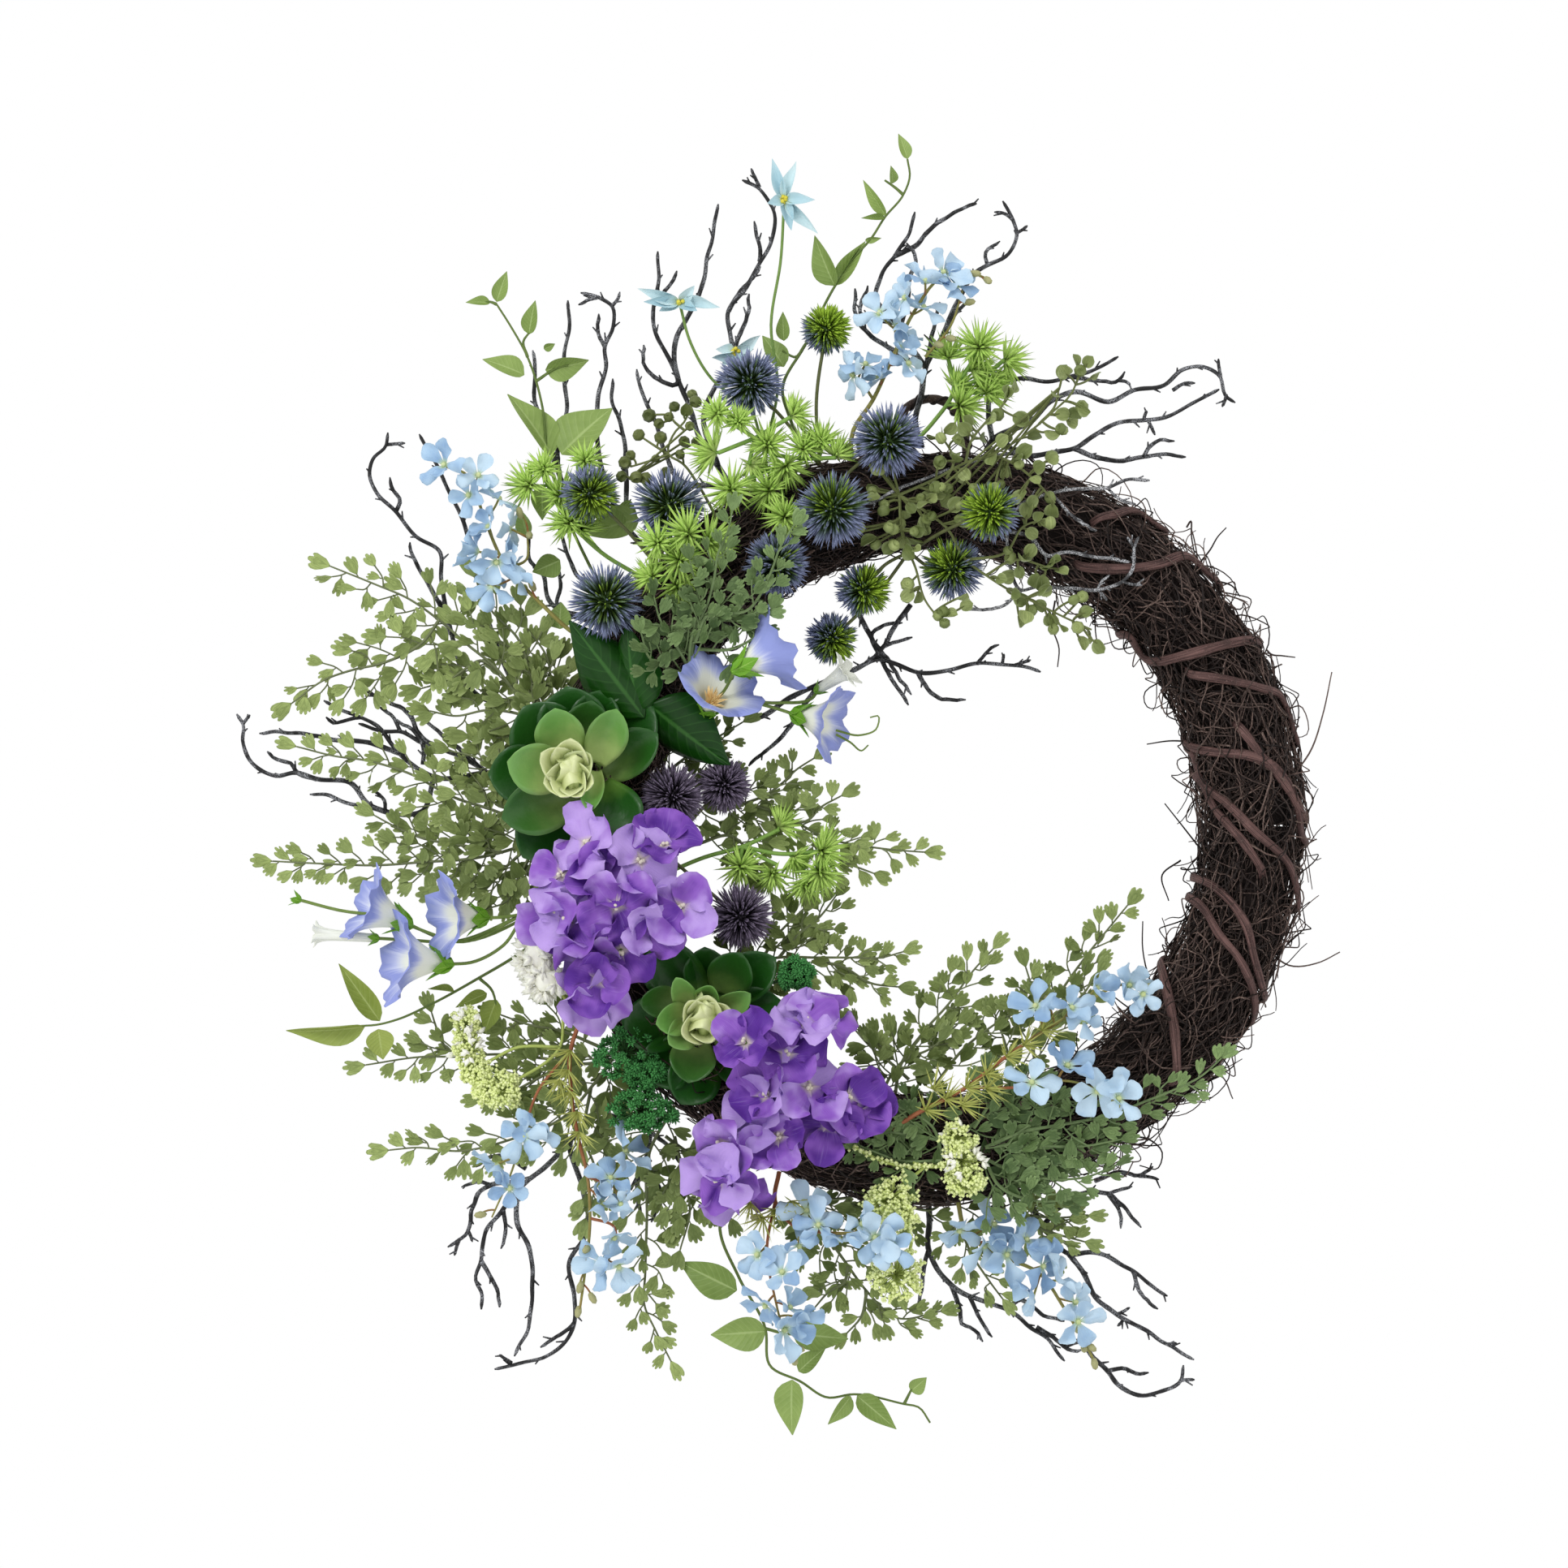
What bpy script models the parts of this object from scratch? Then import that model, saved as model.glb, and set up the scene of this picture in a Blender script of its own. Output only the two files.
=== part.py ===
"""A wildflower and twig wreath that hangs on a wall by a vine loop.

Metres, +Z up. The wall is the plane y = 0 and the wreath is in front of it, at negative y.
The origin is on the wall, where the nail that the loop hangs on goes in.
Places are read off a straight-on picture: spot(x, y, out) takes a picture point and the
distance from the wall in millimetres.
"""

import math

import bmesh
import bpy
from mathutils import Matrix, Vector
from mathutils.bvhtree import BVHTree

# Driving dimensions of the ring, metres
RING_RADIUS = 0.200
BUNDLE_RADIUS = 0.032
BACK_DEPTH = 0.028
RING_STEPS = 36
BUNDLE_STEPS = 10

# The picture: its scale at the ring's middle plane, and where the ring, nail and eye are in it
METRES_PER_POINT = 0.0005
RING_POINT = (1143, 1017)
NAIL_POINT = (1155, 497)
EYE_POINT = (966, 966)
EYE_DISTANCE = 3.0
MM = 0.001
TO_EYE = Vector((0, -1, 0))

# Fits and thicknesses, metres
SEAT_GAP = 0.0005
STEM_LEAD = 0.004
PLATE_THICKNESS = 0.0022
PLATE_ROOT = 0.0007
LEAF_WIDEST = 0.45
TWIG_RADIUS = 0.0022
TWIG_TIP_RADIUS = 0.0010
FERN_RADIUS = 0.0013
STEM_RADIUS = 0.0014
BARK_HALF_WIDTH = 0.0042
BARK_HALF_THICKNESS = 0.0016
BARK_GAP = 0.0012
LOOP_RADIUS = 0.0027
LOOP_OUT = 7

# Flowers and heads, metres
STAR_PETALS = 6
STAR_CORE_SHARE = 0.28
STAR_PETAL_LIFT = 0.006
STAR_HALF_DEPTH = 0.002
ROSETTE_SCALLOPS = 9
ROSETTE_NOTCH = 0.78
ROSETTE_LIFT = 0.006
ROSETTE_HALF_DEPTH = 0.012
ROSETTE_STALK = 0.004
HEAD_CORE_RADIUS = 0.016
HEAD_STALK = 0.003
FLORET_STALK = 0.0016
FLORET_RADIUS = 0.019
FLORET_HALF_DEPTH = 0.007
TRUMPET_THROAT = 0.004

# Turns of the vertices about a tube's or a flower's own middle, in steps, so none stand in line
TUBE_TURN = 0.37
DISC_TURN = 0.2
STAR_TURN = 0.3
BALL_TURN = 0.4

DARK_TWIG = ("dark_twig", (0.035, 0.027, 0.025), 0.75)
BARK = ("vine_bark", (0.13, 0.075, 0.068), 0.8)
SPRAY_TWIG = ("black_spray", (0.028, 0.026, 0.028), 0.45)
FERN_GREEN = ("fern_green", (0.11, 0.19, 0.05), 0.6)
LEAF_GREEN = ("leaf_green", (0.16, 0.34, 0.06), 0.5)
GLOSSY_GREEN = ("glossy_green", (0.01, 0.12, 0.015), 0.3)
OLIVE = ("olive_leaf", (0.14, 0.20, 0.04), 0.6)
SUCCULENT = ("succulent_green", (0.10, 0.28, 0.07), 0.4)
PURPLE = ("hydrangea_purple", (0.30, 0.13, 0.66), 0.7)
SKY_BLUE = ("delphinium_blue", (0.36, 0.55, 0.82), 0.7)
GLORY_BLUE = ("morning_glory_blue", (0.33, 0.36, 0.75), 0.65)
THISTLE = ("thistle_blue", (0.09, 0.11, 0.26), 0.7)
LIME = ("lime_green", (0.30, 0.62, 0.10), 0.55)
AQUA = ("star_aqua", (0.40, 0.66, 0.74), 0.65)
YELLOW_GREEN = ("tuft_yellow_green", (0.55, 0.66, 0.22), 0.7)
DARK_GREEN = ("tuft_dark_green", (0.01, 0.14, 0.05), 0.5)


def spot(x, y, out):
    """The place, out millimetres from the wall, that shows at picture point (x, y)."""
    nearness = 1 - (out * MM - BACK_DEPTH) / EYE_DISTANCE
    across = EYE_POINT[0] - NAIL_POINT[0] + (x - EYE_POINT[0]) * nearness
    up = NAIL_POINT[1] - EYE_POINT[1] + (EYE_POINT[1] - y) * nearness
    return Vector((across * METRES_PER_POINT, -out * MM, up * METRES_PER_POINT))


RING_CENTRE = spot(*RING_POINT, BACK_DEPTH / MM)


def tube(route, start_radius, end_radius, sides=4):
    """A closed tapering stick through the points of route."""
    shell = bmesh.new()
    rings = []
    side = None
    for index, point in enumerate(route):
        ahead = (route[min(index + 1, len(route) - 1)] - route[max(index - 1, 0)]).normalized()
        if side is None:
            side = ahead.orthogonal().normalized()
        side = (side - ahead * side.dot(ahead)).normalized()
        other = ahead.cross(side)
        radius = start_radius + (end_radius - start_radius) * index / (len(route) - 1)
        ring = []
        for step in range(sides):
            angle = math.tau * (step + TUBE_TURN) / sides
            offset = side * math.cos(angle) + other * math.sin(angle)
            ring.append(shell.verts.new(point + offset * radius))
        rings.append(ring)
    for lower, upper in zip(rings, rings[1:]):
        for step in range(sides):
            after = (step + 1) % sides
            shell.faces.new((lower[step], lower[after], upper[after], upper[step]))
    shell.faces.new(list(reversed(rings[0])))
    shell.faces.new(rings[-1])
    return shell


def ball(centre, radius, detail=1, stretch=(1, 1, 1)):
    """A round head; stretch scales it along X, Y and Z."""
    shell = bmesh.new()
    place = Matrix.Translation(centre) @ Matrix.Diagonal((*stretch, 1)) @ Matrix.Rotation(BALL_TURN, 4, "X")
    bmesh.ops.create_icosphere(shell, subdivisions=detail, radius=radius, matrix=place)
    return shell


def slab(rim, middle, face):
    """A thin closed shape: a flat rim with a raised middle in front and behind."""
    shell = bmesh.new()
    edge = [shell.verts.new(point) for point in rim]
    front = shell.verts.new(middle + face)
    back = shell.verts.new(middle - face)
    for step in range(len(edge)):
        after = (step + 1) % len(edge)
        shell.faces.new((edge[step], edge[after], front))
        shell.faces.new((edge[after], edge[step], back))
    bmesh.ops.recalc_face_normals(shell, faces=shell.faces)
    return shell


def plate(base, tip, width, pointed=True):
    """A leaf as a thin closed diamond from base to tip, or as a fan that is widest at its tip."""
    base = base - (tip - base).normalized() * PLATE_ROOT
    along = tip - base
    across = along.cross(TO_EYE).normalized() * width / 2
    face = across.cross(along).normalized() * PLATE_THICKNESS / 2
    middle = base + along * LEAF_WIDEST
    if pointed:
        return slab((base, middle + across, tip, middle - across), middle, face)
    return slab((base, tip + across, tip - across), middle, face)


def disc(centre, radius, half_depth, sides=5):
    """A small flower or round leaf, facing out, thick in the middle."""
    rim = []
    for step in range(sides):
        angle = math.tau * (step + DISC_TURN) / sides
        rim.append(centre + Vector((math.cos(angle), 0, math.sin(angle))) * radius)
    return slab(rim, centre, TO_EYE * half_depth)


def star(centre, radius, low):
    """A flower of six narrow petals; low flattens one that is seen from the side."""
    rim = []
    for step in range(2 * STAR_PETALS):
        angle = math.pi * (step + STAR_TURN) / STAR_PETALS
        reach = radius if step % 2 else radius * STAR_CORE_SHARE
        lift = STAR_PETAL_LIFT if step % 2 else 0
        rim.append(centre + Vector((math.cos(angle) * reach, -lift, math.sin(angle) * reach * low)))
    return slab(rim, centre, TO_EYE * STAR_HALF_DEPTH)


def material_of(finish):
    """The material of a finish, made once: its name, colour and roughness."""
    name, colour, roughness = finish
    if name in bpy.data.materials:
        return bpy.data.materials[name]
    material = bpy.data.materials.new(name)
    material.use_nodes = True
    shader = material.node_tree.nodes["Principled BSDF"]
    shader.inputs["Base Color"].default_value = (*colour, 1)
    shader.inputs["Roughness"].default_value = roughness
    shader.inputs["Metallic"].default_value = 0.0
    return material


def object_of(name, shells):
    """One object that holds the given closed shells, not yet joined."""
    whole = bmesh.new()
    for shell in shells:
        part = bpy.data.meshes.new("shell")
        shell.to_mesh(part)
        whole.from_mesh(part)
        bpy.data.meshes.remove(part)
    bmesh.ops.triangulate(whole, faces=whole.faces)
    mesh = bpy.data.meshes.new(name)
    whole.to_mesh(mesh)
    piece = bpy.data.objects.new(name, mesh)
    bpy.context.scene.collection.objects.link(piece)
    return piece


def make(name, shells, finish):
    """Joins the shells into one solid with a Boolean union and names it as a piece."""
    piece = object_of(name, shells[:1])
    if len(shells) > 1:
        rest = object_of(name + "_rest", shells[1:])
        union = piece.modifiers.new("joined", "BOOLEAN")
        union.operation = "UNION"
        union.solver = "EXACT"
        union.use_self = True
        union.object = rest
        evaluated = piece.evaluated_get(bpy.context.evaluated_depsgraph_get())
        joined = bpy.data.meshes.new_from_object(evaluated)
        joined.name = name
        piece.modifiers.clear()
        piece.data = joined
        bpy.data.objects.remove(rest)
    piece.data.materials.clear()
    piece.data.materials.append(material_of(finish))
    piece.data.shade_smooth()
    piece.data.set_sharp_from_angle(angle=math.radians(40))
    return piece


def twig_ring():
    """The bundle of fine twigs as one envelope, its back pressed flat against the wall."""
    shell = bmesh.new()
    flat_angle = math.acos(BACK_DEPTH / BUNDLE_RADIUS)
    profile = []
    for step in range(BUNDLE_STEPS):
        angle = flat_angle + (math.tau - 2 * flat_angle) * step / (BUNDLE_STEPS - 1)
        profile.append((-math.cos(angle) * BUNDLE_RADIUS, math.sin(angle) * BUNDLE_RADIUS))
    rings = []
    for step in range(RING_STEPS):
        turn = math.tau * step / RING_STEPS
        outward = Vector((math.cos(turn), 0, math.sin(turn)))
        ring = []
        for forward, sideways in profile:
            place = RING_CENTRE + outward * (RING_RADIUS + sideways) + Vector((0, -forward, 0))
            ring.append(shell.verts.new(place))
        rings.append(ring)
    for step, ring in enumerate(rings):
        after = rings[(step + 1) % RING_STEPS]
        for index in range(BUNDLE_STEPS):
            following = (index + 1) % BUNDLE_STEPS
            shell.faces.new((ring[index], ring[following], after[following], after[index]))
    bmesh.ops.recalc_face_normals(shell, faces=shell.faces)
    return make("twig_ring", [shell], DARK_TWIG)


def seat(x, y, out):
    """The two lowest points of a stem that stands on the ring nearest to picture point (x, y)."""
    place, normal, _, _ = RING_SURFACE.find_nearest(spot(x, y, out))
    foot = place + normal * SEAT_GAP
    return [foot, foot + normal * STEM_LEAD]


def lay_over_ring(x, y, lift):
    """The point lift metres above the bundle's front at picture point (x, y)."""
    flat = spot(x, y, BACK_DEPTH / MM) - RING_CENTRE
    flat.y = 0
    outward = flat.normalized()
    sideways = max(-0.97, min(0.97, (flat.length - RING_RADIUS) / BUNDLE_RADIUS))
    reach = BUNDLE_RADIUS + lift
    forward = math.sqrt(1 - sideways * sideways) * reach
    return RING_CENTRE + outward * (RING_RADIUS + sideways * reach) + Vector((0, -forward, 0))


def layer(root, root_out, tip_out, reach):
    """Places picture points in a spray that leans from root_out at its root to tip_out."""

    def place(point):
        share = min(1.0, math.dist(point, root) / reach)
        return spot(*point, root_out + (tip_out - root_out) * share)

    return place


def spray(name, root, outs, branches, finish, radius=TWIG_RADIUS, tip=TWIG_TIP_RADIUS, extras=()):
    """A branching piece. The first branch starts on the ring, at root."""
    place = layer(root, outs[0], outs[1], outs[2])
    trunk = seat(*root, outs[0]) + [place(p) for p in branches[0]]
    shells = [tube(trunk, radius, tip, 3)]
    for branch in branches[1:]:
        shells.append(tube([place(p) for p in branch], radius * 0.8, tip, 3))
    for extra in extras:
        shells.append(extra(place))
    return make(name, shells, finish)


def pinnae(route, length, width):
    """Leaf plates on both sides of a frond's rib, shorter towards its tip."""

    def build(place, index, turn):
        here = Vector(route[index])
        rib = (Vector(route[index]) - Vector(route[index - 1])).normalized()
        share = index / (len(route) - 1)
        reach = length * (1.15 - 0.75 * share)
        heading = Matrix.Rotation(turn, 2) @ rib
        away = here + heading * reach
        return plate(place(tuple(here)), place(tuple(away)), width * MM, pointed=False)

    extras = []
    for index in range(2, len(route)):
        turns = (-1.0, 1.0) if index < len(route) - 1 else (0.0,)
        for turn in turns:
            extras.append(lambda place, i=index, t=turn: build(place, i, t))
    return extras


def leaf(base, tip, width):
    """A single leaf plate of a spray, from picture point base to picture point tip."""
    return lambda place: plate(place(base), place(tip), width * MM)


def head(point, radius, detail=1):
    """A tuft of a spray as a round head that is flatter towards the wall, radius in millimetres."""
    return lambda place: ball(place(point), radius * MM, detail, (1, 0.6, 1))


def discs(points, radius, half_depth):
    """Small flowers or round leaves of a spray, sizes in millimetres."""
    return [lambda place, p=point: disc(place(p), radius * MM, half_depth * MM) for point in points]


# The bark vines that bind the bare side, from the outer edge over the front to the inner edge
BARK_ROUTES = {
    "bark_vine_1": ((1329, 697), (1366, 702), (1423, 698), (1467, 690), (1499, 711)),
    "bark_vine_2": ((1393, 782), (1407, 808), (1458, 808), (1492, 799), (1539, 790)),
    "bark_vine_3": ((1464, 920), (1501, 927), (1535, 931), (1558, 940), (1580, 962), (1600, 1000)),
    "bark_vine_4": ((1428, 1190), (1441, 1241), (1446, 1290), (1444, 1330)),
}

LOOP_ROUTE = ((1117, 540), (1117, 502), (1132, 494), (1155, 492), (1175, 504), (1189, 523), (1190, 545))


def bark_vines():
    """The flat bark vines, each lifted clear of the bundle all along."""
    for name, route in BARK_ROUTES.items():
        points = [lay_over_ring(x, y, BARK_HALF_THICKNESS + BARK_GAP) for x, y in route]
        full = []
        for first, second in zip(points, points[1:]):
            full += [first, raised(first.lerp(second, 1 / 3)), raised(first.lerp(second, 2 / 3))]
        full.append(points[-1])
        make(name, [bark_strip(full)], BARK)


def raised(point):
    """The point moved straight away from the bundle's centre line to the bark's height."""
    flat = point - RING_CENTRE
    flat.y = 0
    centre = RING_CENTRE + flat.normalized() * RING_RADIUS
    away = (point - centre).normalized()
    return centre + away * (BUNDLE_RADIUS + BARK_HALF_THICKNESS + BARK_GAP)


def bark_strip(points):
    """A flat strip along points, its flat side on the bundle."""
    shell = bmesh.new()
    rings = []
    for index, point in enumerate(points):
        ahead = (points[min(index + 1, len(points) - 1)] - points[max(index - 1, 0)]).normalized()
        flat = point - RING_CENTRE
        flat.y = 0
        away = (point - RING_CENTRE - flat.normalized() * RING_RADIUS).normalized()
        across = ahead.cross(away).normalized() * BARK_HALF_WIDTH
        rise = away * BARK_HALF_THICKNESS
        corners = (across * 0.75 - rise, across, across * 0.6 + rise,
                   -across * 0.6 + rise, -across, -across * 0.75 - rise)
        rings.append([shell.verts.new(point + corner) for corner in corners])
    count = len(rings[0])
    for lower, upper in zip(rings, rings[1:]):
        for step in range(count):
            after = (step + 1) % count
            shell.faces.new((lower[step], lower[after], upper[after], upper[step]))
    shell.faces.new(list(reversed(rings[0])))
    shell.faces.new(rings[-1])
    bmesh.ops.recalc_face_normals(shell, faces=shell.faces)
    return shell


def hanging_loop():
    """The vine bow that goes over the nail, its two ends on the top of the ring."""
    first = seat(*LOOP_ROUTE[0], LOOP_OUT)
    last = seat(*LOOP_ROUTE[-1], LOOP_OUT)
    middle = [spot(x, y, LOOP_OUT) for x, y in LOOP_ROUTE[1:-1]]
    make("hanging_loop", [tube(first + middle + last[::-1], LOOP_RADIUS, LOOP_RADIUS, 8)], BARK)


def twig_sprays():
    """The bare, black, forked sprays that stand out of the ring all round."""
    spray("twig_spray_top_left", (809, 693), (10, 8, 400), (
        ((770, 650), (690, 587), (699, 500), (697, 432), (700, 370)),
        ((770, 650), (740, 570), (737, 488), (745, 427), (756, 404), (755, 376), (738, 366), (714, 368)),
        ((755, 376), (763, 361)),
        ((745, 427), (737, 388)),
        ((690, 587), (660, 460), (657, 432)),
    ), SPRAY_TWIG)
    spray("twig_spray_top", (912, 614), (12, 9, 300), (
        ((862, 539), (836, 469), (806, 404), (806, 376), (811, 310)),
        ((806, 376), (834, 334)),
        ((862, 539), (834, 589), (806, 516), (786, 455)),
        ((836, 469), (814, 469), (794, 449), (793, 425)),
        ((836, 469), (831, 446), (848, 390), (871, 320), (884, 252)),
        ((862, 539), (867, 511), (904, 443), (898, 383), (936, 324), (954, 268), (936, 231), (914, 210)),
        ((904, 443), (923, 362)),
        ((936, 324), (930, 273)),
        ((936, 231), (928, 207)),
    ), SPRAY_TWIG)
    spray("twig_spray_top_right", (1136, 552), (17, 12, 300), (
        ((1128, 518), (1141, 453), (1161, 408), (1205, 335), (1242, 313), (1253, 287), (1235, 248)),
        ((1253, 287), (1266, 278)),
        ((1141, 453), (1110, 400), (1079, 366), (1102, 316), (1127, 262)),
        ((1102, 316), (1144, 285), (1204, 250)),
        ((1110, 400), (1121, 344), (1118, 299)),
        ((1205, 335), (1232, 297)),
    ), SPRAY_TWIG)
    spray("twig_spray_right", (1215, 556), (16, 12, 300), (
        ((1223, 542), (1246, 530), (1294, 495), (1367, 495), (1434, 474), (1484, 452), (1504, 464), (1522, 495)),
        ((1223, 542), (1223, 505), (1257, 467), (1319, 464), (1378, 441)),
        ((1319, 464), (1352, 469), (1393, 472)),
        ((1246, 530), (1302, 550), (1347, 537), (1409, 518), (1437, 514), (1504, 478)),
        ((1302, 550), (1352, 564), (1409, 563), (1461, 563)),
        ((1409, 563), (1431, 542)),
    ), SPRAY_TWIG)
    spray("twig_spray_front", (1240, 655), (62, 66, 160), (
        ((1268, 660), (1310, 681), (1352, 686), (1392, 692)),
        ((1268, 660), (1296, 608), (1364, 601), (1417, 591)),
        ((1364, 601), (1400, 622)),
        ((1268, 660), (1257, 727), (1319, 725), (1383, 717), (1397, 668)),
        ((1319, 725), (1364, 738)),
    ), SPRAY_TWIG)
    spray("twig_spray_inner", (862, 842), (14, 12, 400), (
        ((900, 872), (931, 884), (974, 859), (1010, 843), (1086, 813), (1131, 829), (1204, 818),
         (1281, 828)),
        ((1086, 813), (1101, 841), (1119, 869)),
        ((1131, 829), (1158, 861), (1190, 862)),
        ((1086, 813), (1095, 792), (1124, 785)),
        ((1010, 843), (974, 894), (923, 943)),
        ((1204, 818), (1231, 794)),
    ), SPRAY_TWIG)
    spray("twig_spray_left", (681, 972), (12, 9, 400), (
        ((600, 950), (535, 957), (492, 928), (443, 883), (400, 863)),
        ((535, 957), (484, 1003), (423, 987), (381, 979)),
        ((484, 1003), (453, 990), (433, 965), (390, 960), (339, 955), (299, 914), (300, 891), (291, 879)),
        ((300, 891), (308, 882)),
        ((600, 950), (548, 924), (502, 878), (438, 845)),
        ((443, 883), (411, 891)),
        ((390, 960), (359, 941), (328, 925)),
        ((492, 928), (402, 910), (318, 904)),
        ((600, 950), (655, 905), (660, 861), (597, 862), (572, 838), (544, 713), (513, 661), (488, 630),
         (455, 584), (460, 564), (476, 548), (478, 532)),
        ((476, 548), (499, 546)),
        ((488, 630), (493, 618), (481, 588)),
        ((544, 713), (520, 706), (506, 667)),
    ), SPRAY_TWIG)
    spray("twig_spray_bottom_left", (794, 1325), (9, 9, 400), (
        ((740, 1370), (704, 1404), (719, 1468), (724, 1514), (700, 1560), (708, 1629), (673, 1673),
         (614, 1684)),
        ((704, 1404), (648, 1457), (598, 1517), (593, 1554), (587, 1573), (593, 1613)),
        ((593, 1554), (606, 1576), (615, 1611)),
        ((648, 1457), (638, 1509), (656, 1568), (652, 1629), (633, 1672)),
        ((648, 1457), (594, 1465), (577, 1517), (551, 1538)),
        ((708, 1629), (666, 1660)),
        ((740, 1370), (801, 1394), (814, 1471), (803, 1506)),
        ((801, 1394), (777, 1466)),
    ), SPRAY_TWIG)
    spray("twig_spray_bottom", (1144, 1482), (10, 10, 400), (
        ((1144, 1540), (1172, 1583), (1239, 1613), (1266, 1632), (1312, 1678)),
        ((1144, 1540), (1131, 1613)),
        ((1172, 1583), (1184, 1629), (1211, 1652)),
        ((1239, 1613), (1287, 1621), (1333, 1653), (1365, 1689), (1413, 1720), (1454, 1701), (1459, 1681)),
        ((1454, 1701), (1472, 1700)),
        ((1365, 1689), (1416, 1691)),
    ), SPRAY_TWIG)
    spray("twig_spray_bottom_right", (1262, 1466), (16, 16, 400), (
        ((1285, 1510), (1317, 1545), (1352, 1543), (1397, 1567), (1439, 1597)),
        ((1397, 1567), (1403, 1589), (1427, 1613)),
        ((1317, 1545), (1349, 1597), (1376, 1620), (1471, 1674)),
        ((1376, 1620), (1392, 1611)),
        ((1285, 1510), (1340, 1470), (1365, 1471), (1405, 1512)),
        ((1365, 1471), (1395, 1462)),
    ), SPRAY_TWIG)


# Ribs of the maidenhair ferns, each from the ring outwards
FERN_LEFT_TOP = ((653, 893), (639, 862), (611, 823), (577, 795), (541, 764), (504, 738), (460, 719), (403, 696))
FERN_LEFT_TOP_SIDE = ((541, 764), (522, 790), (474, 816), (432, 826), (401, 837), (356, 868))
FERN_LEFT_MIDDLE = ((637, 1044), (607, 998), (561, 983), (502, 952), (446, 936), (415, 932), (365, 919))
FERN_LEFT_LOW = ((637, 1044), (586, 1057), (522, 1062), (464, 1066), (395, 1064), (331, 1061))
FERN_BOTTOM_LEFT = ((728, 1310), (688, 1306), (608, 1299), (568, 1302), (522, 1302), (451, 1313))
FERN_BOTTOM_LEFT_LOW = ((728, 1310), (700, 1372), (629, 1404), (568, 1418), (511, 1414), (479, 1417))
FERN_HANGING = ((800, 1420), (797, 1501), (795, 1568), (794, 1608), (808, 1640), (828, 1680))
FERN_INNER = ((870, 985), (918, 990), (959, 1002), (1025, 1035), (1061, 1042), (1099, 1047), (1143, 1050))
FERN_INNER_SIDE = ((918, 990), (950, 985), (975, 958), (1002, 933))
FERN_INNER_LOW = ((915, 1195), (948, 1182), (1010, 1180), (1050, 1180), (1086, 1186), (1112, 1175))
FERN_RISING = ((1109, 1315), (1137, 1273), (1169, 1237), (1201, 1194), (1223, 1169))
FERN_RISING_RIGHT = ((1274, 1300), (1301, 1233), (1337, 1180), (1366, 1144), (1391, 1116))
FERN_FRONT = ((1232, 1411), (1250, 1410), (1284, 1407), (1337, 1398))
FERN_FRONT_TIP = ((1232, 1411), (1262, 1394), (1301, 1387), (1373, 1372), (1409, 1358), (1444, 1344),
                  (1480, 1326), (1509, 1301))
FERN_BOTTOM = ((1000, 1490), (1045, 1560), (1068, 1591), (1106, 1624), (1160, 1616))
FERN_CENTRE = ((857, 776), (870, 741), (884, 685), (904, 623))
FERN_CENTRE_SIDE = ((870, 741), (921, 752), (949, 707), (977, 650))


def ferns():
    """The maidenhair fern picks. One plate stands for each side branch with its leaflets."""

    def fern(name, root, outs, ribs, length, width=9):
        extras = []
        for rib in ribs:
            extras += pinnae(rib, length, width)
        spray(name, root, outs, ribs, FERN_GREEN, FERN_RADIUS, FERN_RADIUS * 0.6, extras)

    fern("fern_left_top", (690, 910), (24, 32, 300), (FERN_LEFT_TOP, FERN_LEFT_TOP_SIDE), 40)
    fern("fern_left_low", (679, 1026), (24, 26, 300), (FERN_LEFT_LOW, FERN_LEFT_MIDDLE), 38)
    fern("fern_bottom_left", (766, 1289), (22, 20, 300), (FERN_BOTTOM_LEFT, FERN_BOTTOM_LEFT_LOW), 36)
    fern("fern_hanging", (831, 1362), (30, 34, 300), (FERN_HANGING,), 36)
    fern("fern_inner", (812, 1000), (30, 34, 300), (FERN_INNER, FERN_INNER_SIDE), 34)
    fern("fern_inner_low", (884, 1228), (26, 30, 300), (FERN_INNER_LOW,), 34)
    fern("fern_rising", (1103, 1350), (26, 30, 300), (FERN_RISING,), 36)
    fern("fern_rising_right", (1282, 1322), (26, 34, 300), (FERN_RISING_RIGHT,), 36)
    fern("fern_front", (1214, 1414), (64, 68, 200), (FERN_FRONT, FERN_FRONT_TIP), 34)
    fern("fern_bottom", (985, 1454), (20, 22, 300), (FERN_BOTTOM,), 36)
    fern("fern_centre", (850, 825), (64, 116, 180), (FERN_CENTRE, FERN_CENTRE_SIDE), 34)


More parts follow.
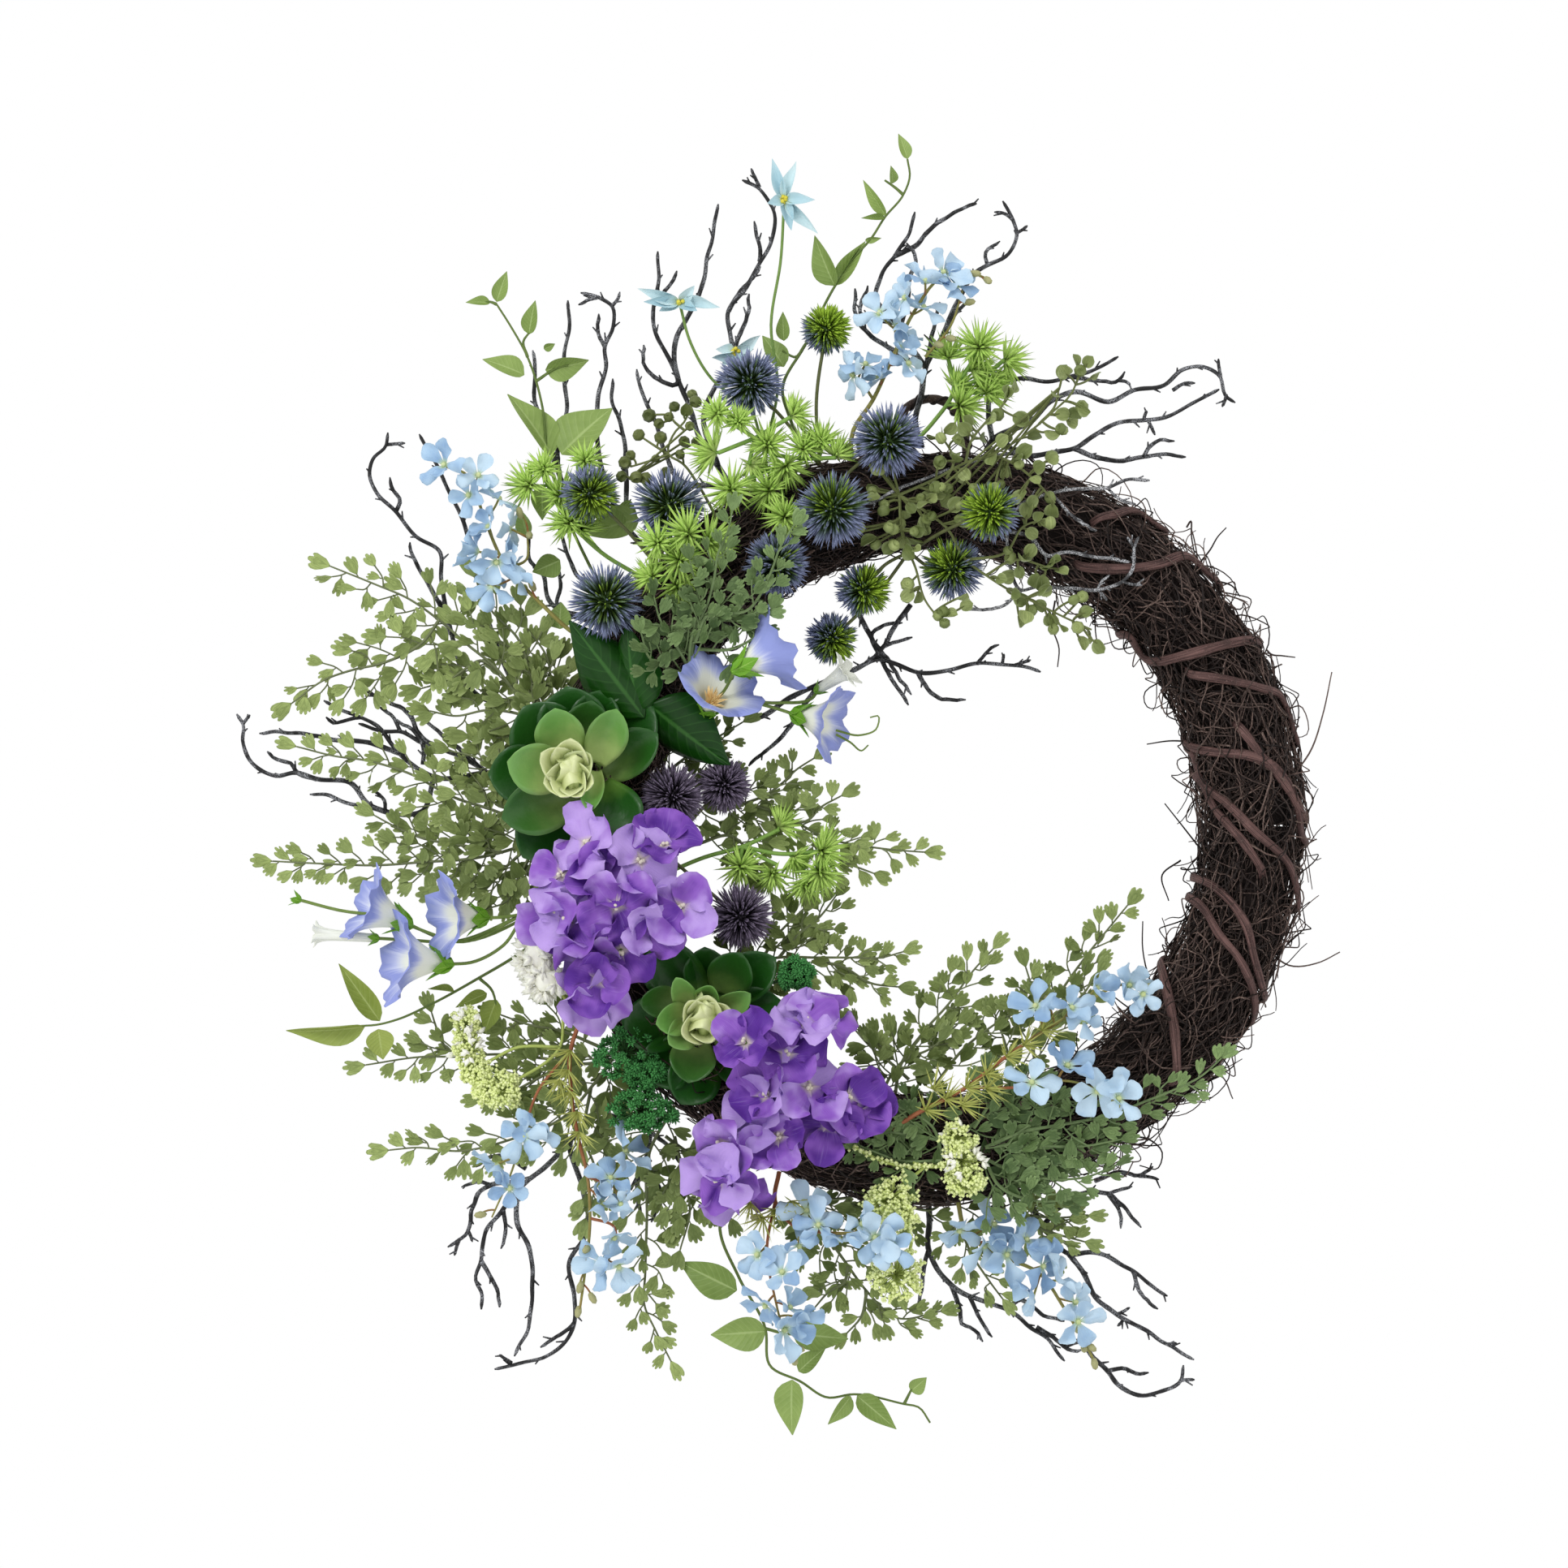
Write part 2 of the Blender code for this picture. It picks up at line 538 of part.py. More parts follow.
def leafy_vines():
    """Thin green vines with single pointed leaves."""
    spray("leafy_vine_top", (996, 576), (28, 22, 400), (
        ((975, 520), (964, 481), (992, 425), (1029, 352), (1074, 293), (1113, 240), (1121, 217), (1118, 200)),
    ), LEAF_GREEN, STEM_RADIUS, STEM_RADIUS * 0.6, (
        leaf((1118, 200), (1109, 165), 6),
        leaf((1074, 293), (1064, 228), 8),
        leaf((1029, 352), (998, 300), 14),
        leaf((1029, 352), (1074, 305), 8),
        leaf((992, 425), (940, 440), 14),
    ))
    spray("leafy_vine_left_top", (758, 759), (22, 20, 400), (
        ((728, 700), (700, 640), (675, 560), (668, 500), (650, 440), (612, 380)),
    ), LEAF_GREEN, STEM_RADIUS, STEM_RADIUS * 0.6, (
        leaf((612, 380), (622, 335), 9),
        leaf((612, 380), (576, 374), 7),
        leaf((650, 440), (655, 370), 9),
        leaf((650, 440), (598, 448), 10),
        leaf((660, 470), (724, 450), 10),
        leaf((672, 560), (635, 485), 18),
        leaf((690, 600), (752, 500), 20),
        leaf((700, 640), (652, 655), 10),
        leaf((728, 700), (662, 712), 14),
    ))
    spray("leafy_vine_bottom", (910, 1420), (38, 44, 400), (
        ((893, 1470), (887, 1514), (910, 1573), (943, 1637), (949, 1683), (986, 1702), (1050, 1718),
         (1114, 1730), (1146, 1752)),
    ), LEAF_GREEN, STEM_RADIUS, STEM_RADIUS * 0.6, (
        leaf((905, 1560), (836, 1560), 18),
        leaf((943, 1637), (878, 1645), 18),
        leaf((943, 1637), (1045, 1650), 16),
        leaf((986, 1702), (1012, 1658), 12),
        leaf((978, 1700), (973, 1768), 15),
        leaf((1050, 1718), (1102, 1760), 12),
        leaf((1050, 1718), (1024, 1755), 9),
        leaf((1114, 1730), (1142, 1700), 10),
    ))
    spray("long_leaf_sprig", (690, 1136), (28, 34, 300), (
        ((640, 1175), (590, 1205), (530, 1238), (462, 1263), (445, 1264)),
        ((590, 1205), (612, 1228), (600, 1262)),
    ), LEAF_GREEN, STEM_RADIUS, STEM_RADIUS * 0.7, (
        leaf((445, 1264), (354, 1276), 11),
        leaf((462, 1263), (420, 1190), 11),
        leaf((468, 1262), (470, 1300), 12),
        leaf((612, 1228), (562, 1240), 7),
    ))
    spray("broad_leaves", (772, 872), (62, 70, 80), (
        ((776, 868), (785, 865)),
    ), GLOSSY_GREEN, STEM_RADIUS * 1.5, STEM_RADIUS * 1.2, (
        leaf((780, 868), (702, 778), 30),
        leaf((782, 868), (893, 942), 30),
    ))


def round_leaf_sprays():
    """Olive sprays with small round leaves and seed heads."""
    spray("round_leaf_spray_right", (1108, 610), (66, 76, 200), (
        ((1153, 590), (1223, 560), (1280, 523), (1319, 487), (1333, 450)),
        ((1153, 590), (1166, 650), (1215, 709), (1274, 742), (1338, 770)),
        ((1223, 560), (1274, 591)),
        ((1215, 709), (1294, 697)),
    ), OLIVE, STEM_RADIUS, STEM_RADIUS * 0.7,
        discs(((1333, 450), (1319, 487), (1280, 523)), 6, 2)
        + discs(((1274, 591), (1294, 697), (1338, 770)), 6, 2))
    spray("seed_spray_left", (884, 640), (50, 50, 200), (
        ((862, 600), (824, 560), (843, 520), (856, 486)),
        ((824, 560), (787, 536)),
        ((824, 560), (777, 570)),
    ), OLIVE, STEM_RADIUS, STEM_RADIUS * 0.7,
        discs(((856, 486), (843, 520), (787, 536), (777, 570), (824, 560)), 6, 2))


def thistles():
    """Globe thistle picks, three heads on each stem."""

    def pick(name, root, root_out, balls):
        shells = []
        for x, y, out, radius in balls:
            foot = seat(*root, root_out)
            bend = foot[1].lerp(spot(x, y, out), 0.5)
            shells.append(tube(foot + [bend, spot(x, y, out)], STEM_RADIUS * 1.2, STEM_RADIUS, 4))
            shells.append(ball(spot(x, y, out), radius * METRES_PER_POINT, 2))
        make(name, shells, THISTLE)

    pick("thistles_left_top", (812, 700), 50, (
        (727, 609, 58, 34), (825, 624, 56, 41), (747, 741, 74, 42)))
    pick("thistles_top", (1010, 574), 40, (
        (1018, 406, 40, 30), (924, 473, 52, 36)))
    pick("thistles_middle", (1000, 640), 60, (
        (1026, 628, 86, 42), (957, 695, 78, 38), (1094, 543, 78, 41)))
    pick("thistles_right", (1120, 680), 54, (
        (1174, 701, 56, 34), (1220, 631, 98, 33), (1064, 727, 58, 30), (1025, 787, 50, 28)))
    pick("thistles_inner", (818, 1050), 50, (
        (829, 982, 62, 36), (892, 968, 52, 31), (912, 1130, 56, 34)))


def succulents():
    """Rosettes of thick leaves, each as one scalloped shape that is thickest at its heart."""
    for name, x, y, radius, out in (
        ("succulent_upper", 708, 955, 100, 74),
        ("succulent_lower", 868, 1255, 92, 74),
    ):
        centre = spot(x, y, out)
        rim = []
        for step in range(2 * ROSETTE_SCALLOPS):
            angle = math.pi * step / ROSETTE_SCALLOPS
            reach = radius * METRES_PER_POINT * (1 if step % 2 else ROSETTE_NOTCH)
            rim.append(centre + Vector((math.cos(angle) * reach, -ROSETTE_LIFT, math.sin(angle) * reach)))
        stalk = tube([seat(x, y, out)[0], centre], ROSETTE_STALK, ROSETTE_STALK, 6)
        make(name, [slab(rim, centre, TO_EYE * ROSETTE_HALF_DEPTH), stalk], SUCCULENT)


HYDRANGEA_UPPER = ((760, 1116, 108), (736, 1207, 98), (716, 1125, 98), (789, 1060, 100), (719, 1040, 98),
                   (830, 1122, 98), (664, 1130, 92), (681, 1082, 92), (813, 1045, 96))
HYDRANGEA_LOWER = ((919, 1285, 112), (969, 1306, 106), (992, 1263, 104), (997, 1339, 106), (1038, 1350, 98),
                   (946, 1350, 106), (905, 1405, 96), (885, 1445, 92), (1012, 1248, 98))


def hydrangeas():
    """Heads of broad-petalled florets round a core that stands on the ring."""
    for name, core, florets in (
        ("hydrangea_upper", (752, 1112, 84), HYDRANGEA_UPPER),
        ("hydrangea_lower", (962, 1355, 84), HYDRANGEA_LOWER),
    ):
        centre = spot(*core)
        shells = [ball(centre, HEAD_CORE_RADIUS), tube([seat(*core)[0], centre], HEAD_STALK, HEAD_STALK, 6)]
        for x, y, out in florets:
            place = spot(x, y, out)
            shells.append(tube([centre, place], FLORET_STALK, FLORET_STALK, 3))
            shells.append(disc(place, FLORET_RADIUS, FLORET_HALF_DEPTH, 6))
        make(name, shells, PURPLE)


def blue_sprays():
    """Delphinium sprays of small five-petalled florets on needle-leaved stems."""

    def blue(name, root, outs, branches, florets, radius=11):
        spray(name, root, outs, branches, SKY_BLUE, STEM_RADIUS, STEM_RADIUS * 0.7,
              discs(florets, radius, 5))

    blue("blue_spray_top", (1048, 562), (44, 48, 200), (
        ((1050, 535), (1076, 492), (1100, 440), (1127, 383), (1163, 340), (1200, 337)),
    ), ((1068, 470), (1098, 445), (1112, 415), (1090, 385), (1127, 380), (1148, 350), (1176, 342)))
    blue("blue_spray_left_top", (736, 798), (36, 42, 200), (
        ((700, 775), (667, 744), (625, 700), (597, 640), (575, 585), (548, 573)),
    ), ((548, 573), (577, 592), (610, 614), (586, 642), (615, 655), (602, 685), (622, 718)))
    blue("blue_spray_bottom_left", (732, 1236), (50, 52, 200), (
        ((714, 1262), (703, 1294), (704, 1348), (712, 1400), (724, 1450), (727, 1501), (719, 1581),
         (714, 1616)),
        ((703, 1294), (661, 1348), (645, 1398), (628, 1450)),
        ((724, 1450), (756, 1458), (765, 1423)),
        ((727, 1501), (755, 1510), (748, 1565)),
    ), ((645, 1398), (666, 1402), (630, 1435), (628, 1460), (765, 1423), (750, 1475), (757, 1502), (748, 1560)))
    blue("blue_spray_bottom", (960, 1444), (54, 84, 120), (
        ((955, 1480), (978, 1510), (1021, 1519), (1070, 1522), (1097, 1538)),
        ((955, 1480), (945, 1540), (955, 1600), (968, 1650), (979, 1678)),
    ), ((995, 1512), (1023, 1520), (1062, 1522), (1097, 1538), (938, 1538), (956, 1585), (968, 1625)))
    blue("blue_spray_bottom_right", (1180, 1479), (40, 48, 200), (
        ((1190, 1518), (1231, 1546), (1282, 1570), (1310, 1610), (1333, 1648), (1349, 1680)),
    ), ((1184, 1518), (1208, 1530), (1233, 1546), (1262, 1558), (1288, 1575), (1315, 1588), (1318, 1618)))
    blue("blue_spray_right", (1100, 1392), (64, 84, 180), (
        ((1120, 1378), (1190, 1340), (1245, 1298), (1290, 1268), (1326, 1245), (1375, 1215)),
        ((1190, 1340), (1250, 1340), (1316, 1332), (1359, 1344)),
    ), ((1395, 1208), (1362, 1216), (1326, 1245), (1286, 1246), (1271, 1336), (1306, 1318), (1350, 1340)))


def morning_glories():
    """Trumpet flowers in threes, with one small white trumpet to each pick."""

    def glory(name, root, root_out, trumpets):
        shells = []
        for stem, base, mouth, radius in trumpets:
            foot = seat(*root, root_out)
            points = foot + [spot(*point) for point in stem] + [spot(*base)]
            shells.append(tube(points, STEM_RADIUS * 1.1, STEM_RADIUS, 4))
            throat = min(TRUMPET_THROAT, radius * MM / 3)
            shells.append(tube([spot(*base), spot(*mouth)], throat, radius * MM, 8))
        make(name, shells, GLORY_BLUE)

    glory("morning_glories_left", (686, 1112), 44, (
        (((650, 1125, 52),), (604, 1133, 60), (548, 1126, 70), 21),
        (((640, 1160, 54), (590, 1178, 60)), (556, 1182, 62), (486, 1180, 70), 21),
        (((650, 1125, 52), (560, 1160, 50), (515, 1135, 52)), (499, 1128, 54), (445, 1116, 60), 18),
        (((650, 1125, 52), (560, 1160, 50)), (462, 1156, 50), (385, 1152, 46), 5),
    ))
    glory("morning_glories_inner", (868, 868), 46, (
        (((900, 850, 66),), (933, 822, 78), (968, 796, 86), 20),
        (((872, 880, 58),), (876, 872, 66), (888, 846, 84), 21),
        (((900, 862, 60), (960, 874, 62)), (981, 882, 64), (1030, 886, 74), 20),
        (((900, 862, 60), (1002, 859, 58)), (1015, 843, 60), (1050, 823, 66), 6),
    ))


def lime_umbels():
    """Lime green sprays that end in small spiky heads."""

    def umbel(name, root, outs, stems, radius=10):
        spray(name, root, outs, stems, LIME, STEM_RADIUS, STEM_RADIUS * 0.8,
              discs([stem[-1] for stem in stems], radius, 6))

    umbel("lime_umbel_right", (1118, 553), (32, 36, 200), (
        ((1150, 520), (1175, 480), (1168, 440)),
        ((1175, 480), (1207, 428)),
        ((1175, 480), (1238, 443)),
        ((1175, 480), (1215, 484)),
    ))
    umbel("lime_umbel_middle", (960, 592), (54, 78, 100), (
        ((950, 560), (930, 540), (884, 512)),
        ((930, 540), (974, 514)),
        ((930, 540), (885, 558)),
        ((930, 540), (923, 572)),
        ((950, 560), (1030, 564)),
    ))
    umbel("lime_umbel_left", (792, 712), (34, 40, 200), (
        ((740, 680), (700, 640), (664, 576)),
        ((740, 680), (702, 645)),
        ((700, 640), (712, 570)),
    ))
    umbel("lime_umbel_front", (866, 716), (62, 90, 80), (
        ((850, 700), (811, 671)),
        ((850, 700), (862, 662)),
        ((850, 700), (812, 716)),
    ), 8)
    umbel("lime_umbel_inner", (816, 1078), (38, 44, 200), (
        ((869, 1056), (915, 1043), (960, 1022)),
        ((915, 1043), (1010, 1049)),
        ((915, 1043), (958, 1066)),
        ((915, 1043), (908, 1072)),
    ))


def star_flowers():
    """Pale aqua stars with six narrow petals on thin stalks."""
    root = (950, 595)
    place = layer(root, 30, 26, 300)
    foot = seat(*root, 30)
    shells = [tube(foot + [place((925, 500)), place((905, 440))], STEM_RADIUS, STEM_RADIUS)]
    shells.append(tube([place((925, 500)), place((950, 400)), place((962, 320)), place((966, 250))],
                       STEM_RADIUS, STEM_RADIUS * 0.8))
    shells.append(tube([place((925, 500)), place((870, 470)), place((850, 420)), place((838, 376))],
                       STEM_RADIUS, STEM_RADIUS * 0.8))
    for x, y, radius, low in ((966, 247, 42, 1.0), (838, 374, 46, 0.35), (903, 434, 30, 0.6)):
        shells.append(star(place((x, y)), radius * METRES_PER_POINT, low))
    make("star_flowers", shells, AQUA)


def tufts():
    """Clusters of tiny florets: one white, the rest yellow-green, and feathery dark green ones."""
    spray("pale_tufts_left", (718, 1222), (38, 42, 200), (
        ((700, 1235), (690, 1290), (622, 1340)),
        ((690, 1290), (640, 1290), (585, 1310), (575, 1270)),
        ((700, 1235), (665, 1188)),
    ), YELLOW_GREEN, STEM_RADIUS, STEM_RADIUS, (
        head((665, 1188), 13, 2), head((622, 1340), 11, 1), head((588, 1318), 10, 1),
        head((575, 1285), 10, 1), head((575, 1262), 8, 1)))
    spray("yellow_tufts_bottom", (1125, 1432), (66, 68, 60), (
        ((1140, 1437), (1160, 1437), (1183, 1432)),
        ((1140, 1437), (1098, 1482)),
        ((1098, 1482), (1123, 1530), (1105, 1570)),
    ), YELLOW_GREEN, STEM_RADIUS, STEM_RADIUS, (
        head((1180, 1410), 10, 1), head((1184, 1432), 12, 1), head((1188, 1456), 10, 1),
        head((1098, 1482), 15, 2), head((1105, 1570), 17, 2)))
    spray("dark_tufts", (800, 1292), (58, 62, 100), (
        ((785, 1312), (775, 1322)),
        ((785, 1312), (795, 1340), (792, 1372)),
    ), DARK_GREEN, STEM_RADIUS, STEM_RADIUS, (head((775, 1320), 14, 2), head((792, 1372), 15, 2)))


for leftover in list(bpy.data.objects):
    bpy.data.objects.remove(leftover)

RING_OBJECT = twig_ring()
RING_SURFACE = BVHTree.FromPolygons(
    [vertex.co for vertex in RING_OBJECT.data.vertices],
    [tuple(face.vertices) for face in RING_OBJECT.data.polygons],
)

bark_vines()
hanging_loop()
twig_sprays()
ferns()
leafy_vines()
round_leaf_sprays()
thistles()
succulents()
hydrangeas()
blue_sprays()
morning_glories()
lime_umbels()
star_flowers()
tufts()
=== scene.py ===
"""The looks of a wildflower and twig wreath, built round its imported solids."""

import math

import bpy
import numpy as np
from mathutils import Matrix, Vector


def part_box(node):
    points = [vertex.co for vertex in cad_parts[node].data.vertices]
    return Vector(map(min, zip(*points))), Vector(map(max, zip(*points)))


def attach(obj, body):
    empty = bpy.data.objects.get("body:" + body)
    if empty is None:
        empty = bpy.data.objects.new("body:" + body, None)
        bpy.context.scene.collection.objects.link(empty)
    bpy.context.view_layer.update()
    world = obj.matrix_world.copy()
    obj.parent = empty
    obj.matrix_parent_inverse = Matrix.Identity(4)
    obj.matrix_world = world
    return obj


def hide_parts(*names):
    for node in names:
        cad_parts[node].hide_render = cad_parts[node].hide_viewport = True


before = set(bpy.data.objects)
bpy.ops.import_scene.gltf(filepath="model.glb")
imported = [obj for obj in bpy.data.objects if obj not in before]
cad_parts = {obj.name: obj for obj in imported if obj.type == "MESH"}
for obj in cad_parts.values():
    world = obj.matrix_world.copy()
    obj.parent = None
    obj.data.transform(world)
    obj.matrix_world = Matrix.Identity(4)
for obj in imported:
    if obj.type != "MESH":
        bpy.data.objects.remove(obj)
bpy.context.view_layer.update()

# The ring: fine dark twigs, bent round and wound about each other into a bundle, over a heart of the same
# twigs, coloured near black as painted shade deep in the bundle. Loose ends and loops stand out of it all
# round, and its back is pressed flat.
MM = 0.001
POINT = 0.0005
EYE_POINT = (966, 966)
NAIL_POINT = (1155, 497)
EYE_DISTANCE = 3.0
RING_LOW, RING_HIGH = (np.array(corner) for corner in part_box("twig_ring"))
BUNDLE_RADIUS = 0.032
BACK_DEPTH = 0.028
RING_RADIUS = (RING_HIGH[0] - RING_LOW[0]) / 2 - BUNDLE_RADIUS
RING_MIDDLE = np.array([(RING_LOW[0] + RING_HIGH[0]) / 2, -BACK_DEPTH, (RING_LOW[2] + RING_HIGH[2]) / 2])
FINE_TWIG_RADIUS = 0.00062
HEART_RADIUS = 0.025
TWIG_WAVE = 0.0018
BARE_SIDE = (-1.35, 1.45)
LOOSE_RISE = (0.003, 0.017)
RELIEF_STRENGTH = 0.6
LOOSE_END_ROUTES = (
    ((1462, 650), (1467, 642), (1468, 660), (1472, 684)),
    ((1478, 694), (1492, 676), (1500, 662), (1511, 650)),
    ((1500, 716), (1518, 722), (1528, 735)),
    ((1560, 800), (1566, 806), (1580, 808), (1596, 810)),
    ((1566, 806), (1568, 824), (1573, 852)),
    ((1590, 960), (1615, 925), (1630, 880), (1641, 828)),
    ((1472, 914), (1440, 913), (1413, 917)),
    ((1490, 1060), (1454, 1014), (1435, 990)),
    ((1450, 1260), (1416, 1205), (1408, 1170), (1408, 1135)),
    ((1560, 1170), (1590, 1190), (1625, 1186), (1651, 1173)),
    ((1300, 740), (1296, 770), (1305, 800), (1303, 822)),
    ((1390, 1400), (1416, 1404), (1432, 1420), (1426, 1440), (1404, 1436)),
    ((1370, 1420), (1362, 1442), (1385, 1450), (1396, 1432)),
    ((1200, 1465), (1218, 1486), (1248, 1482), (1262, 1462)),
    ((1460, 1345), (1482, 1330), (1504, 1326), (1519, 1354)),
    ((1500, 1290), (1520, 1275), (1540, 1268)),
    ((1455, 1060), (1432, 1078), (1440, 1110)),
    ((1590, 960), (1618, 985), (1604, 1010)),
)


class Reading:
    """A number that varies over a surface. Sums, differences and products become Math nodes."""

    def __init__(self, finish, socket):
        self.finish = finish
        self.socket = socket

    def combine(self, operation, first, second):
        return self.finish.node("ShaderNodeMath", {"operation": operation}, {0: first, 1: second})

    def __add__(self, other):
        return self.combine("ADD", self, other)

    def __sub__(self, other):
        return self.combine("SUBTRACT", self, other)

    def __rsub__(self, other):
        return self.combine("SUBTRACT", other, self)

    def __mul__(self, other):
        return self.combine("MULTIPLY", self, other)

    __radd__ = __add__
    __rmul__ = __mul__


class Finish:
    """A surface finish: one Principled shader, and the readings that its colour and relief come from."""

    def __init__(self, name, roughness, shine=0.25):
        self.material = bpy.data.materials.new(name)
        self.material.use_nodes = True
        self.tree = self.material.node_tree
        self.shader = self.tree.nodes["Principled BSDF"]
        self.shader.inputs["Roughness"].default_value = roughness
        self.shader.inputs["Specular IOR Level"].default_value = shine

    def node(self, kind, settings, inputs, output=0):
        made = self.tree.nodes.new(kind)
        for label, value in settings.items():
            setattr(made, label, value)
        for label, value in inputs.items():
            self.feed(made.inputs[label], value)
        return Reading(self, made.outputs[output])

    def feed(self, socket, value):
        if isinstance(value, Reading):
            self.tree.links.new(value.socket, socket)
        elif isinstance(value, tuple):
            socket.default_value = value + (1,) * (len(socket.default_value) - len(value))
        else:
            socket.default_value = value

    def value(self, label):
        """The tone, along or edge value that the mesh carries."""
        return self.node("ShaderNodeAttribute", {"attribute_name": label}, {}, "Fac")

    def noise(self, scale, detail=3):
        """Cloudy noise, scale in lumps to the metre."""
        place = self.node("ShaderNodeTexCoord", {}, {}, "Object")
        return self.node("ShaderNodeTexNoise", {}, {"Vector": place, "Scale": scale, "Detail": detail})

    def streaks(self, across, lengthwise):
        """Noise drawn out along a strip or a petal by its edge and along values; each tone has its own."""
        lines = self.node("ShaderNodeCombineXYZ", {}, {
            0: self.value("edge") * across, 1: self.value("along") * lengthwise, 2: self.value("tone") * 9.0})
        return self.node("ShaderNodeTexNoise", {}, {"Vector": lines, "Scale": 1.0, "Detail": 2.0})

    def window(self, reading, low, high):
        """0 below low and 1 above high, with a soft step between; low may be the larger one."""
        return self.node("ShaderNodeMapRange", {"interpolation_type": "SMOOTHSTEP"},
                         {"Value": reading, "From Min": low, "From Max": high})

    def blend(self, first, second, share):
        """One colour turning into another as share goes from 0 to 1."""
        return self.node("ShaderNodeMix", {"data_type": "RGBA"}, {0: share, 6: first, 7: second}, 2)

    def coat(self, colour, relief=None, depth=0.3):
        """Feeds the shader its colour and a relief, depth millimetres deep."""
        self.feed(self.shader.inputs["Base Color"], colour)
        if relief is not None:
            settings = {"Strength": RELIEF_STRENGTH, "Distance": depth * MM, "Height": relief}
            self.feed(self.shader.inputs["Normal"], self.node("ShaderNodeBump", {}, settings))
        return self.material


class Bunch:
    """Gathers the surfaces of one piece. Each point has a tone, a place along and a nearness to the edge."""

    def __init__(self):
        self.points = []
        self.faces = []
        self.skins = []
        self.values = []
        self.count = 0

    def add(self, points, faces, tone, along, edge, skin=0):
        self.points.append(points)
        self.faces.append(faces + self.count)
        self.skins.append(np.full(len(faces), skin))
        self.values.append(np.stack([tone, along, edge], axis=1))
        self.count += len(points)

    def close(self, caps, count, skin=0):
        """Adds end faces, which join some of the last count points."""
        self.faces.append(caps + self.count - count)
        self.skins.append(np.full(len(caps), skin))

    def make(self, name, *finishes, crease=None):
        """Makes the object; edges that turn by more than crease stay sharp."""
        mesh = bpy.data.meshes.new(name)
        corners = np.concatenate([faces.ravel() for faces in self.faces])
        sizes = np.concatenate([np.full(len(faces), faces.shape[1]) for faces in self.faces])
        mesh.vertices.add(self.count)
        mesh.vertices.foreach_set("co", np.concatenate(self.points).ravel())
        mesh.loops.add(len(corners))
        mesh.loops.foreach_set("vertex_index", corners.astype(np.int32))
        mesh.polygons.add(len(sizes))
        mesh.polygons.foreach_set("loop_start", (np.cumsum(sizes) - sizes).astype(np.int32))
        mesh.polygons.foreach_set("material_index", np.concatenate(self.skins).astype(np.int32))
        mesh.polygons.foreach_set("use_smooth", np.ones(len(sizes), bool))
        mesh.update(calc_edges=True)
        values = np.concatenate(self.values).astype(np.float32)
        for column, label in enumerate(("tone", "along", "edge")):
            mesh.attributes.new(label, "FLOAT", "POINT").data.foreach_set("value", values[:, column].copy())
        if crease:
            mesh.set_sharp_from_angle(angle=crease)
        for finish in finishes:
            mesh.materials.append(finish)
        piece = bpy.data.objects.new(name, mesh)
        bpy.context.scene.collection.objects.link(piece)
        return piece


def settle(piece, node):
    """Fixes a piece to the one body, in place of its solid."""
    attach(piece, "root")
    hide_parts(node)


def spot(points, out):
    """Places, out millimetres from the wall, that show at picture points; one point or a list of them."""
    points = np.asarray(points, float)
    nearness = 1 - (np.asarray(out, float) * MM - BACK_DEPTH) / EYE_DISTANCE
    across = EYE_POINT[0] - NAIL_POINT[0] + (points[..., 0] - EYE_POINT[0]) * nearness
    up = NAIL_POINT[1] - EYE_POINT[1] + (EYE_POINT[1] - points[..., 1]) * nearness
    depth = -np.asarray(out, float) * MM + np.zeros_like(across)
    return np.stack([across * POINT, depth, up * POINT], axis=-1)


def unit(vectors):
    return vectors / np.maximum(np.linalg.norm(vectors, axis=-1, keepdims=True), 1e-9)


def flowing(points, steps):
    """A smooth curve through points, as steps places spread evenly along it."""
    points = np.asarray(points, float)
    gaps = np.maximum(np.linalg.norm(np.diff(points, axis=0), axis=1), 1e-6)
    times = np.concatenate(([0], np.cumsum(gaps)))
    slopes = np.gradient(points, times, axis=0)
    wanted = np.linspace(0, times[-1], steps)
    index = np.clip(np.searchsorted(times, wanted, side="right") - 1, 0, len(gaps) - 1)
    gap = gaps[index][:, None]
    share = (wanted[:, None] - times[index][:, None]) / gap
    start, end = points[index], points[index + 1]
    pull = (slopes[index] * (share - 1) + slopes[index + 1] * share) * gap * share * (share - 1)
    return start + (end - start) * share * share * (3 - 2 * share) + pull


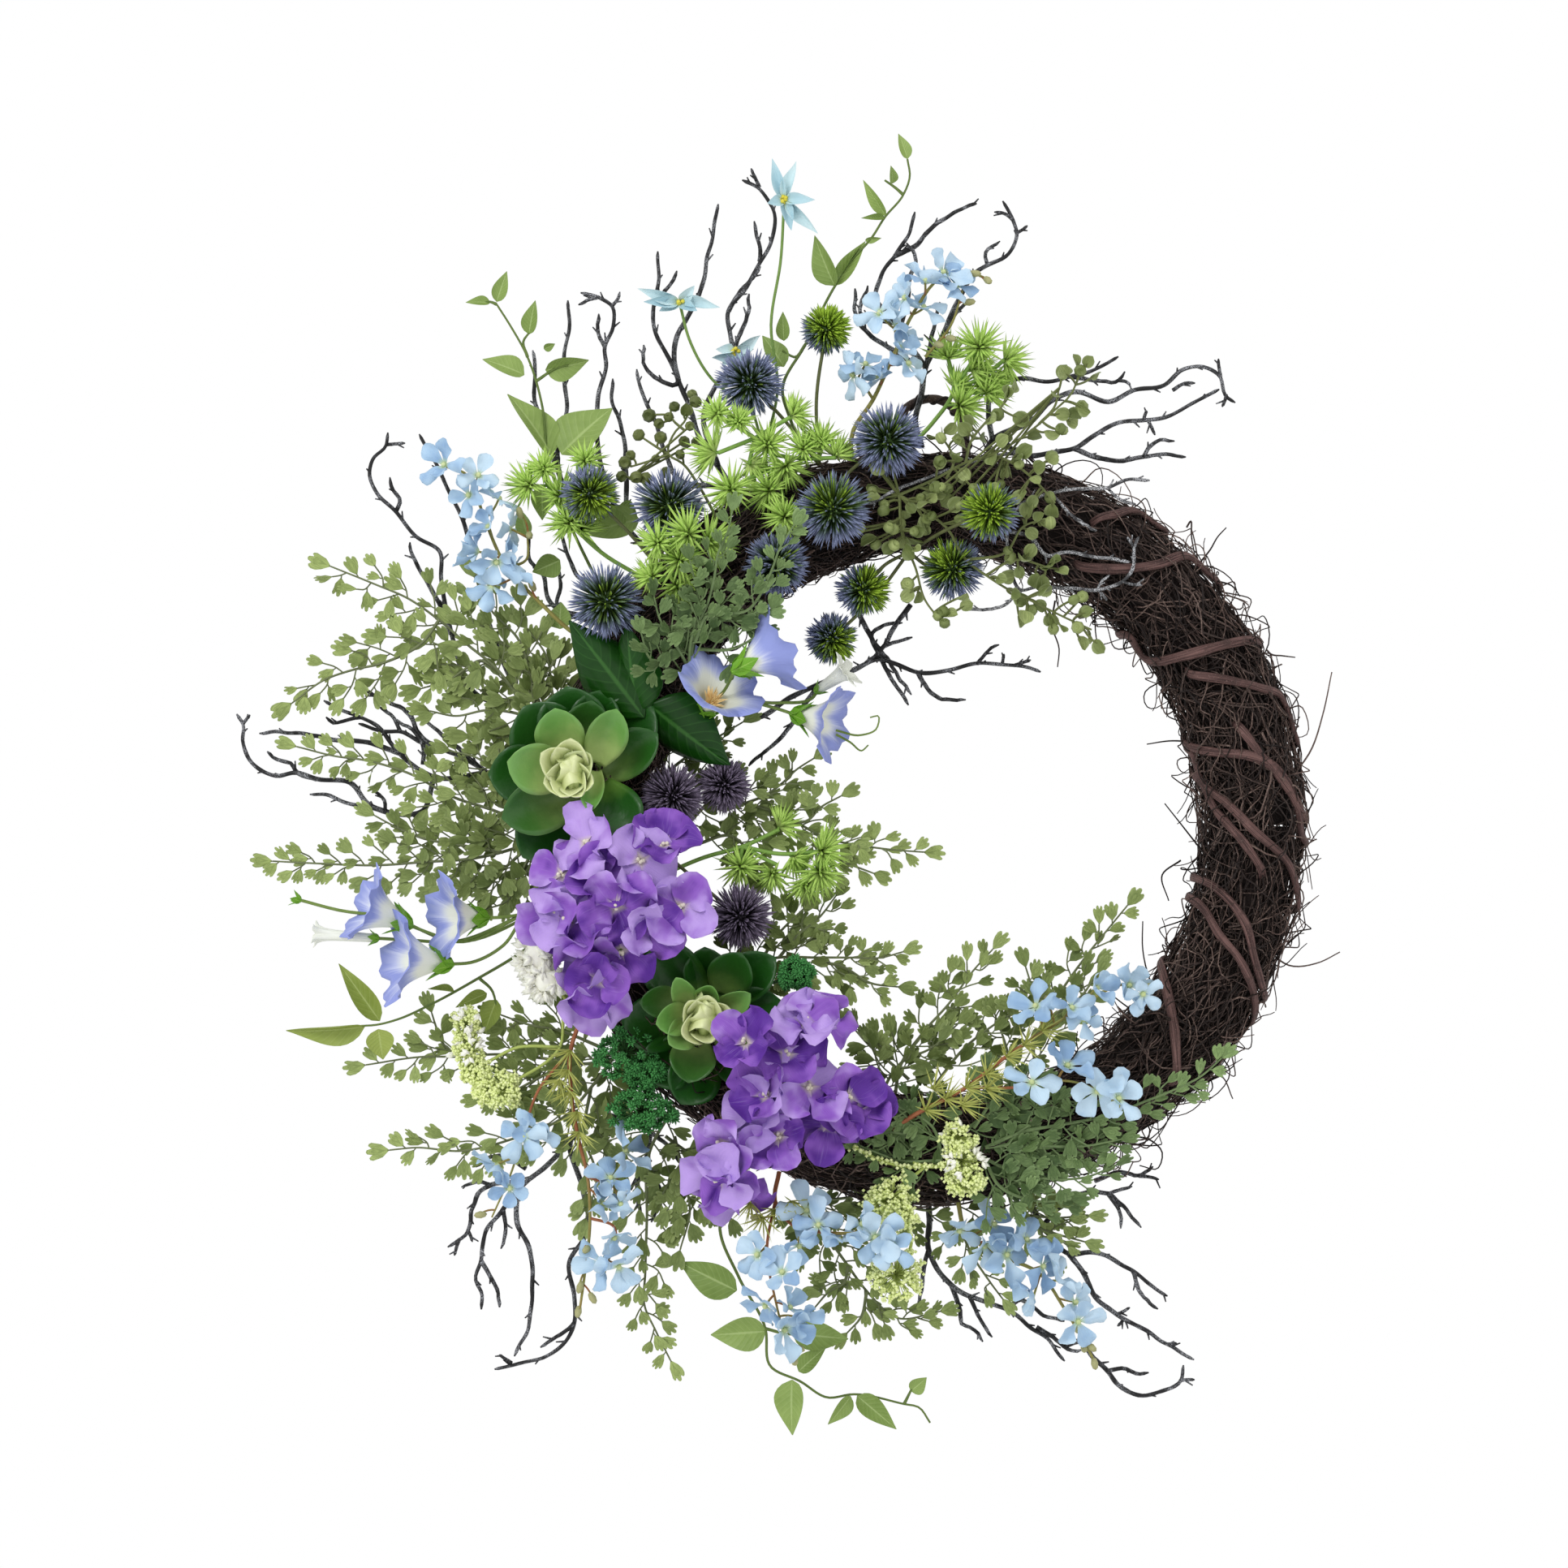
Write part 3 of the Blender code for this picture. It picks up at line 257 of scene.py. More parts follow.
def sticks(bunch, routes, radii, sides, tones, skin=0):
    """Adds round sticks with closed ends: routes (count, steps, 3), radii and tones to match."""
    routes = np.asarray(routes, float)
    count, steps = routes.shape[:2]
    radii = np.broadcast_to(radii, (count, steps))
    ahead = unit(np.gradient(routes, axis=1))
    side = np.cross(ahead, np.array([0.12, 1, 0.07]))
    steep = np.linalg.norm(side, axis=-1, keepdims=True) < 0.25
    side = unit(np.where(steep, np.cross(ahead, np.array([1, 0.1, 0.4])), side))
    other = np.cross(ahead, side)
    turn = math.tau * np.arange(sides) / sides
    rim = side[:, :, None] * np.cos(turn)[:, None] + other[:, :, None] * np.sin(turn)[:, None]
    points = routes[:, :, None] + rim * radii[:, :, None, None]
    first = np.arange(count)[:, None, None] * steps * sides
    lower = np.arange(steps - 1)[None, :, None] * sides
    here = first + lower + np.arange(sides)[None, None]
    after = first + lower + (np.arange(sides)[None, None] + 1) % sides
    quads = np.stack([here, after, after + sides, here + sides], axis=-1).reshape(-1, 4)
    caps = np.concatenate([first[:, 0] + np.arange(sides)[None, ::-1],
                           first[:, 0] + (steps - 1) * sides + np.arange(sides)[None]])
    tone = np.broadcast_to(np.asarray(tones, float).reshape(-1, 1, 1), (count, steps, sides)).ravel()
    along = np.broadcast_to(np.linspace(0, 1, steps)[None, :, None], (count, steps, sides)).ravel()
    edge = np.broadcast_to(turn[None, None] / math.tau, (count, steps, sides)).ravel()
    bunch.add(points.reshape(-1, 3), quads, tone, along, edge, skin)
    bunch.close(caps, len(tone), skin)


def wire(bunch, route, radius, sides, tone, skin=0, taper=(1, 1)):
    """One round stick along a route; taper is the share of its radius at its start and at its end."""
    sticks(bunch, route[None], radius * np.linspace(*taper, len(route)), sides, [tone], skin)


def wander(rng, count, steps, waves):
    """Smooth random paths between about -1 and 1, one row a path."""
    along = np.linspace(0, 1, steps)[None]
    total = np.zeros((count, steps))
    for wave in waves:
        turns = along * wave * rng.uniform(0.6, 1.4, (count, 1)) + rng.random((count, 1))
        total += np.sin(turns * math.tau)
    return total / len(waves)


def on_bundle(turn, lie, deep):
    """Points of the ring: turn goes round the ring, lie round the bundle from its front, and deep is the
    distance from the bundle's middle line."""
    reach = RING_RADIUS + np.sin(lie) * deep
    return RING_MIDDLE + np.stack([np.cos(turn) * reach, -np.cos(lie) * deep, np.sin(turn) * reach], axis=-1)


def clear_of_wall(routes):
    """Presses twigs flat where they would go through the wall."""
    routes[..., 1] = np.minimum(routes[..., 1], -FINE_TWIG_RADIUS)
    return routes


def ring_twigs(rng, count, lengths, depths, slant, curl):
    """A layer of fine twigs that run over the bundle, slantwise to it and each curling to one side."""
    steps = 10
    bunch = Bunch()
    along = np.linspace(0, 1, steps)[None]
    stride = rng.uniform(*lengths, (count, 1)) / steps
    heading = rng.normal(0, slant, (count, 1)) + rng.choice((0, math.pi), (count, 1))
    heading = heading + rng.normal(0, curl, (count, 1)) * along + wander(rng, count, steps, (1, 3)) * 0.45
    turn = rng.random((count, 1)) * math.tau + np.cumsum(np.cos(heading) * stride, axis=1) / RING_RADIUS
    lie = rng.random((count, 1)) * math.tau + np.cumsum(np.sin(heading) * stride, axis=1) / BUNDLE_RADIUS
    swell = 1 + 0.05 * np.sin(turn * 7) + 0.04 * np.sin(turn * 3 + 1)
    deep = rng.uniform(*depths, (count, 1)) * swell + wander(rng, count, steps, (1, 2)) * TWIG_WAVE
    radii = rng.uniform(0.65, 1.35, (count, 1)) * FINE_TWIG_RADIUS * (1.1 - 0.5 * along)
    sticks(bunch, clear_of_wall(on_bundle(turn, lie, deep)), radii, 3, rng.random(count))
    return bunch


def loose_twigs(rng, count):
    """Short ends and loops that leave the bundle, and the long ones that the picture shows."""
    steps = 12
    bunch = Bunch()
    along = np.linspace(0, 1, steps)[None]
    start = rng.uniform(*BARE_SIDE, (count, 1))
    on_bare_side = count * 3 // 4
    start[on_bare_side:] += rng.uniform(1, 5, (count - on_bare_side, 1))
    way = rng.choice((-1, 1), (count, 1))
    turn = start + way * along * rng.uniform(0.04, 0.20, (count, 1)) + wander(rng, count, steps, (1,)) * 0.016
    lie = rng.choice((-1.4, 1.4, 0.8, -0.8), (count, 1)) + rng.normal(0, 0.3, (count, 1)) + along * way * 0.3
    loops = rng.random((count, 1)) >= 0.45
    rise = np.where(loops, np.sin(along * math.pi), along ** 2) * rng.uniform(*LOOSE_RISE, (count, 1))
    routes = on_bundle(turn, lie + wander(rng, count, steps, (1,)) * 0.1, BUNDLE_RADIUS - 0.002 + rise)
    sticks(bunch, clear_of_wall(routes), FINE_TWIG_RADIUS * (1.0 - 0.45 * along), 3, rng.random(count))
    for route in LOOSE_END_ROUTES:
        curve = flowing(spot(route, rng.uniform(26, 44)), 16)
        wire(bunch, curve, FINE_TWIG_RADIUS, 4, rng.random(), taper=(1.0, 0.6))
    return bunch


def ring_heart():
    """The inside of the bundle, as one thick closed ring, whose near-black colour is painted shade."""
    bunch = Bunch()
    turn = np.linspace(0, math.tau, 97)
    sticks(bunch, [on_bundle(turn, turn * 0, turn * 0)], HEART_RADIUS, 14, [0.5])
    return bunch


def twig_finish():
    finish = Finish("fine_twigs", 0.62)
    tone = finish.value("tone")
    # Lighter worn patches on the paler twigs: partly worn bark and partly painted highlights on the strands.
    worn = finish.window(finish.noise(900, 2), 0.45, 0.75)
    dark = finish.blend((0.012, 0.0070, 0.0060), (0.122, 0.078, 0.066), tone * tone)
    colour = finish.blend(dark, (0.260, 0.195, 0.160), worn * tone * tone)
    return finish.coat(colour, relief=finish.noise(2600, 2), depth=0.2)


def heart_shade_finish():
    finish = Finish("ring_heart", 0.95)
    # Near black, darker than the twigs themselves: painted shade deep inside the bundle.
    colour = finish.blend((0.004, 0.003, 0.003), (0.020, 0.013, 0.011), finish.noise(700))
    return finish.coat(colour, relief=finish.noise(500), depth=2.0)


RING_RNG = np.random.default_rng(11)
TWIG_FINISH = twig_finish()
settle(ring_heart().make("ring_heart", heart_shade_finish()), "twig_ring")
for layer_name, layer in (
    ("ring_twigs_under",
     ring_twigs(RING_RNG, 1300, lengths=(0.08, 0.20), depths=(0.0250, 0.0300), slant=0.35, curl=0.5)),
    ("ring_twigs_over",
     ring_twigs(RING_RNG, 2700, lengths=(0.03, 0.10), depths=(0.0286, 0.0328), slant=0.70, curl=1.3)),
    ("ring_loose_ends", loose_twigs(RING_RNG, 560)),
):
    settle(layer.make(layer_name, TWIG_FINISH), "twig_ring")

# The bark vines: flat strips of reddish brown vine, wound slantwise round the bare side of the bundle to bind
# it. Each runs out of sight round both edges of the bundle, or down among its twigs. Four are wide, and
# thinner ones lie beside them.
BARK_HALF_WIDTH = 0.0031
THIN_BARK_HALF_WIDTH = BARK_HALF_WIDTH * 0.85
BARK_HALF_THICKNESS = 0.0016
BARK_LIFT = 0.0016
BARK_STEPS = 60
BARK_SIDES = 14
EVEN_STEPS = (6, 1, 30)
BARK_ROUTES = {
    "bark_vine_1": ((1329, 697), (1366, 702), (1423, 698), (1467, 690), (1499, 711)),
    "bark_vine_2": ((1393, 782), (1407, 808), (1458, 808), (1492, 799), (1539, 790)),
    "bark_vine_3": ((1464, 920), (1501, 927), (1535, 931), (1558, 940), (1580, 962), (1600, 1000)),
    "bark_vine_4": ((1428, 1190), (1441, 1241), (1446, 1290), (1444, 1330)),
}
THIN_BARK_ROUTES = (
    ((1350, 642), (1370, 637), (1407, 633), (1430, 645)),
    ((1467, 831), (1515, 840), (1550, 849), (1577, 861), (1593, 881), (1600, 904)),
    ((1524, 897), (1547, 927), (1574, 961), (1596, 1000), (1600, 1026)),
    ((1469, 927), (1482, 959), (1510, 989), (1547, 1028), (1581, 1060), (1604, 1110)),
    ((1480, 960), (1500, 1000), (1528, 1035), (1550, 1070)),
    ((1500, 1096), (1530, 1135), (1542, 1181), (1552, 1215)),
    ((1484, 1120), (1501, 1152), (1521, 1177), (1535, 1204), (1545, 1250)),
)


def bark_end(last, nearby):
    """Where a strip goes out of sight: round the edge of the bundle, or down among its twigs."""
    way = last - nearby
    if abs(last[1]) > 0.6:
        return [last[0] + np.clip(way[0], -0.03, 0.03), np.sign(last[1]) * 1.9, 0]
    return [last[0] + way[0] * 0.3, last[1] + way[1] * 0.3, -0.007]


def bark_line(route):
    """The middle line of a strip on the bundle, through its picture points, and its ways across and away."""
    flat = spot(route, BACK_DEPTH / MM + 15) - RING_MIDDLE
    turn = np.unwrap(np.arctan2(flat[:, 2], flat[:, 0]))
    reach = np.hypot(flat[:, 0], flat[:, 2]) - RING_RADIUS
    lie = np.arcsin(np.clip(reach / BUNDLE_RADIUS, -0.96, 0.96))
    laid = np.stack([turn, lie, lie * 0], axis=1)
    laid = np.concatenate([[bark_end(laid[0], laid[1])], laid, [bark_end(laid[-1], laid[-2])]])
    turn, lie, sunk = (flowing(laid * EVEN_STEPS, BARK_STEPS) / EVEN_STEPS).T
    middle = on_bundle(turn, lie, BUNDLE_RADIUS + BARK_LIFT + sunk)
    away = unit(middle - on_bundle(turn, lie, 0))
    return middle, unit(np.cross(np.gradient(middle, axis=0), away)), away


def bark_strip(bunch, rng, route, half_width):
    """One strip with a grained face, its section a flat round with blunt edges."""
    middle, across, away = bark_line(route)
    steps, sides = BARK_STEPS, BARK_SIDES
    turns = math.tau * np.arange(sides) / sides
    blunt = np.sign(np.cos(turns)) * np.abs(np.cos(turns)) ** 0.7
    grain = 1 + 0.10 * wander(rng, sides, steps, (2, 5, 9)).T
    width = half_width * (1 + 0.12 * wander(rng, 1, steps, (2, 4))[0])[:, None]
    rim = (across[:, None] * (blunt * width)[..., None]
           + away[:, None] * (np.sin(turns) * BARK_HALF_THICKNESS * grain)[..., None])
    here = np.arange(steps - 1)[:, None] * sides + np.arange(sides)
    after = np.arange(steps - 1)[:, None] * sides + (np.arange(sides) + 1) % sides
    quads = np.stack([here, here + sides, after + sides, after], axis=-1).reshape(-1, 4)
    caps = np.stack([np.arange(sides), (steps - 1) * sides + np.arange(sides)[::-1]])
    tone = np.full(steps * sides, rng.random())
    along = np.repeat(np.linspace(0, 1, steps), sides)
    bunch.add((middle[:, None] + rim).reshape(-1, 3), quads, tone, along, np.tile(turns / math.tau, steps))
    bunch.close(caps, len(tone))


def bark_finish():
    """Furrowed along its length, with dark patches and small worn spots."""
    finish = Finish("vine_bark", 0.72)
    furrow = finish.streaks(34, 5)
    colour = finish.blend((0.030, 0.014, 0.013), (0.165, 0.090, 0.081), finish.window(furrow, 0.3, 0.72))
    patches = finish.window(finish.noise(160, 4), 0.50, 0.70) * 0.8
    worn = finish.window(finish.noise(1300, 2), 0.58, 0.8) * 0.7
    colour = finish.blend(finish.blend(colour, (0.050, 0.028, 0.025), patches), (0.25, 0.165, 0.145), worn)
    return finish.coat(colour, relief=furrow + finish.noise(1500) * 0.6, depth=0.9)


BARK_FINISH = bark_finish()
BARK_RNG = np.random.default_rng(5)
for bark_name, bark_route in BARK_ROUTES.items():
    bark = Bunch()
    bark_strip(bark, BARK_RNG, bark_route, BARK_HALF_WIDTH)
    settle(bark.make(bark_name + "_bark", BARK_FINISH), bark_name)
thin_bark = Bunch()
for bark_route in THIN_BARK_ROUTES:
    bark_strip(thin_bark, BARK_RNG, bark_route, THIN_BARK_HALF_WIDTH)
thin_bark = thin_bark.make("thin_bark_vines", BARK_FINISH)
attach(thin_bark, "root")

# The hanging loop: a bow of dark round vine, its ends pushed into the top of the ring. A second, much thinner
# vine winds round it.
LOOP_RADIUS = 0.0026
LOOP_OUT = 7
LOOP_STEPS = 60
LOOP_WINDINGS = 7
LOOP_ROUTE = ((1114, 575), (1117, 540), (1117, 502), (1132, 494), (1155, 492), (1175, 504), (1189, 523),
              (1190, 545), (1192, 580))


def loop_vine(rng):
    bunch = Bunch()
    curve = flowing(spot(LOOP_ROUTE, LOOP_OUT), LOOP_STEPS)
    radii = LOOP_RADIUS * (1 + 0.08 * wander(rng, 1, LOOP_STEPS, (3, 7)))
    sticks(bunch, curve[None], radii, 10, [0.6])
    side = unit(np.cross(unit(np.gradient(curve, axis=0)), (0, 1, 0)))
    turns = np.linspace(0, LOOP_WINDINGS * math.tau, LOOP_STEPS)[:, None]
    wound = curve + (side * np.cos(turns) + np.array([0, 1, 0]) * np.sin(turns)) * LOOP_RADIUS * 1.25
    wire(bunch, flowing(wound, 150), FINE_TWIG_RADIUS * 1.4, 5, 0.2)
    return bunch


settle(loop_vine(np.random.default_rng(3)).make("loop_vine", TWIG_FINISH), "hanging_loop")

# The bare twig sprays: moulded near-black twigs with forked tips, short spurs and silver paint brushed over
# their high spots. Their roots are pushed into the ring. Each has its root, how far out its root and tips
# stand with the distance between them, and its branches.
SPRAY_RADIUS = 0.0020
SPRAY_TIP_RADIUS = 0.0011
SPUR_EVERY = 8
TWIG_SPRAYS = {
    "twig_spray_left": ((681, 972), (12, 9, 400), (
        ((681, 972), (640, 962), (600, 952), (573, 929), (548, 909), (540, 901), (516, 881)),
        ((600, 952), (586, 942), (548, 924), (517, 914), (494, 902), (471, 901), (441, 891)),
        ((548, 924), (520, 909), (502, 878), (469, 860), (438, 845)),
        ((600, 952), (535, 957), (492, 928), (481, 914), (469, 899), (443, 883), (415, 873), (400, 863)),
        ((535, 957), (520, 999), (484, 1003), (469, 999), (446, 993), (423, 987), (400, 979), (381, 979)),
        ((484, 1003), (453, 990), (433, 965), (390, 960), (364, 952), (339, 955), (309, 938), (299, 914),
         (300, 891), (291, 879)),
        ((300, 891), (304, 886), (308, 881)),
        ((443, 883), (424, 888), (411, 891), (402, 883)),
        ((390, 960), (365, 951), (359, 941), (341, 936), (328, 925)),
        ((492, 928), (450, 914), (402, 910), (387, 906), (349, 902), (318, 904)),
        ((475, 1001), (473, 985), (459, 973)),
        ((493, 901), (484, 883), (467, 871)),
        ((521, 942), (522, 922), (510, 901), (488, 887)),
        ((640, 962), (655, 905), (660, 861), (625, 865), (597, 862), (572, 838), (563, 806), (556, 781),
         (544, 713), (542, 680), (513, 661), (488, 630), (465, 609), (455, 584), (460, 564), (476, 548),
         (478, 532)),
        ((476, 548), (488, 547), (499, 546)),
        ((488, 630), (493, 618), (481, 597), (481, 588)),
        ((556, 781), (541, 744), (520, 706), (507, 682), (506, 667)),
        ((640, 862), (610, 790), (585, 700), (569, 637), (545, 590), (530, 559), (518, 534)),
    )),
    "twig_spray_top_left": ((809, 693), (10, 8, 400), (
        ((809, 693), (770, 650), (712, 620), (690, 587), (690, 533), (699, 500), (695, 469), (697, 432),
         (702, 396), (700, 370)),
        ((770, 650), (748, 600), (740, 570), (735, 520), (737, 488), (747, 452), (745, 427), (756, 404),
         (755, 376), (738, 366), (714, 362)),
        ((738, 366), (724, 370), (713, 376)),
        ((755, 376), (761, 369), (764, 360)),
        ((745, 427), (737, 410), (738, 387)),
        ((690, 587), (668, 520), (657, 483), (660, 460), (657, 432)),
        ((700, 640), (688, 556), (690, 533)),
        ((770, 650), (772, 590), (766, 528), (755, 494), (755, 466)),
        ((790, 720), (712, 710), (695, 668), (684, 640)),
        ((760, 760), (687, 744), (691, 719), (684, 694)),
        ((740, 770), (677, 741), (669, 708), (653, 691), (653, 657)),
    )),
    "twig_spray_top": ((912, 614), (12, 9, 300), (
        ((912, 614), (885, 575), (862, 539), (853, 511), (836, 469), (820, 432), (806, 404), (806, 376),
         (811, 340), (811, 310)),
        ((806, 376), (818, 360), (828, 348), (834, 334)),
        ((885, 600), (834, 589), (820, 558), (806, 516), (789, 480), (786, 455)),
        ((836, 469), (834, 473), (814, 469), (794, 449), (793, 425)),
        ((836, 469), (831, 446), (834, 415), (848, 390), (864, 356), (871, 320), (880, 285), (884, 252)),
        ((885, 575), (867, 511), (881, 477), (904, 443), (900, 413), (898, 383), (919, 355), (936, 324),
         (949, 301), (954, 268), (947, 248), (936, 231), (914, 222)),
        ((898, 383), (908, 365), (915, 356), (928, 342), (937, 328)),
        ((904, 443), (909, 418), (921, 390), (923, 362)),
        ((936, 322), (937, 307), (932, 290), (930, 273)),
        ((936, 231), (930, 218), (925, 207)),
    )),
    "twig_spray_top_right": ((1136, 552), (17, 12, 300), (
        ((1136, 552), (1128, 518), (1135, 487), (1141, 453), (1161, 414), (1180, 370), (1205, 335),
         (1217, 327), (1242, 313), (1253, 287), (1248, 271), (1235, 248)),
        ((1248, 271), (1240, 264), (1225, 261)),
        ((1253, 287), (1260, 283), (1266, 278)),
        ((1141, 453), (1125, 430), (1110, 400), (1079, 366), (1085, 341), (1102, 316), (1124, 279),
         (1127, 262)),
        ((1102, 316), (1130, 301), (1144, 285), (1172, 264), (1204, 250)),
        ((1110, 400), (1118, 370), (1121, 344), (1128, 318), (1118, 299)),
        ((1217, 327), (1214, 313), (1232, 297)),
        ((1141, 453), (1149, 411), (1158, 372)),
        ((1121, 445), (1054, 388), (1055, 355)),
        ((1161, 414), (1172, 394), (1194, 369)),
        ((1110, 400), (1060, 383), (1069, 353)),
    )),
    "twig_spray_right": ((1215, 556), (16, 12, 300), (
        ((1215, 556), (1223, 542), (1246, 530), (1268, 521), (1294, 495), (1322, 483), (1367, 495),
         (1397, 481), (1434, 474), (1456, 457), (1484, 452), (1504, 464), (1511, 487), (1522, 495)),
        ((1504, 464), (1502, 452), (1501, 442)),
        ((1511, 487), (1509, 494), (1506, 501)),
        ((1223, 542), (1218, 510), (1223, 480), (1257, 467), (1291, 470), (1319, 464), (1347, 456),
         (1378, 441)),
        ((1319, 464), (1352, 469), (1378, 469), (1385, 459)),
        ((1378, 469), (1386, 470), (1393, 474)),
        ((1235, 540), (1251, 558), (1302, 557), (1324, 553), (1347, 537), (1378, 521), (1409, 518),
         (1437, 514), (1470, 497), (1504, 478)),
        ((1324, 553), (1352, 564), (1378, 568), (1409, 563), (1442, 560), (1461, 563)),
        ((1409, 563), (1417, 550), (1431, 542), (1447, 544)),
        ((1409, 518), (1411, 511), (1413, 506)),
        ((1414, 517), (1419, 527), (1423, 536)),
        ((1445, 481), (1458, 473), (1473, 472)),
    )),
    "twig_spray_front": ((1240, 655), (62, 66, 160), (
        ((1240, 655), (1268, 660), (1291, 685), (1310, 681), (1352, 686), (1392, 692)),
        ((1240, 655), (1260, 620), (1296, 608), (1322, 603), (1364, 601), (1383, 592), (1417, 591)),
        ((1364, 601), (1381, 616), (1400, 622)),
        ((1296, 608), (1308, 622), (1324, 638), (1350, 654)),
        ((1240, 655), (1245, 700), (1257, 727), (1280, 723), (1319, 725), (1352, 727), (1383, 717),
         (1395, 703), (1397, 675), (1403, 661)),
        ((1397, 675), (1393, 668), (1389, 662)),
        ((1352, 727), (1360, 734), (1364, 740)),
        ((1352, 727), (1357, 717), (1367, 709)),
        ((1383, 717), (1395, 720), (1407, 721)),
        ((1257, 727), (1235, 747), (1218, 751), (1184, 748)),
        ((1262, 556), (1225, 562), (1174, 577), (1118, 598), (1070, 622)),
    )),
    "twig_spray_inner": ((862, 842), (14, 12, 400), (
        ((862, 842), (900, 872), (931, 884), (974, 859), (1010, 843), (1048, 828), (1086, 813), (1100, 818),
         (1131, 829), (1170, 826), (1204, 818), (1235, 818), (1263, 821), (1281, 828)),
        ((1204, 818), (1214, 806), (1222, 798), (1231, 794)),
        ((1235, 818), (1236, 812), (1237, 806)),
        ((1250, 820), (1262, 816), (1270, 813)),
        ((1086, 813), (1101, 841), (1112, 856), (1119, 869)),
        ((1131, 829), (1137, 840), (1158, 861), (1175, 862), (1190, 862)),
        ((1086, 813), (1086, 800), (1105, 791), (1124, 785)),
        ((1010, 843), (990, 870), (974, 894), (953, 917), (923, 943)),
        ((1086, 813), (1075, 780), (1090, 770), (1112, 768)),
        ((1056, 752), (1075, 788), (1089, 807), (1105, 830), (1122, 856)),
        ((1122, 745), (1101, 774), (1092, 791), (1070, 815), (1036, 832)),
    )),
    "twig_spray_bottom_left": ((794, 1325), (9, 9, 400), (
        ((794, 1325), (740, 1370), (704, 1404), (719, 1468), (724, 1514), (700, 1560), (708, 1597),
         (708, 1629), (697, 1653), (673, 1673), (640, 1679), (610, 1687)),
        ((630, 1679), (622, 1674), (615, 1669)),
        ((704, 1404), (677, 1433), (648, 1457), (617, 1493), (598, 1517), (593, 1554), (587, 1573),
         (593, 1597), (593, 1613)),
        ((593, 1554), (606, 1576), (614, 1594), (615, 1611)),
        ((637, 1465), (638, 1509), (652, 1538), (656, 1568), (656, 1597), (652, 1629), (633, 1672)),
        ((648, 1457), (605, 1460), (594, 1465), (582, 1490), (577, 1517), (551, 1538)),
        ((577, 1517), (580, 1523), (582, 1530)),
        ((566, 1527), (562, 1538), (560, 1547)),
        ((620, 1490), (623, 1517), (618, 1538)),
        ((605, 1460), (590, 1456), (569, 1463)),
        ((648, 1440), (620, 1424), (605, 1425), (586, 1439)),
        ((708, 1629), (705, 1633), (684, 1648), (666, 1660)),
        ((740, 1370), (801, 1394), (823, 1412), (839, 1436)),
        ((801, 1394), (799, 1434), (814, 1471), (803, 1506)),
        ((799, 1420), (786, 1455), (790, 1509)),
        ((799, 1425), (785, 1450), (777, 1466)),
    )),
    "twig_spray_bottom": ((1144, 1482), (10, 10, 400), (
        ((1144, 1482), (1145, 1503), (1144, 1540), (1154, 1562), (1172, 1583), (1207, 1602), (1239, 1613),
         (1266, 1632), (1293, 1653), (1312, 1678)),
        ((1144, 1540), (1141, 1549), (1135, 1591), (1131, 1613)),
        ((1172, 1583), (1183, 1616), (1184, 1629), (1202, 1640), (1211, 1652)),
        ((1195, 1598), (1207, 1624), (1222, 1648)),
        ((1242, 1613), (1255, 1602), (1287, 1621), (1312, 1628)),
        ((1277, 1635), (1298, 1648), (1320, 1664), (1333, 1664)),
        ((1312, 1658), (1333, 1653), (1346, 1672), (1365, 1689), (1379, 1707), (1413, 1720), (1435, 1713),
         (1454, 1701), (1459, 1681)),
        ((1454, 1701), (1463, 1700), (1472, 1700)),
        ((1365, 1689), (1384, 1686), (1403, 1693), (1416, 1691)),
    )),
    "twig_spray_bottom_right": ((1262, 1466), (16, 16, 400), (
        ((1262, 1466), (1285, 1510), (1317, 1545), (1352, 1543), (1376, 1554), (1397, 1567), (1424, 1589),
         (1439, 1597)),
        ((1397, 1567), (1403, 1589), (1416, 1605), (1427, 1613)),
        ((1317, 1545), (1336, 1570), (1349, 1597), (1376, 1620), (1408, 1637), (1437, 1656), (1471, 1674)),
        ((1376, 1620), (1384, 1616), (1392, 1611)),
        ((1385, 1625), (1381, 1630), (1377, 1634)),
        ((1437, 1656), (1444, 1656), (1450, 1655)),
        ((1285, 1510), (1320, 1475), (1349, 1468), (1365, 1471), (1395, 1500), (1405, 1512)),
        ((1365, 1471), (1380, 1466), (1395, 1462)),
        ((1349, 1455), (1384, 1444), (1403, 1449), (1421, 1437)),
        ((1403, 1449), (1416, 1450), (1428, 1453)),
        ((1365, 1471), (1380, 1494), (1381, 1513)),
    )),
}


def leaning(root, outs):
    """Turns picture points into places on a pick that leans out from its root to its tips."""
    root_out, tip_out, reach = outs

    def place(points, lift=0.0):
        points = np.asarray(points, float)
        away = np.hypot(points[..., 0] - root[0], points[..., 1] - root[1])
        return spot(points, root_out + (tip_out - root_out) * np.minimum(1, away / reach) + lift)

    return place


def route_length(points):
    return sum(math.dist(a, b) for a, b in zip(points, points[1:]))


def spur(rng, points, index):
    """A short stub that leaves a twig slantwise, as picture points."""
    ahead = points[min(index + 1, len(points) - 1)] - points[index - 1]
    slant = math.atan2(ahead[1], ahead[0]) + rng.choice((-1, 1)) * rng.uniform(0.5, 0.9)
    reach = rng.uniform(5, 13)
    return np.linspace(points[index], points[index] + reach * np.array([math.cos(slant), math.sin(slant)]), 4)


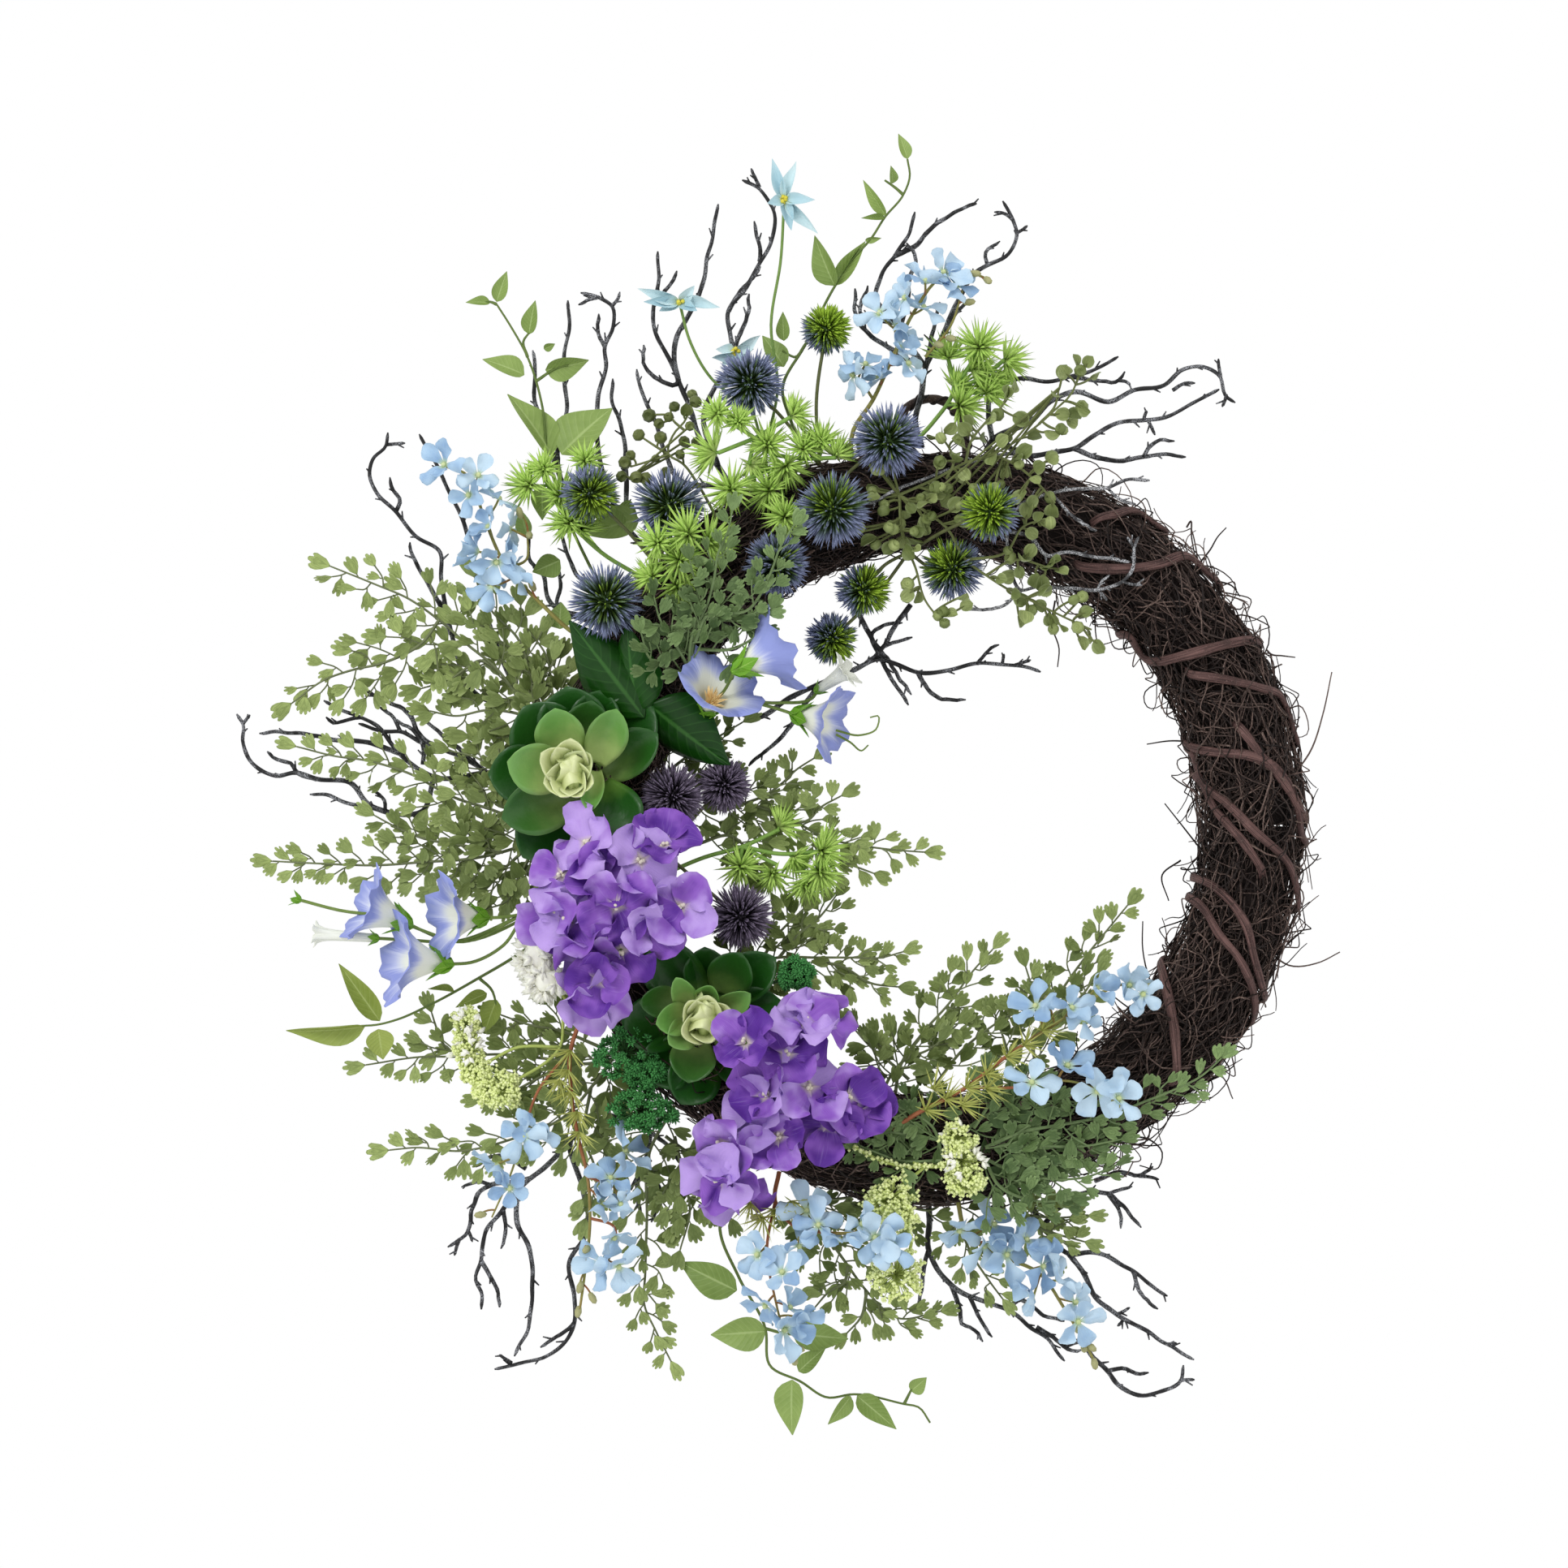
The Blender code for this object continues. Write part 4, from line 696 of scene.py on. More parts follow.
def twig_spray(rng, root, outs, branches, girth):
    bunch = Bunch()
    place = leaning(root, outs)
    for number, branch in enumerate(branches):
        length = route_length(branch)
        steps = max(8, int(length / 5))
        flat = flowing(branch, steps)
        flat += wander(rng, 2, steps, (2, 5)).T * min(1.6, length / 60) * np.linspace(0, 1, steps)[:, None]
        base = girth * SPRAY_RADIUS * (1 if number == 0 else min(0.9, 0.55 + length / 300))
        radii = np.linspace(base, SPRAY_TIP_RADIUS * (0.9 if length < 40 else 1.0), steps)
        radii *= 1 + 0.09 * wander(rng, 1, steps, (4, 9, 15))[0]
        radii[-1] *= 0.45
        lift = wander(rng, 1, steps, (1, 2))[0] * 2.0
        sticks(bunch, place(flat, lift)[None], radii, 7, [rng.random()])
        for index in range(SPUR_EVERY // 2, steps - 2, SPUR_EVERY):
            index = min(steps - 2, index + rng.integers(-2, 3))
            stub = place(spur(rng, flat, index), lift[index])
            thick = np.linspace(radii[index] * 0.7, SPRAY_TIP_RADIUS * 0.4, 4)
            sticks(bunch, stub[None], thick, 5, [rng.random()])
    return bunch


def spray_finish(name, black, silver, bare):
    """Black paint with silver brushed over it; bare is the noise level where the silver starts."""
    finish = Finish(name, 0.42)
    brushed = finish.window(finish.noise(110, 4) * 0.6 + finish.streaks(2.5, 12) * 0.4, bare, bare + 0.20)
    grain = finish.noise(1500, 2)
    colour = finish.blend(black, silver, brushed * finish.window(grain, 0.38, 0.66))
    return finish.coat(colour, relief=grain, depth=0.5)


SPRAY_FINISH = spray_finish("black_spray", (0.012, 0.012, 0.013), (0.36, 0.37, 0.40), bare=0.43)
SILVER_SPRAY_FINISH = spray_finish("silver_spray", (0.035, 0.035, 0.038), (0.62, 0.63, 0.66), bare=0.38)
SPRAY_RNG = np.random.default_rng(21)
for spray_name, spray_parts in TWIG_SPRAYS.items():
    in_front = spray_name == "twig_spray_front"
    twigs = twig_spray(SPRAY_RNG, *spray_parts, girth=0.6 if in_front else 1)
    twigs = twigs.make(spray_name + "_twigs", SILVER_SPRAY_FINISH if in_front else SPRAY_FINISH)
    settle(twigs, spray_name)

# The maidenhair ferns: moulded picks of thin ribs with side stalks by turns, each with fan-shaped leaflets
# that are notched at the rim. The leaflets are pressed from green film and tilt every way. Each rib comes
# with the reach of its side stalks.
FERN_RIB_RADIUS = 0.0010
LEAFLET_THICKNESS = 0.012
FAN_HALF_ANGLE = 0.68
FAN_SIDE = (0.31, 0.26)
SIDE_STALK_STEPS = 7
FERNS = {
    "fern_left_top": ((690, 910), (24, 32, 300), 25, (
        (((690, 910), (653, 893), (639, 862), (611, 823), (577, 795), (541, 764), (504, 738), (460, 719),
          (408, 698)), 60),
        (((541, 764), (522, 790), (474, 816), (432, 826), (401, 837), (360, 866)), 50),
        (((611, 823), (591, 814), (575, 823), (555, 837), (520, 848)), 34),
        (((676, 900), (640, 880), (600, 875), (560, 882), (530, 876)), 40),
        (((660, 880), (652, 830), (640, 790), (604, 750), (585, 712)), 48),
        (((690, 900), (680, 850), (674, 810), (650, 775)), 40),
    )),
    "fern_left_low": ((679, 1026), (24, 26, 300), 23, (
        (((679, 1026), (637, 1044), (586, 1057), (522, 1062), (464, 1066), (395, 1064), (336, 1061)), 46),
        (((679, 1026), (637, 1010), (607, 998), (561, 983), (502, 952), (446, 936), (415, 932), (366, 920)),
         46),
        (((620, 1050), (560, 1040), (525, 1034), (482, 1016), (462, 1005)), 34),
        (((650, 1010), (620, 965), (590, 935), (555, 925)), 44),
        (((650, 1044), (610, 1078), (575, 1096), (540, 1100)), 36),
        (((679, 1026), (660, 980), (640, 950), (630, 920)), 40),
        (((660, 1040), (640, 1080), (625, 1110), (600, 1120)), 34),
    )),
    "fern_bottom_left": ((766, 1289), (22, 20, 300), 24, (
        (((766, 1289), (728, 1310), (688, 1306), (608, 1299), (568, 1302), (522, 1302), (451, 1312)), 46),
        (((766, 1289), (728, 1340), (700, 1372), (629, 1404), (568, 1418), (511, 1414), (480, 1417)), 44),
        (((568, 1302), (549, 1290), (538, 1267), (532, 1248)), 28),
        (((728, 1340), (720, 1400), (735, 1450), (722, 1500)), 42),
        (((700, 1308), (660, 1330), (630, 1345), (596, 1352)), 40),
        (((740, 1290), (690, 1270), (650, 1262), (616, 1250)), 38),
    )),
    "fern_hanging": ((831, 1362), (30, 34, 300), 23, (
        (((831, 1362), (800, 1420), (797, 1501), (795, 1568), (794, 1608), (808, 1640), (826, 1676)), 46),
        (((831, 1400), (842, 1450), (850, 1490), (838, 1540)), 40),
        (((820, 1400), (880, 1450), (900, 1500)), 34),
    )),
    "fern_inner": ((812, 1000), (30, 34, 300), 22, (
        (((812, 1000), (870, 985), (918, 990), (959, 1002), (1025, 1035), (1061, 1042), (1099, 1047),
          (1138, 1050)), 42),
        (((890, 1000), (918, 990), (943, 980), (964, 965), (982, 948), (1002, 935)), 34),
        (((950, 1010), (997, 1010), (1010, 996), (1036, 981)), 26),
        (((1000, 1040), (1040, 1062), (1076, 1076)), 30),
        (((860, 1040), (900, 1030), (930, 1060), (950, 1100)), 34),
        (((812, 960), (850, 930), (890, 905), (915, 890)), 34),
    )),
    "fern_inner_low": ((884, 1228), (26, 30, 300), 21, (
        (((884, 1228), (915, 1195), (948, 1182), (1010, 1180), (1050, 1180), (1086, 1180), (1112, 1173)), 42),
        (((960, 1180), (985, 1150), (1010, 1130), (1030, 1104)), 36),
        (((1000, 1185), (1035, 1190), (1075, 1212), (1106, 1216)), 30),
        (((940, 1180), (960, 1150), (990, 1120)), 34),
    )),
    "fern_rising": ((1103, 1350), (26, 30, 300), 23, (
        (((1103, 1350), (1109, 1315), (1137, 1273), (1169, 1237), (1201, 1194), (1223, 1170)), 44),
        (((1120, 1330), (1098, 1310), (1073, 1290), (1051, 1266)), 38),
        (((1150, 1340), (1190, 1290), (1226, 1262), (1262, 1240)), 42),
        (((1080, 1360), (1110, 1310), (1150, 1290), (1180, 1262)), 38),
    )),
    "fern_rising_right": ((1282, 1322), (26, 34, 300), 22, (
        (((1282, 1322), (1274, 1300), (1301, 1233), (1337, 1180), (1366, 1144), (1389, 1116)), 42),
        (((1290, 1270), (1276, 1230), (1264, 1192)), 36),
        (((1250, 1340), (1240, 1290), (1226, 1250)), 38),
        (((1300, 1250), (1330, 1230), (1352, 1200)), 30),
    )),
    "fern_front": ((1214, 1414), (64, 68, 200), 20, (
        (((1214, 1414), (1262, 1394), (1301, 1387), (1373, 1372), (1409, 1358), (1444, 1344), (1480, 1326),
          (1505, 1304)), 38),
        (((1214, 1414), (1250, 1410), (1284, 1412), (1337, 1412), (1380, 1404)), 40),
        (((1200, 1420), (1240, 1440), (1290, 1452), (1340, 1450), (1374, 1436)), 38),
        (((1180, 1400), (1220, 1372), (1270, 1358), (1330, 1358)), 40),
        (((1160, 1420), (1150, 1390), (1120, 1370), (1080, 1360)), 44),
        (((1160, 1430), (1110, 1430), (1060, 1412)), 40),
        (((1214, 1430), (1230, 1460), (1280, 1480), (1320, 1478)), 40),
        (((1180, 1410), (1130, 1400), (1080, 1396), (1030, 1420)), 40),
        (((1200, 1390), (1230, 1350), (1280, 1330)), 38),
    )),
    "fern_bottom": ((985, 1454), (20, 22, 300), 21, (
        (((985, 1454), (1000, 1490), (1045, 1560), (1068, 1591), (1106, 1624), (1158, 1616)), 44),
        (((1045, 1560), (1040, 1580), (1022, 1591), (1003, 1612)), 28),
        (((1068, 1591), (1060, 1624), (1044, 1642)), 26),
        (((1240, 1450), (1250, 1490), (1290, 1500), (1340, 1498)), 44),
        (((1180, 1470), (1190, 1530), (1220, 1580), (1235, 1600)), 40),
        (((1250, 1500), (1300, 1520), (1336, 1530)), 36),
        (((900, 1440), (870, 1470), (840, 1490)), 34),
        (((1000, 1480), (1060, 1470), (1090, 1440)), 36),
        (((1100, 1480), (1150, 1490), (1180, 1450)), 36),
    )),
    "fern_centre": ((850, 825), (64, 116, 180), 20, (
        (((850, 825), (857, 776), (872, 743), (881, 706), (884, 685), (898, 651), (902, 630)), 32),
        (((857, 790), (870, 760), (921, 752), (949, 707), (963, 671), (978, 648)), 32),
        (((850, 825), (830, 790), (812, 760), (806, 735)), 30),
        (((860, 800), (900, 800), (935, 780), (950, 750)), 26),
        (((840, 830), (800, 810), (790, 780)), 26),
        (((850, 850), (850, 800), (860, 740), (850, 690)), 30),
    )),
}


def fan_form(lobes, notch, hollow):
    """A leaflet of unit length: a wedge that opens from its stalk to a round rim, which is cut into lobes."""
    count = 4 * lobes + 1
    share = np.linspace(-1, 1, count)
    angles = share * FAN_HALF_ANGLE
    lobed = 1 - notch * (1 - np.abs(np.sin(np.linspace(0, math.pi * lobes, count))) ** 0.5)
    reach = lobed * (1 - 0.17 * share ** 2)
    across = 0.5 * np.sin(angles) / math.sin(FAN_HALF_ANGLE)
    rim = np.stack([np.cos(angles) * reach, across * reach, hollow * share ** 2], axis=1)
    left, right = ([FAN_SIDE[0], way * FAN_SIDE[1], hollow * 0.3] for way in (-1, 1))
    middle = [[0.6, 0, LEAFLET_THICKNESS], [0.6, 0, -LEAFLET_THICKNESS]]
    points = np.concatenate([[[0, 0, 0], left], rim, [right], middle])
    outline = count + 3
    here = np.arange(outline)
    after = (here + 1) % outline
    front = np.stack([np.full(outline, outline), here, after], axis=1)
    back = np.stack([np.full(outline, outline + 1), after, here], axis=1)
    edge = np.concatenate([[0.3, 0.6], np.ones(count), [0.6, 0, 0]])
    return points, np.concatenate([front, back]), np.hypot(points[:, 0], points[:, 1]), edge


def plant(bunch, form, bases, aheads, faces, lengths, widths, tones, skin=0, depths=None):
    """Sets a copy of a form at each base: its length runs along aheads and its top side looks to faces."""
    points, corners, along, edge = form
    bases = np.atleast_2d(bases)
    count = len(bases)
    ahead = unit(np.broadcast_to(np.asarray(aheads, float), (count, 3)))
    across = unit(np.cross(np.broadcast_to(faces, (count, 3)), ahead))
    up = np.cross(ahead, across)
    length, width, depth = (np.broadcast_to(size, count)[:, None, None]
                            for size in (lengths, widths, lengths if depths is None else depths))
    grown = (bases[:, None] + points[None, :, :1] * length * ahead[:, None]
             + points[None, :, 1:2] * width * across[:, None] + points[None, :, 2:] * depth * up[:, None])
    copies = (corners[None] + (np.arange(count) * len(points))[:, None, None]).reshape(-1, corners.shape[1])
    bunch.add(grown.reshape(-1, 3), copies, np.repeat(np.broadcast_to(tones, count), len(points)),
              np.tile(along, count), np.tile(edge, count), skin)


def facing(rng, count, tilt):
    """Directions towards the room, each tilted at random."""
    return unit(np.array([0, -1, 0]) + rng.normal(0, tilt, (count, 3)))


def turned(direction, angle):
    """A picture direction turned by angle."""
    cos, sin = math.cos(angle), math.sin(angle)
    return np.array([direction[0] * cos - direction[1] * sin, direction[0] * sin + direction[1] * cos])


def add_leaflets(rng, curve, count, size, bases, tips):
    """Adds the two ends of each leaflet on a side stalk: they grow by turns, and the last points ahead."""
    for number in range(count):
        place = (number + 0.8) / (count + 0.2) * (SIDE_STALK_STEPS - 1)
        index = int(place)
        step = curve[index + 1] - curve[index]
        base = curve[index] + step * (place % 1)
        swing = 0 if number == count - 1 else (1 if number % 2 else -1) * rng.uniform(0.65, 1.15)
        bases.append(base)
        tips.append(base + turned(unit(step), swing) * size * rng.uniform(0.8, 1.15))


def frond(rng, rib, reach, size):
    """The side stalks of one frond and the two ends of each leaflet, as picture points."""
    length = route_length(rib)
    steps = max(12, int(length / 4))
    line = flowing(rib, steps)
    stalks, bases, tips = [], [], []
    side = rng.choice((-1, 1))
    at = size * 0.9
    while at < length - size * 0.3:
        share = at / length
        index = min(steps - 2, int(share * (steps - 1)))
        start = line[index]
        ahead = unit(line[index + 1] - start)
        branch = reach * (1.15 - 0.95 * share) * rng.uniform(0.75, 1.2)
        heading = turned(ahead, side * (1.05 - 0.3 * share + rng.normal(0, 0.12)))
        leaflet = size * (1.16 - 0.34 * share)
        if branch > leaflet * 0.7:
            middle = start + heading * branch * 0.5 + rng.normal(0, 1.5, 2)
            end = start + heading * branch + ahead * branch * 0.22
            stalks.append(flowing([start, middle, end], SIDE_STALK_STEPS))
            add_leaflets(rng, stalks[-1], max(2, int(branch / (leaflet * 0.40))), leaflet, bases, tips)
        else:
            bases.append(start)
            tips.append(start + heading * leaflet * rng.uniform(1.0, 1.2))
        side = -side
        at += size * rng.uniform(0.56, 0.80)
    bases.append(line[-2])
    tips.append(line[-1] + unit(line[-1] - line[-2]) * size * 0.95)
    return line, stalks, np.array(bases), np.array(tips)


def fern(rng, root, outs, size, ribs):
    """One pick: its fronds leave the same root and share a material."""
    bunch = Bunch()
    place = leaning(root, outs)
    forms = [fan_form(3, 0.25, 0.12), fan_form(4, 0.20, 0.07), fan_form(3, 0.18, -0.10)]
    for rib, reach in ribs:
        line, stalks, bases, tips = frond(rng, rib, reach, size)
        lift = rng.normal(0, 1.5) + wander(rng, 1, len(line), (1, 2))[0] * 2
        wire(bunch, place(line, lift), FERN_RIB_RADIUS, 5, 0.3, 1, taper=(1.2, 0.55))
        if stalks:
            rises = rng.normal(0, 2.5, (len(stalks), 1)) * np.linspace(0, 1, SIDE_STALK_STEPS) + lift.mean()
            sticks(bunch, place(stalks, rises), FERN_RIB_RADIUS * 0.6, 3, rng.random(len(stalks)), 1)
        lift = rng.normal(0, 2.0, len(bases)) + lift.mean()
        base = place(bases, lift)
        grown = place(tips, lift + rng.normal(0, 2.5, len(bases))) - base
        sticks(bunch, np.stack([base, base + grown * 0.25], axis=1), FERN_RIB_RADIUS * 0.5, 3,
               rng.random(len(bases)), 1)
        length = np.linalg.norm(tips - bases, axis=1) * POINT
        away = np.linalg.norm(bases - np.array(root), axis=1)
        tones = np.clip(0.1 + away / 330 + rng.normal(0, 0.2, len(bases)), 0, 1)
        for kind, form in enumerate(forms):
            some = np.arange(len(bases)) % len(forms) == kind
            plant(bunch, form, base[some] + grown[some] * 0.15, grown[some], facing(rng, some.sum(), 0.34),
                  length[some] * 1.12, length[some] * rng.uniform(0.92, 1.20, some.sum()), tones[some])
    return bunch


def film_finish(name, dark, light, rim, roughness=0.55):
    """Pressed green film: darker towards its stalk, paler at its rim, with fine veins."""
    finish = Finish(name, roughness)
    colour = finish.blend(dark, light, finish.value("tone") * 0.75 + finish.noise(260) * 0.35)
    colour = finish.blend(colour, rim, finish.window(finish.value("edge"), 0.55, 1.1) * 0.35)
    veins = finish.streaks(9, 2)
    colour = finish.blend(colour, dark, finish.window(veins, 0.62, 0.4) * 0.35)
    return finish.coat(colour, relief=veins, depth=0.35)


def rib_finish(name, dark, light):
    finish = Finish(name, 0.6)
    return finish.coat(finish.blend(dark, light, finish.noise(220)), relief=finish.noise(1800), depth=0.2)


FERN_RNG = np.random.default_rng(33)
FERN_FINISHES = (
    film_finish("fern_green", (0.064, 0.100, 0.018), (0.330, 0.415, 0.135), (0.47, 0.56, 0.24)),
    rib_finish("fern_rib", (0.075, 0.092, 0.042), (0.200, 0.235, 0.105)),
)
GREY_FERN_FINISHES = (
    film_finish("fern_grey_green", (0.020, 0.050, 0.010), (0.232, 0.345, 0.125), (0.34, 0.47, 0.21)),
    rib_finish("fern_grey_rib", (0.085, 0.130, 0.052), (0.200, 0.285, 0.120)),
)
GREY_FERNS = ("fern_centre", "fern_front")
for fern_name, fern_parts in FERNS.items():
    fern_finishes = GREY_FERN_FINISHES if fern_name in GREY_FERNS else FERN_FINISHES
    fern_piece = fern(FERN_RNG, *fern_parts).make(fern_name + "_fronds", *fern_finishes, crease=0.7)
    settle(fern_piece, fern_name)

# The leafy vines: thin green wire stems with single pointed leaves of printed cloth, folded a little along
# the midrib. The sprig at the left has long narrow leaves. Broad glossy leaves stand behind the succulent.
# Each leaf has its base, its tip and its width.
VINE_RADIUS = 0.0009
SIDE_VEINS = 9.0
LEAFY_VINES = {
    "leafy_vine_top": ((996, 576), (28, 22, 400), (
        ((996, 576), (975, 520), (964, 481), (992, 425), (1029, 352), (1050, 320), (1074, 293), (1090, 268),
         (1113, 240), (1121, 217), (1118, 196)),
        ((1113, 240), (1104, 232), (1090, 222)),
        ((992, 425), (980, 440), (964, 432)),
    ), (
        ((1118, 196), (1108, 164), 15), ((1100, 226), (1099, 205), 12), ((1092, 266), (1062, 222), 14),
        ((1090, 268), (1062, 268), 8), ((1029, 352), (1001, 292), 30), ((1029, 352), (1066, 296), 20),
        ((1066, 296), (1086, 294), 8), ((1036, 340), (1058, 300), 10), ((966, 452), (940, 412), 26),
        ((966, 420), (964, 384), 16),
    )),
    "leafy_vine_left_top": ((758, 759), (22, 20, 400), (
        ((758, 759), (728, 700), (700, 640), (675, 560), (668, 500), (650, 440), (628, 400), (612, 375)),
        ((660, 470), (690, 452), (700, 450)),
        ((612, 375), (604, 372), (598, 372)),
        ((650, 440), (645, 420), (652, 410)),
    ), (
        ((612, 372), (624, 334), 18), ((604, 373), (574, 371), 13), ((652, 412), (658, 370), 20),
        ((646, 462), (596, 440), 28), ((672, 456), (726, 446), 30), ((680, 562), (631, 482), 46),
        ((692, 560), (751, 499), 62), ((668, 600), (668, 640), 26), ((650, 660), (640, 628), 20),
        ((690, 690), (656, 706), 30), ((760, 626), (786, 640), 30), ((788, 640), (718, 656), 40),
        ((690, 775), (690, 742), 34), ((670, 430), (684, 424), 10), ((718, 645), (730, 620), 20),
    )),
    "leafy_vine_bottom": ((910, 1420), (38, 44, 400), (
        ((910, 1420), (893, 1470), (887, 1514), (910, 1573), (943, 1637), (949, 1683), (986, 1702),
         (1020, 1722), (1050, 1718), (1114, 1730), (1132, 1734), (1146, 1753)),
        ((943, 1637), (975, 1644), (1005, 1636)),
        ((1114, 1730), (1120, 1718), (1124, 1710)),
    ), (
        ((908, 1590), (836, 1556), 40), ((944, 1640), (876, 1646), 40), ((976, 1643), (1046, 1650), 34),
        ((984, 1690), (1016, 1660), 22), ((976, 1700), (974, 1768), 36), ((1056, 1720), (1104, 1760), 26),
        ((1048, 1720), (1022, 1756), 20), ((1122, 1714), (1142, 1698), 20), ((893, 1470), (872, 1490), 14),
    )),
    "long_leaf_sprig": ((690, 1136), (28, 34, 300), (
        ((690, 1136), (640, 1175), (590, 1205), (530, 1238), (490, 1256), (462, 1263), (445, 1264)),
        ((590, 1205), (606, 1220), (612, 1240)),
    ), (
        ((450, 1264), (352, 1276), 28), ((468, 1258), (418, 1188), 26), ((466, 1268), (472, 1306), 32),
        ((612, 1232), (596, 1272), 26), ((600, 1224), (562, 1240), 16), ((560, 1222), (528, 1216), 12),
    )),
    "broad_leaves": ((772, 872), (62, 70, 80), (
        ((772, 872), (780, 868), (788, 864)),
    ), (
        ((794, 884), (702, 766), 74), ((786, 880), (768, 770), 60), ((800, 868), (896, 946), 76),
    )),
}


def leaf_form(rows, columns, outline, cup=0.0, bend=0.0, fold=0.0, ripple=0.0, thick=0.012):
    """A thin closed leaf or petal of unit length; outline gives its half width along it."""
    u, v = np.meshgrid(np.linspace(0, 1, rows), np.linspace(-1, 1, columns), indexing="ij")
    across = v * np.maximum(outline(u), 0.012)
    lift = cup * across ** 2 * 4 + bend * u ** 2 + fold * np.abs(across)
    lift = lift + ripple * np.abs(v) ** 1.5 * np.sin(u * 10 + np.sign(v) * 1.3) * outline(u) * 2
    swell = thick * np.sqrt(np.maximum(0, 1 - v ** 2)) * np.sqrt(np.maximum(0, 1 - (2 * u - 1) ** 4)) + 0.003
    front = np.stack([u, across, lift + swell], axis=-1).reshape(-1, 3)
    back = np.stack([u, across, lift - swell], axis=-1).reshape(-1, 3)
    grid = np.arange(rows * columns).reshape(rows, columns)
    top = np.stack([grid[:-1, :-1], grid[1:, :-1], grid[1:, 1:], grid[:-1, 1:]], axis=-1).reshape(-1, 4)
    rim = np.concatenate([grid[:-1, 0], grid[-1, :-1], grid[:0:-1, -1], grid[0, :0:-1]])
    after = np.roll(rim, -1)
    shift = rows * columns
    wall = np.stack([rim, rim + shift, after + shift, after], axis=1)
    faces = np.concatenate([top, top[:, ::-1] + shift, wall])
    return np.concatenate([front, back]), faces, np.tile(u.ravel(), 2), np.tile(np.abs(v).ravel(), 2)


def pointed(u):
    return 0.5 * np.sin(np.pi * u ** 0.72) ** 0.9 * (1.04 - 0.25 * u)


def leafy(rng, root, outs, stems, leaves, form):
    bunch = Bunch()
    place = leaning(root, outs)
    for stem in stems:
        steps = max(8, int(route_length(stem) / 6))
        wire(bunch, place(flowing(stem, steps)), VINE_RADIUS, 6, 0.4, 1, taper=(1.2, 0.7))
    starts, ends, widths = zip(*leaves)
    bases = place(starts)
    growth = place(ends, rng.uniform(-4, 8, len(leaves))) - bases
    plant(bunch, form, bases, growth, facing(rng, len(leaves), 0.35), np.linalg.norm(growth, axis=1),
          np.array(widths) * 1.14 * POINT, rng.random(len(leaves)))
    return bunch


def leaf_finish(name, dark, light, vein, roughness=0.45):
    """Printed cloth leaf: a pale midrib, side veins that slant to the tip, and a mottled blade."""
    finish = Finish(name, roughness)
    edge, along = finish.value("edge"), finish.value("along")
    slant = (along * SIDE_VEINS - edge * 2.2) * math.tau
    slant = finish.node("ShaderNodeMath", {"operation": "SINE"}, {0: slant})
    colour = finish.blend(dark, light, finish.noise(130) * 0.6 + finish.value("tone") * 0.5)
    colour = finish.blend(colour, vein, finish.window(slant, 0.80, 1.0) * 0.16)
    colour = finish.blend(colour, vein, finish.window(edge, 0.10, 0.02) * 0.55)
    return finish.coat(colour, relief=slant * 0.3 + finish.window(edge, 0.0, 0.2) * 0.6, depth=0.3)


VINE_RNG = np.random.default_rng(8)
STEM_FINISH = rib_finish("leaf_stem", (0.070, 0.120, 0.025), (0.150, 0.210, 0.050))
LEAF_FINISH = leaf_finish("leaf_green", (0.115, 0.190, 0.034), (0.285, 0.395, 0.112), (0.42, 0.53, 0.22))
OTHER_LEAF_FINISHES = {
    "long_leaf_sprig":
        leaf_finish("long_leaf", (0.165, 0.230, 0.035), (0.320, 0.390, 0.090), (0.42, 0.50, 0.18)),
    "broad_leaves":
        leaf_finish("glossy_green", (0.001, 0.022, 0.001), (0.010, 0.078, 0.003), (0.05, 0.17, 0.03), 0.34),
}
for vine_name, vine_parts in LEAFY_VINES.items():
    broad = vine_name == "broad_leaves"
    vine_leaf = leaf_form(13, 9, pointed, cup=-0.25 if broad else 0.1, bend=-0.1, fold=0.14)
    vine = leafy(VINE_RNG, *vine_parts, vine_leaf)
    vine_finish = OTHER_LEAF_FINISHES.get(vine_name, LEAF_FINISH)
    vine = vine.make(vine_name + "_leaves", vine_finish, STEM_FINISH, crease=1.0)
    settle(vine, vine_name)

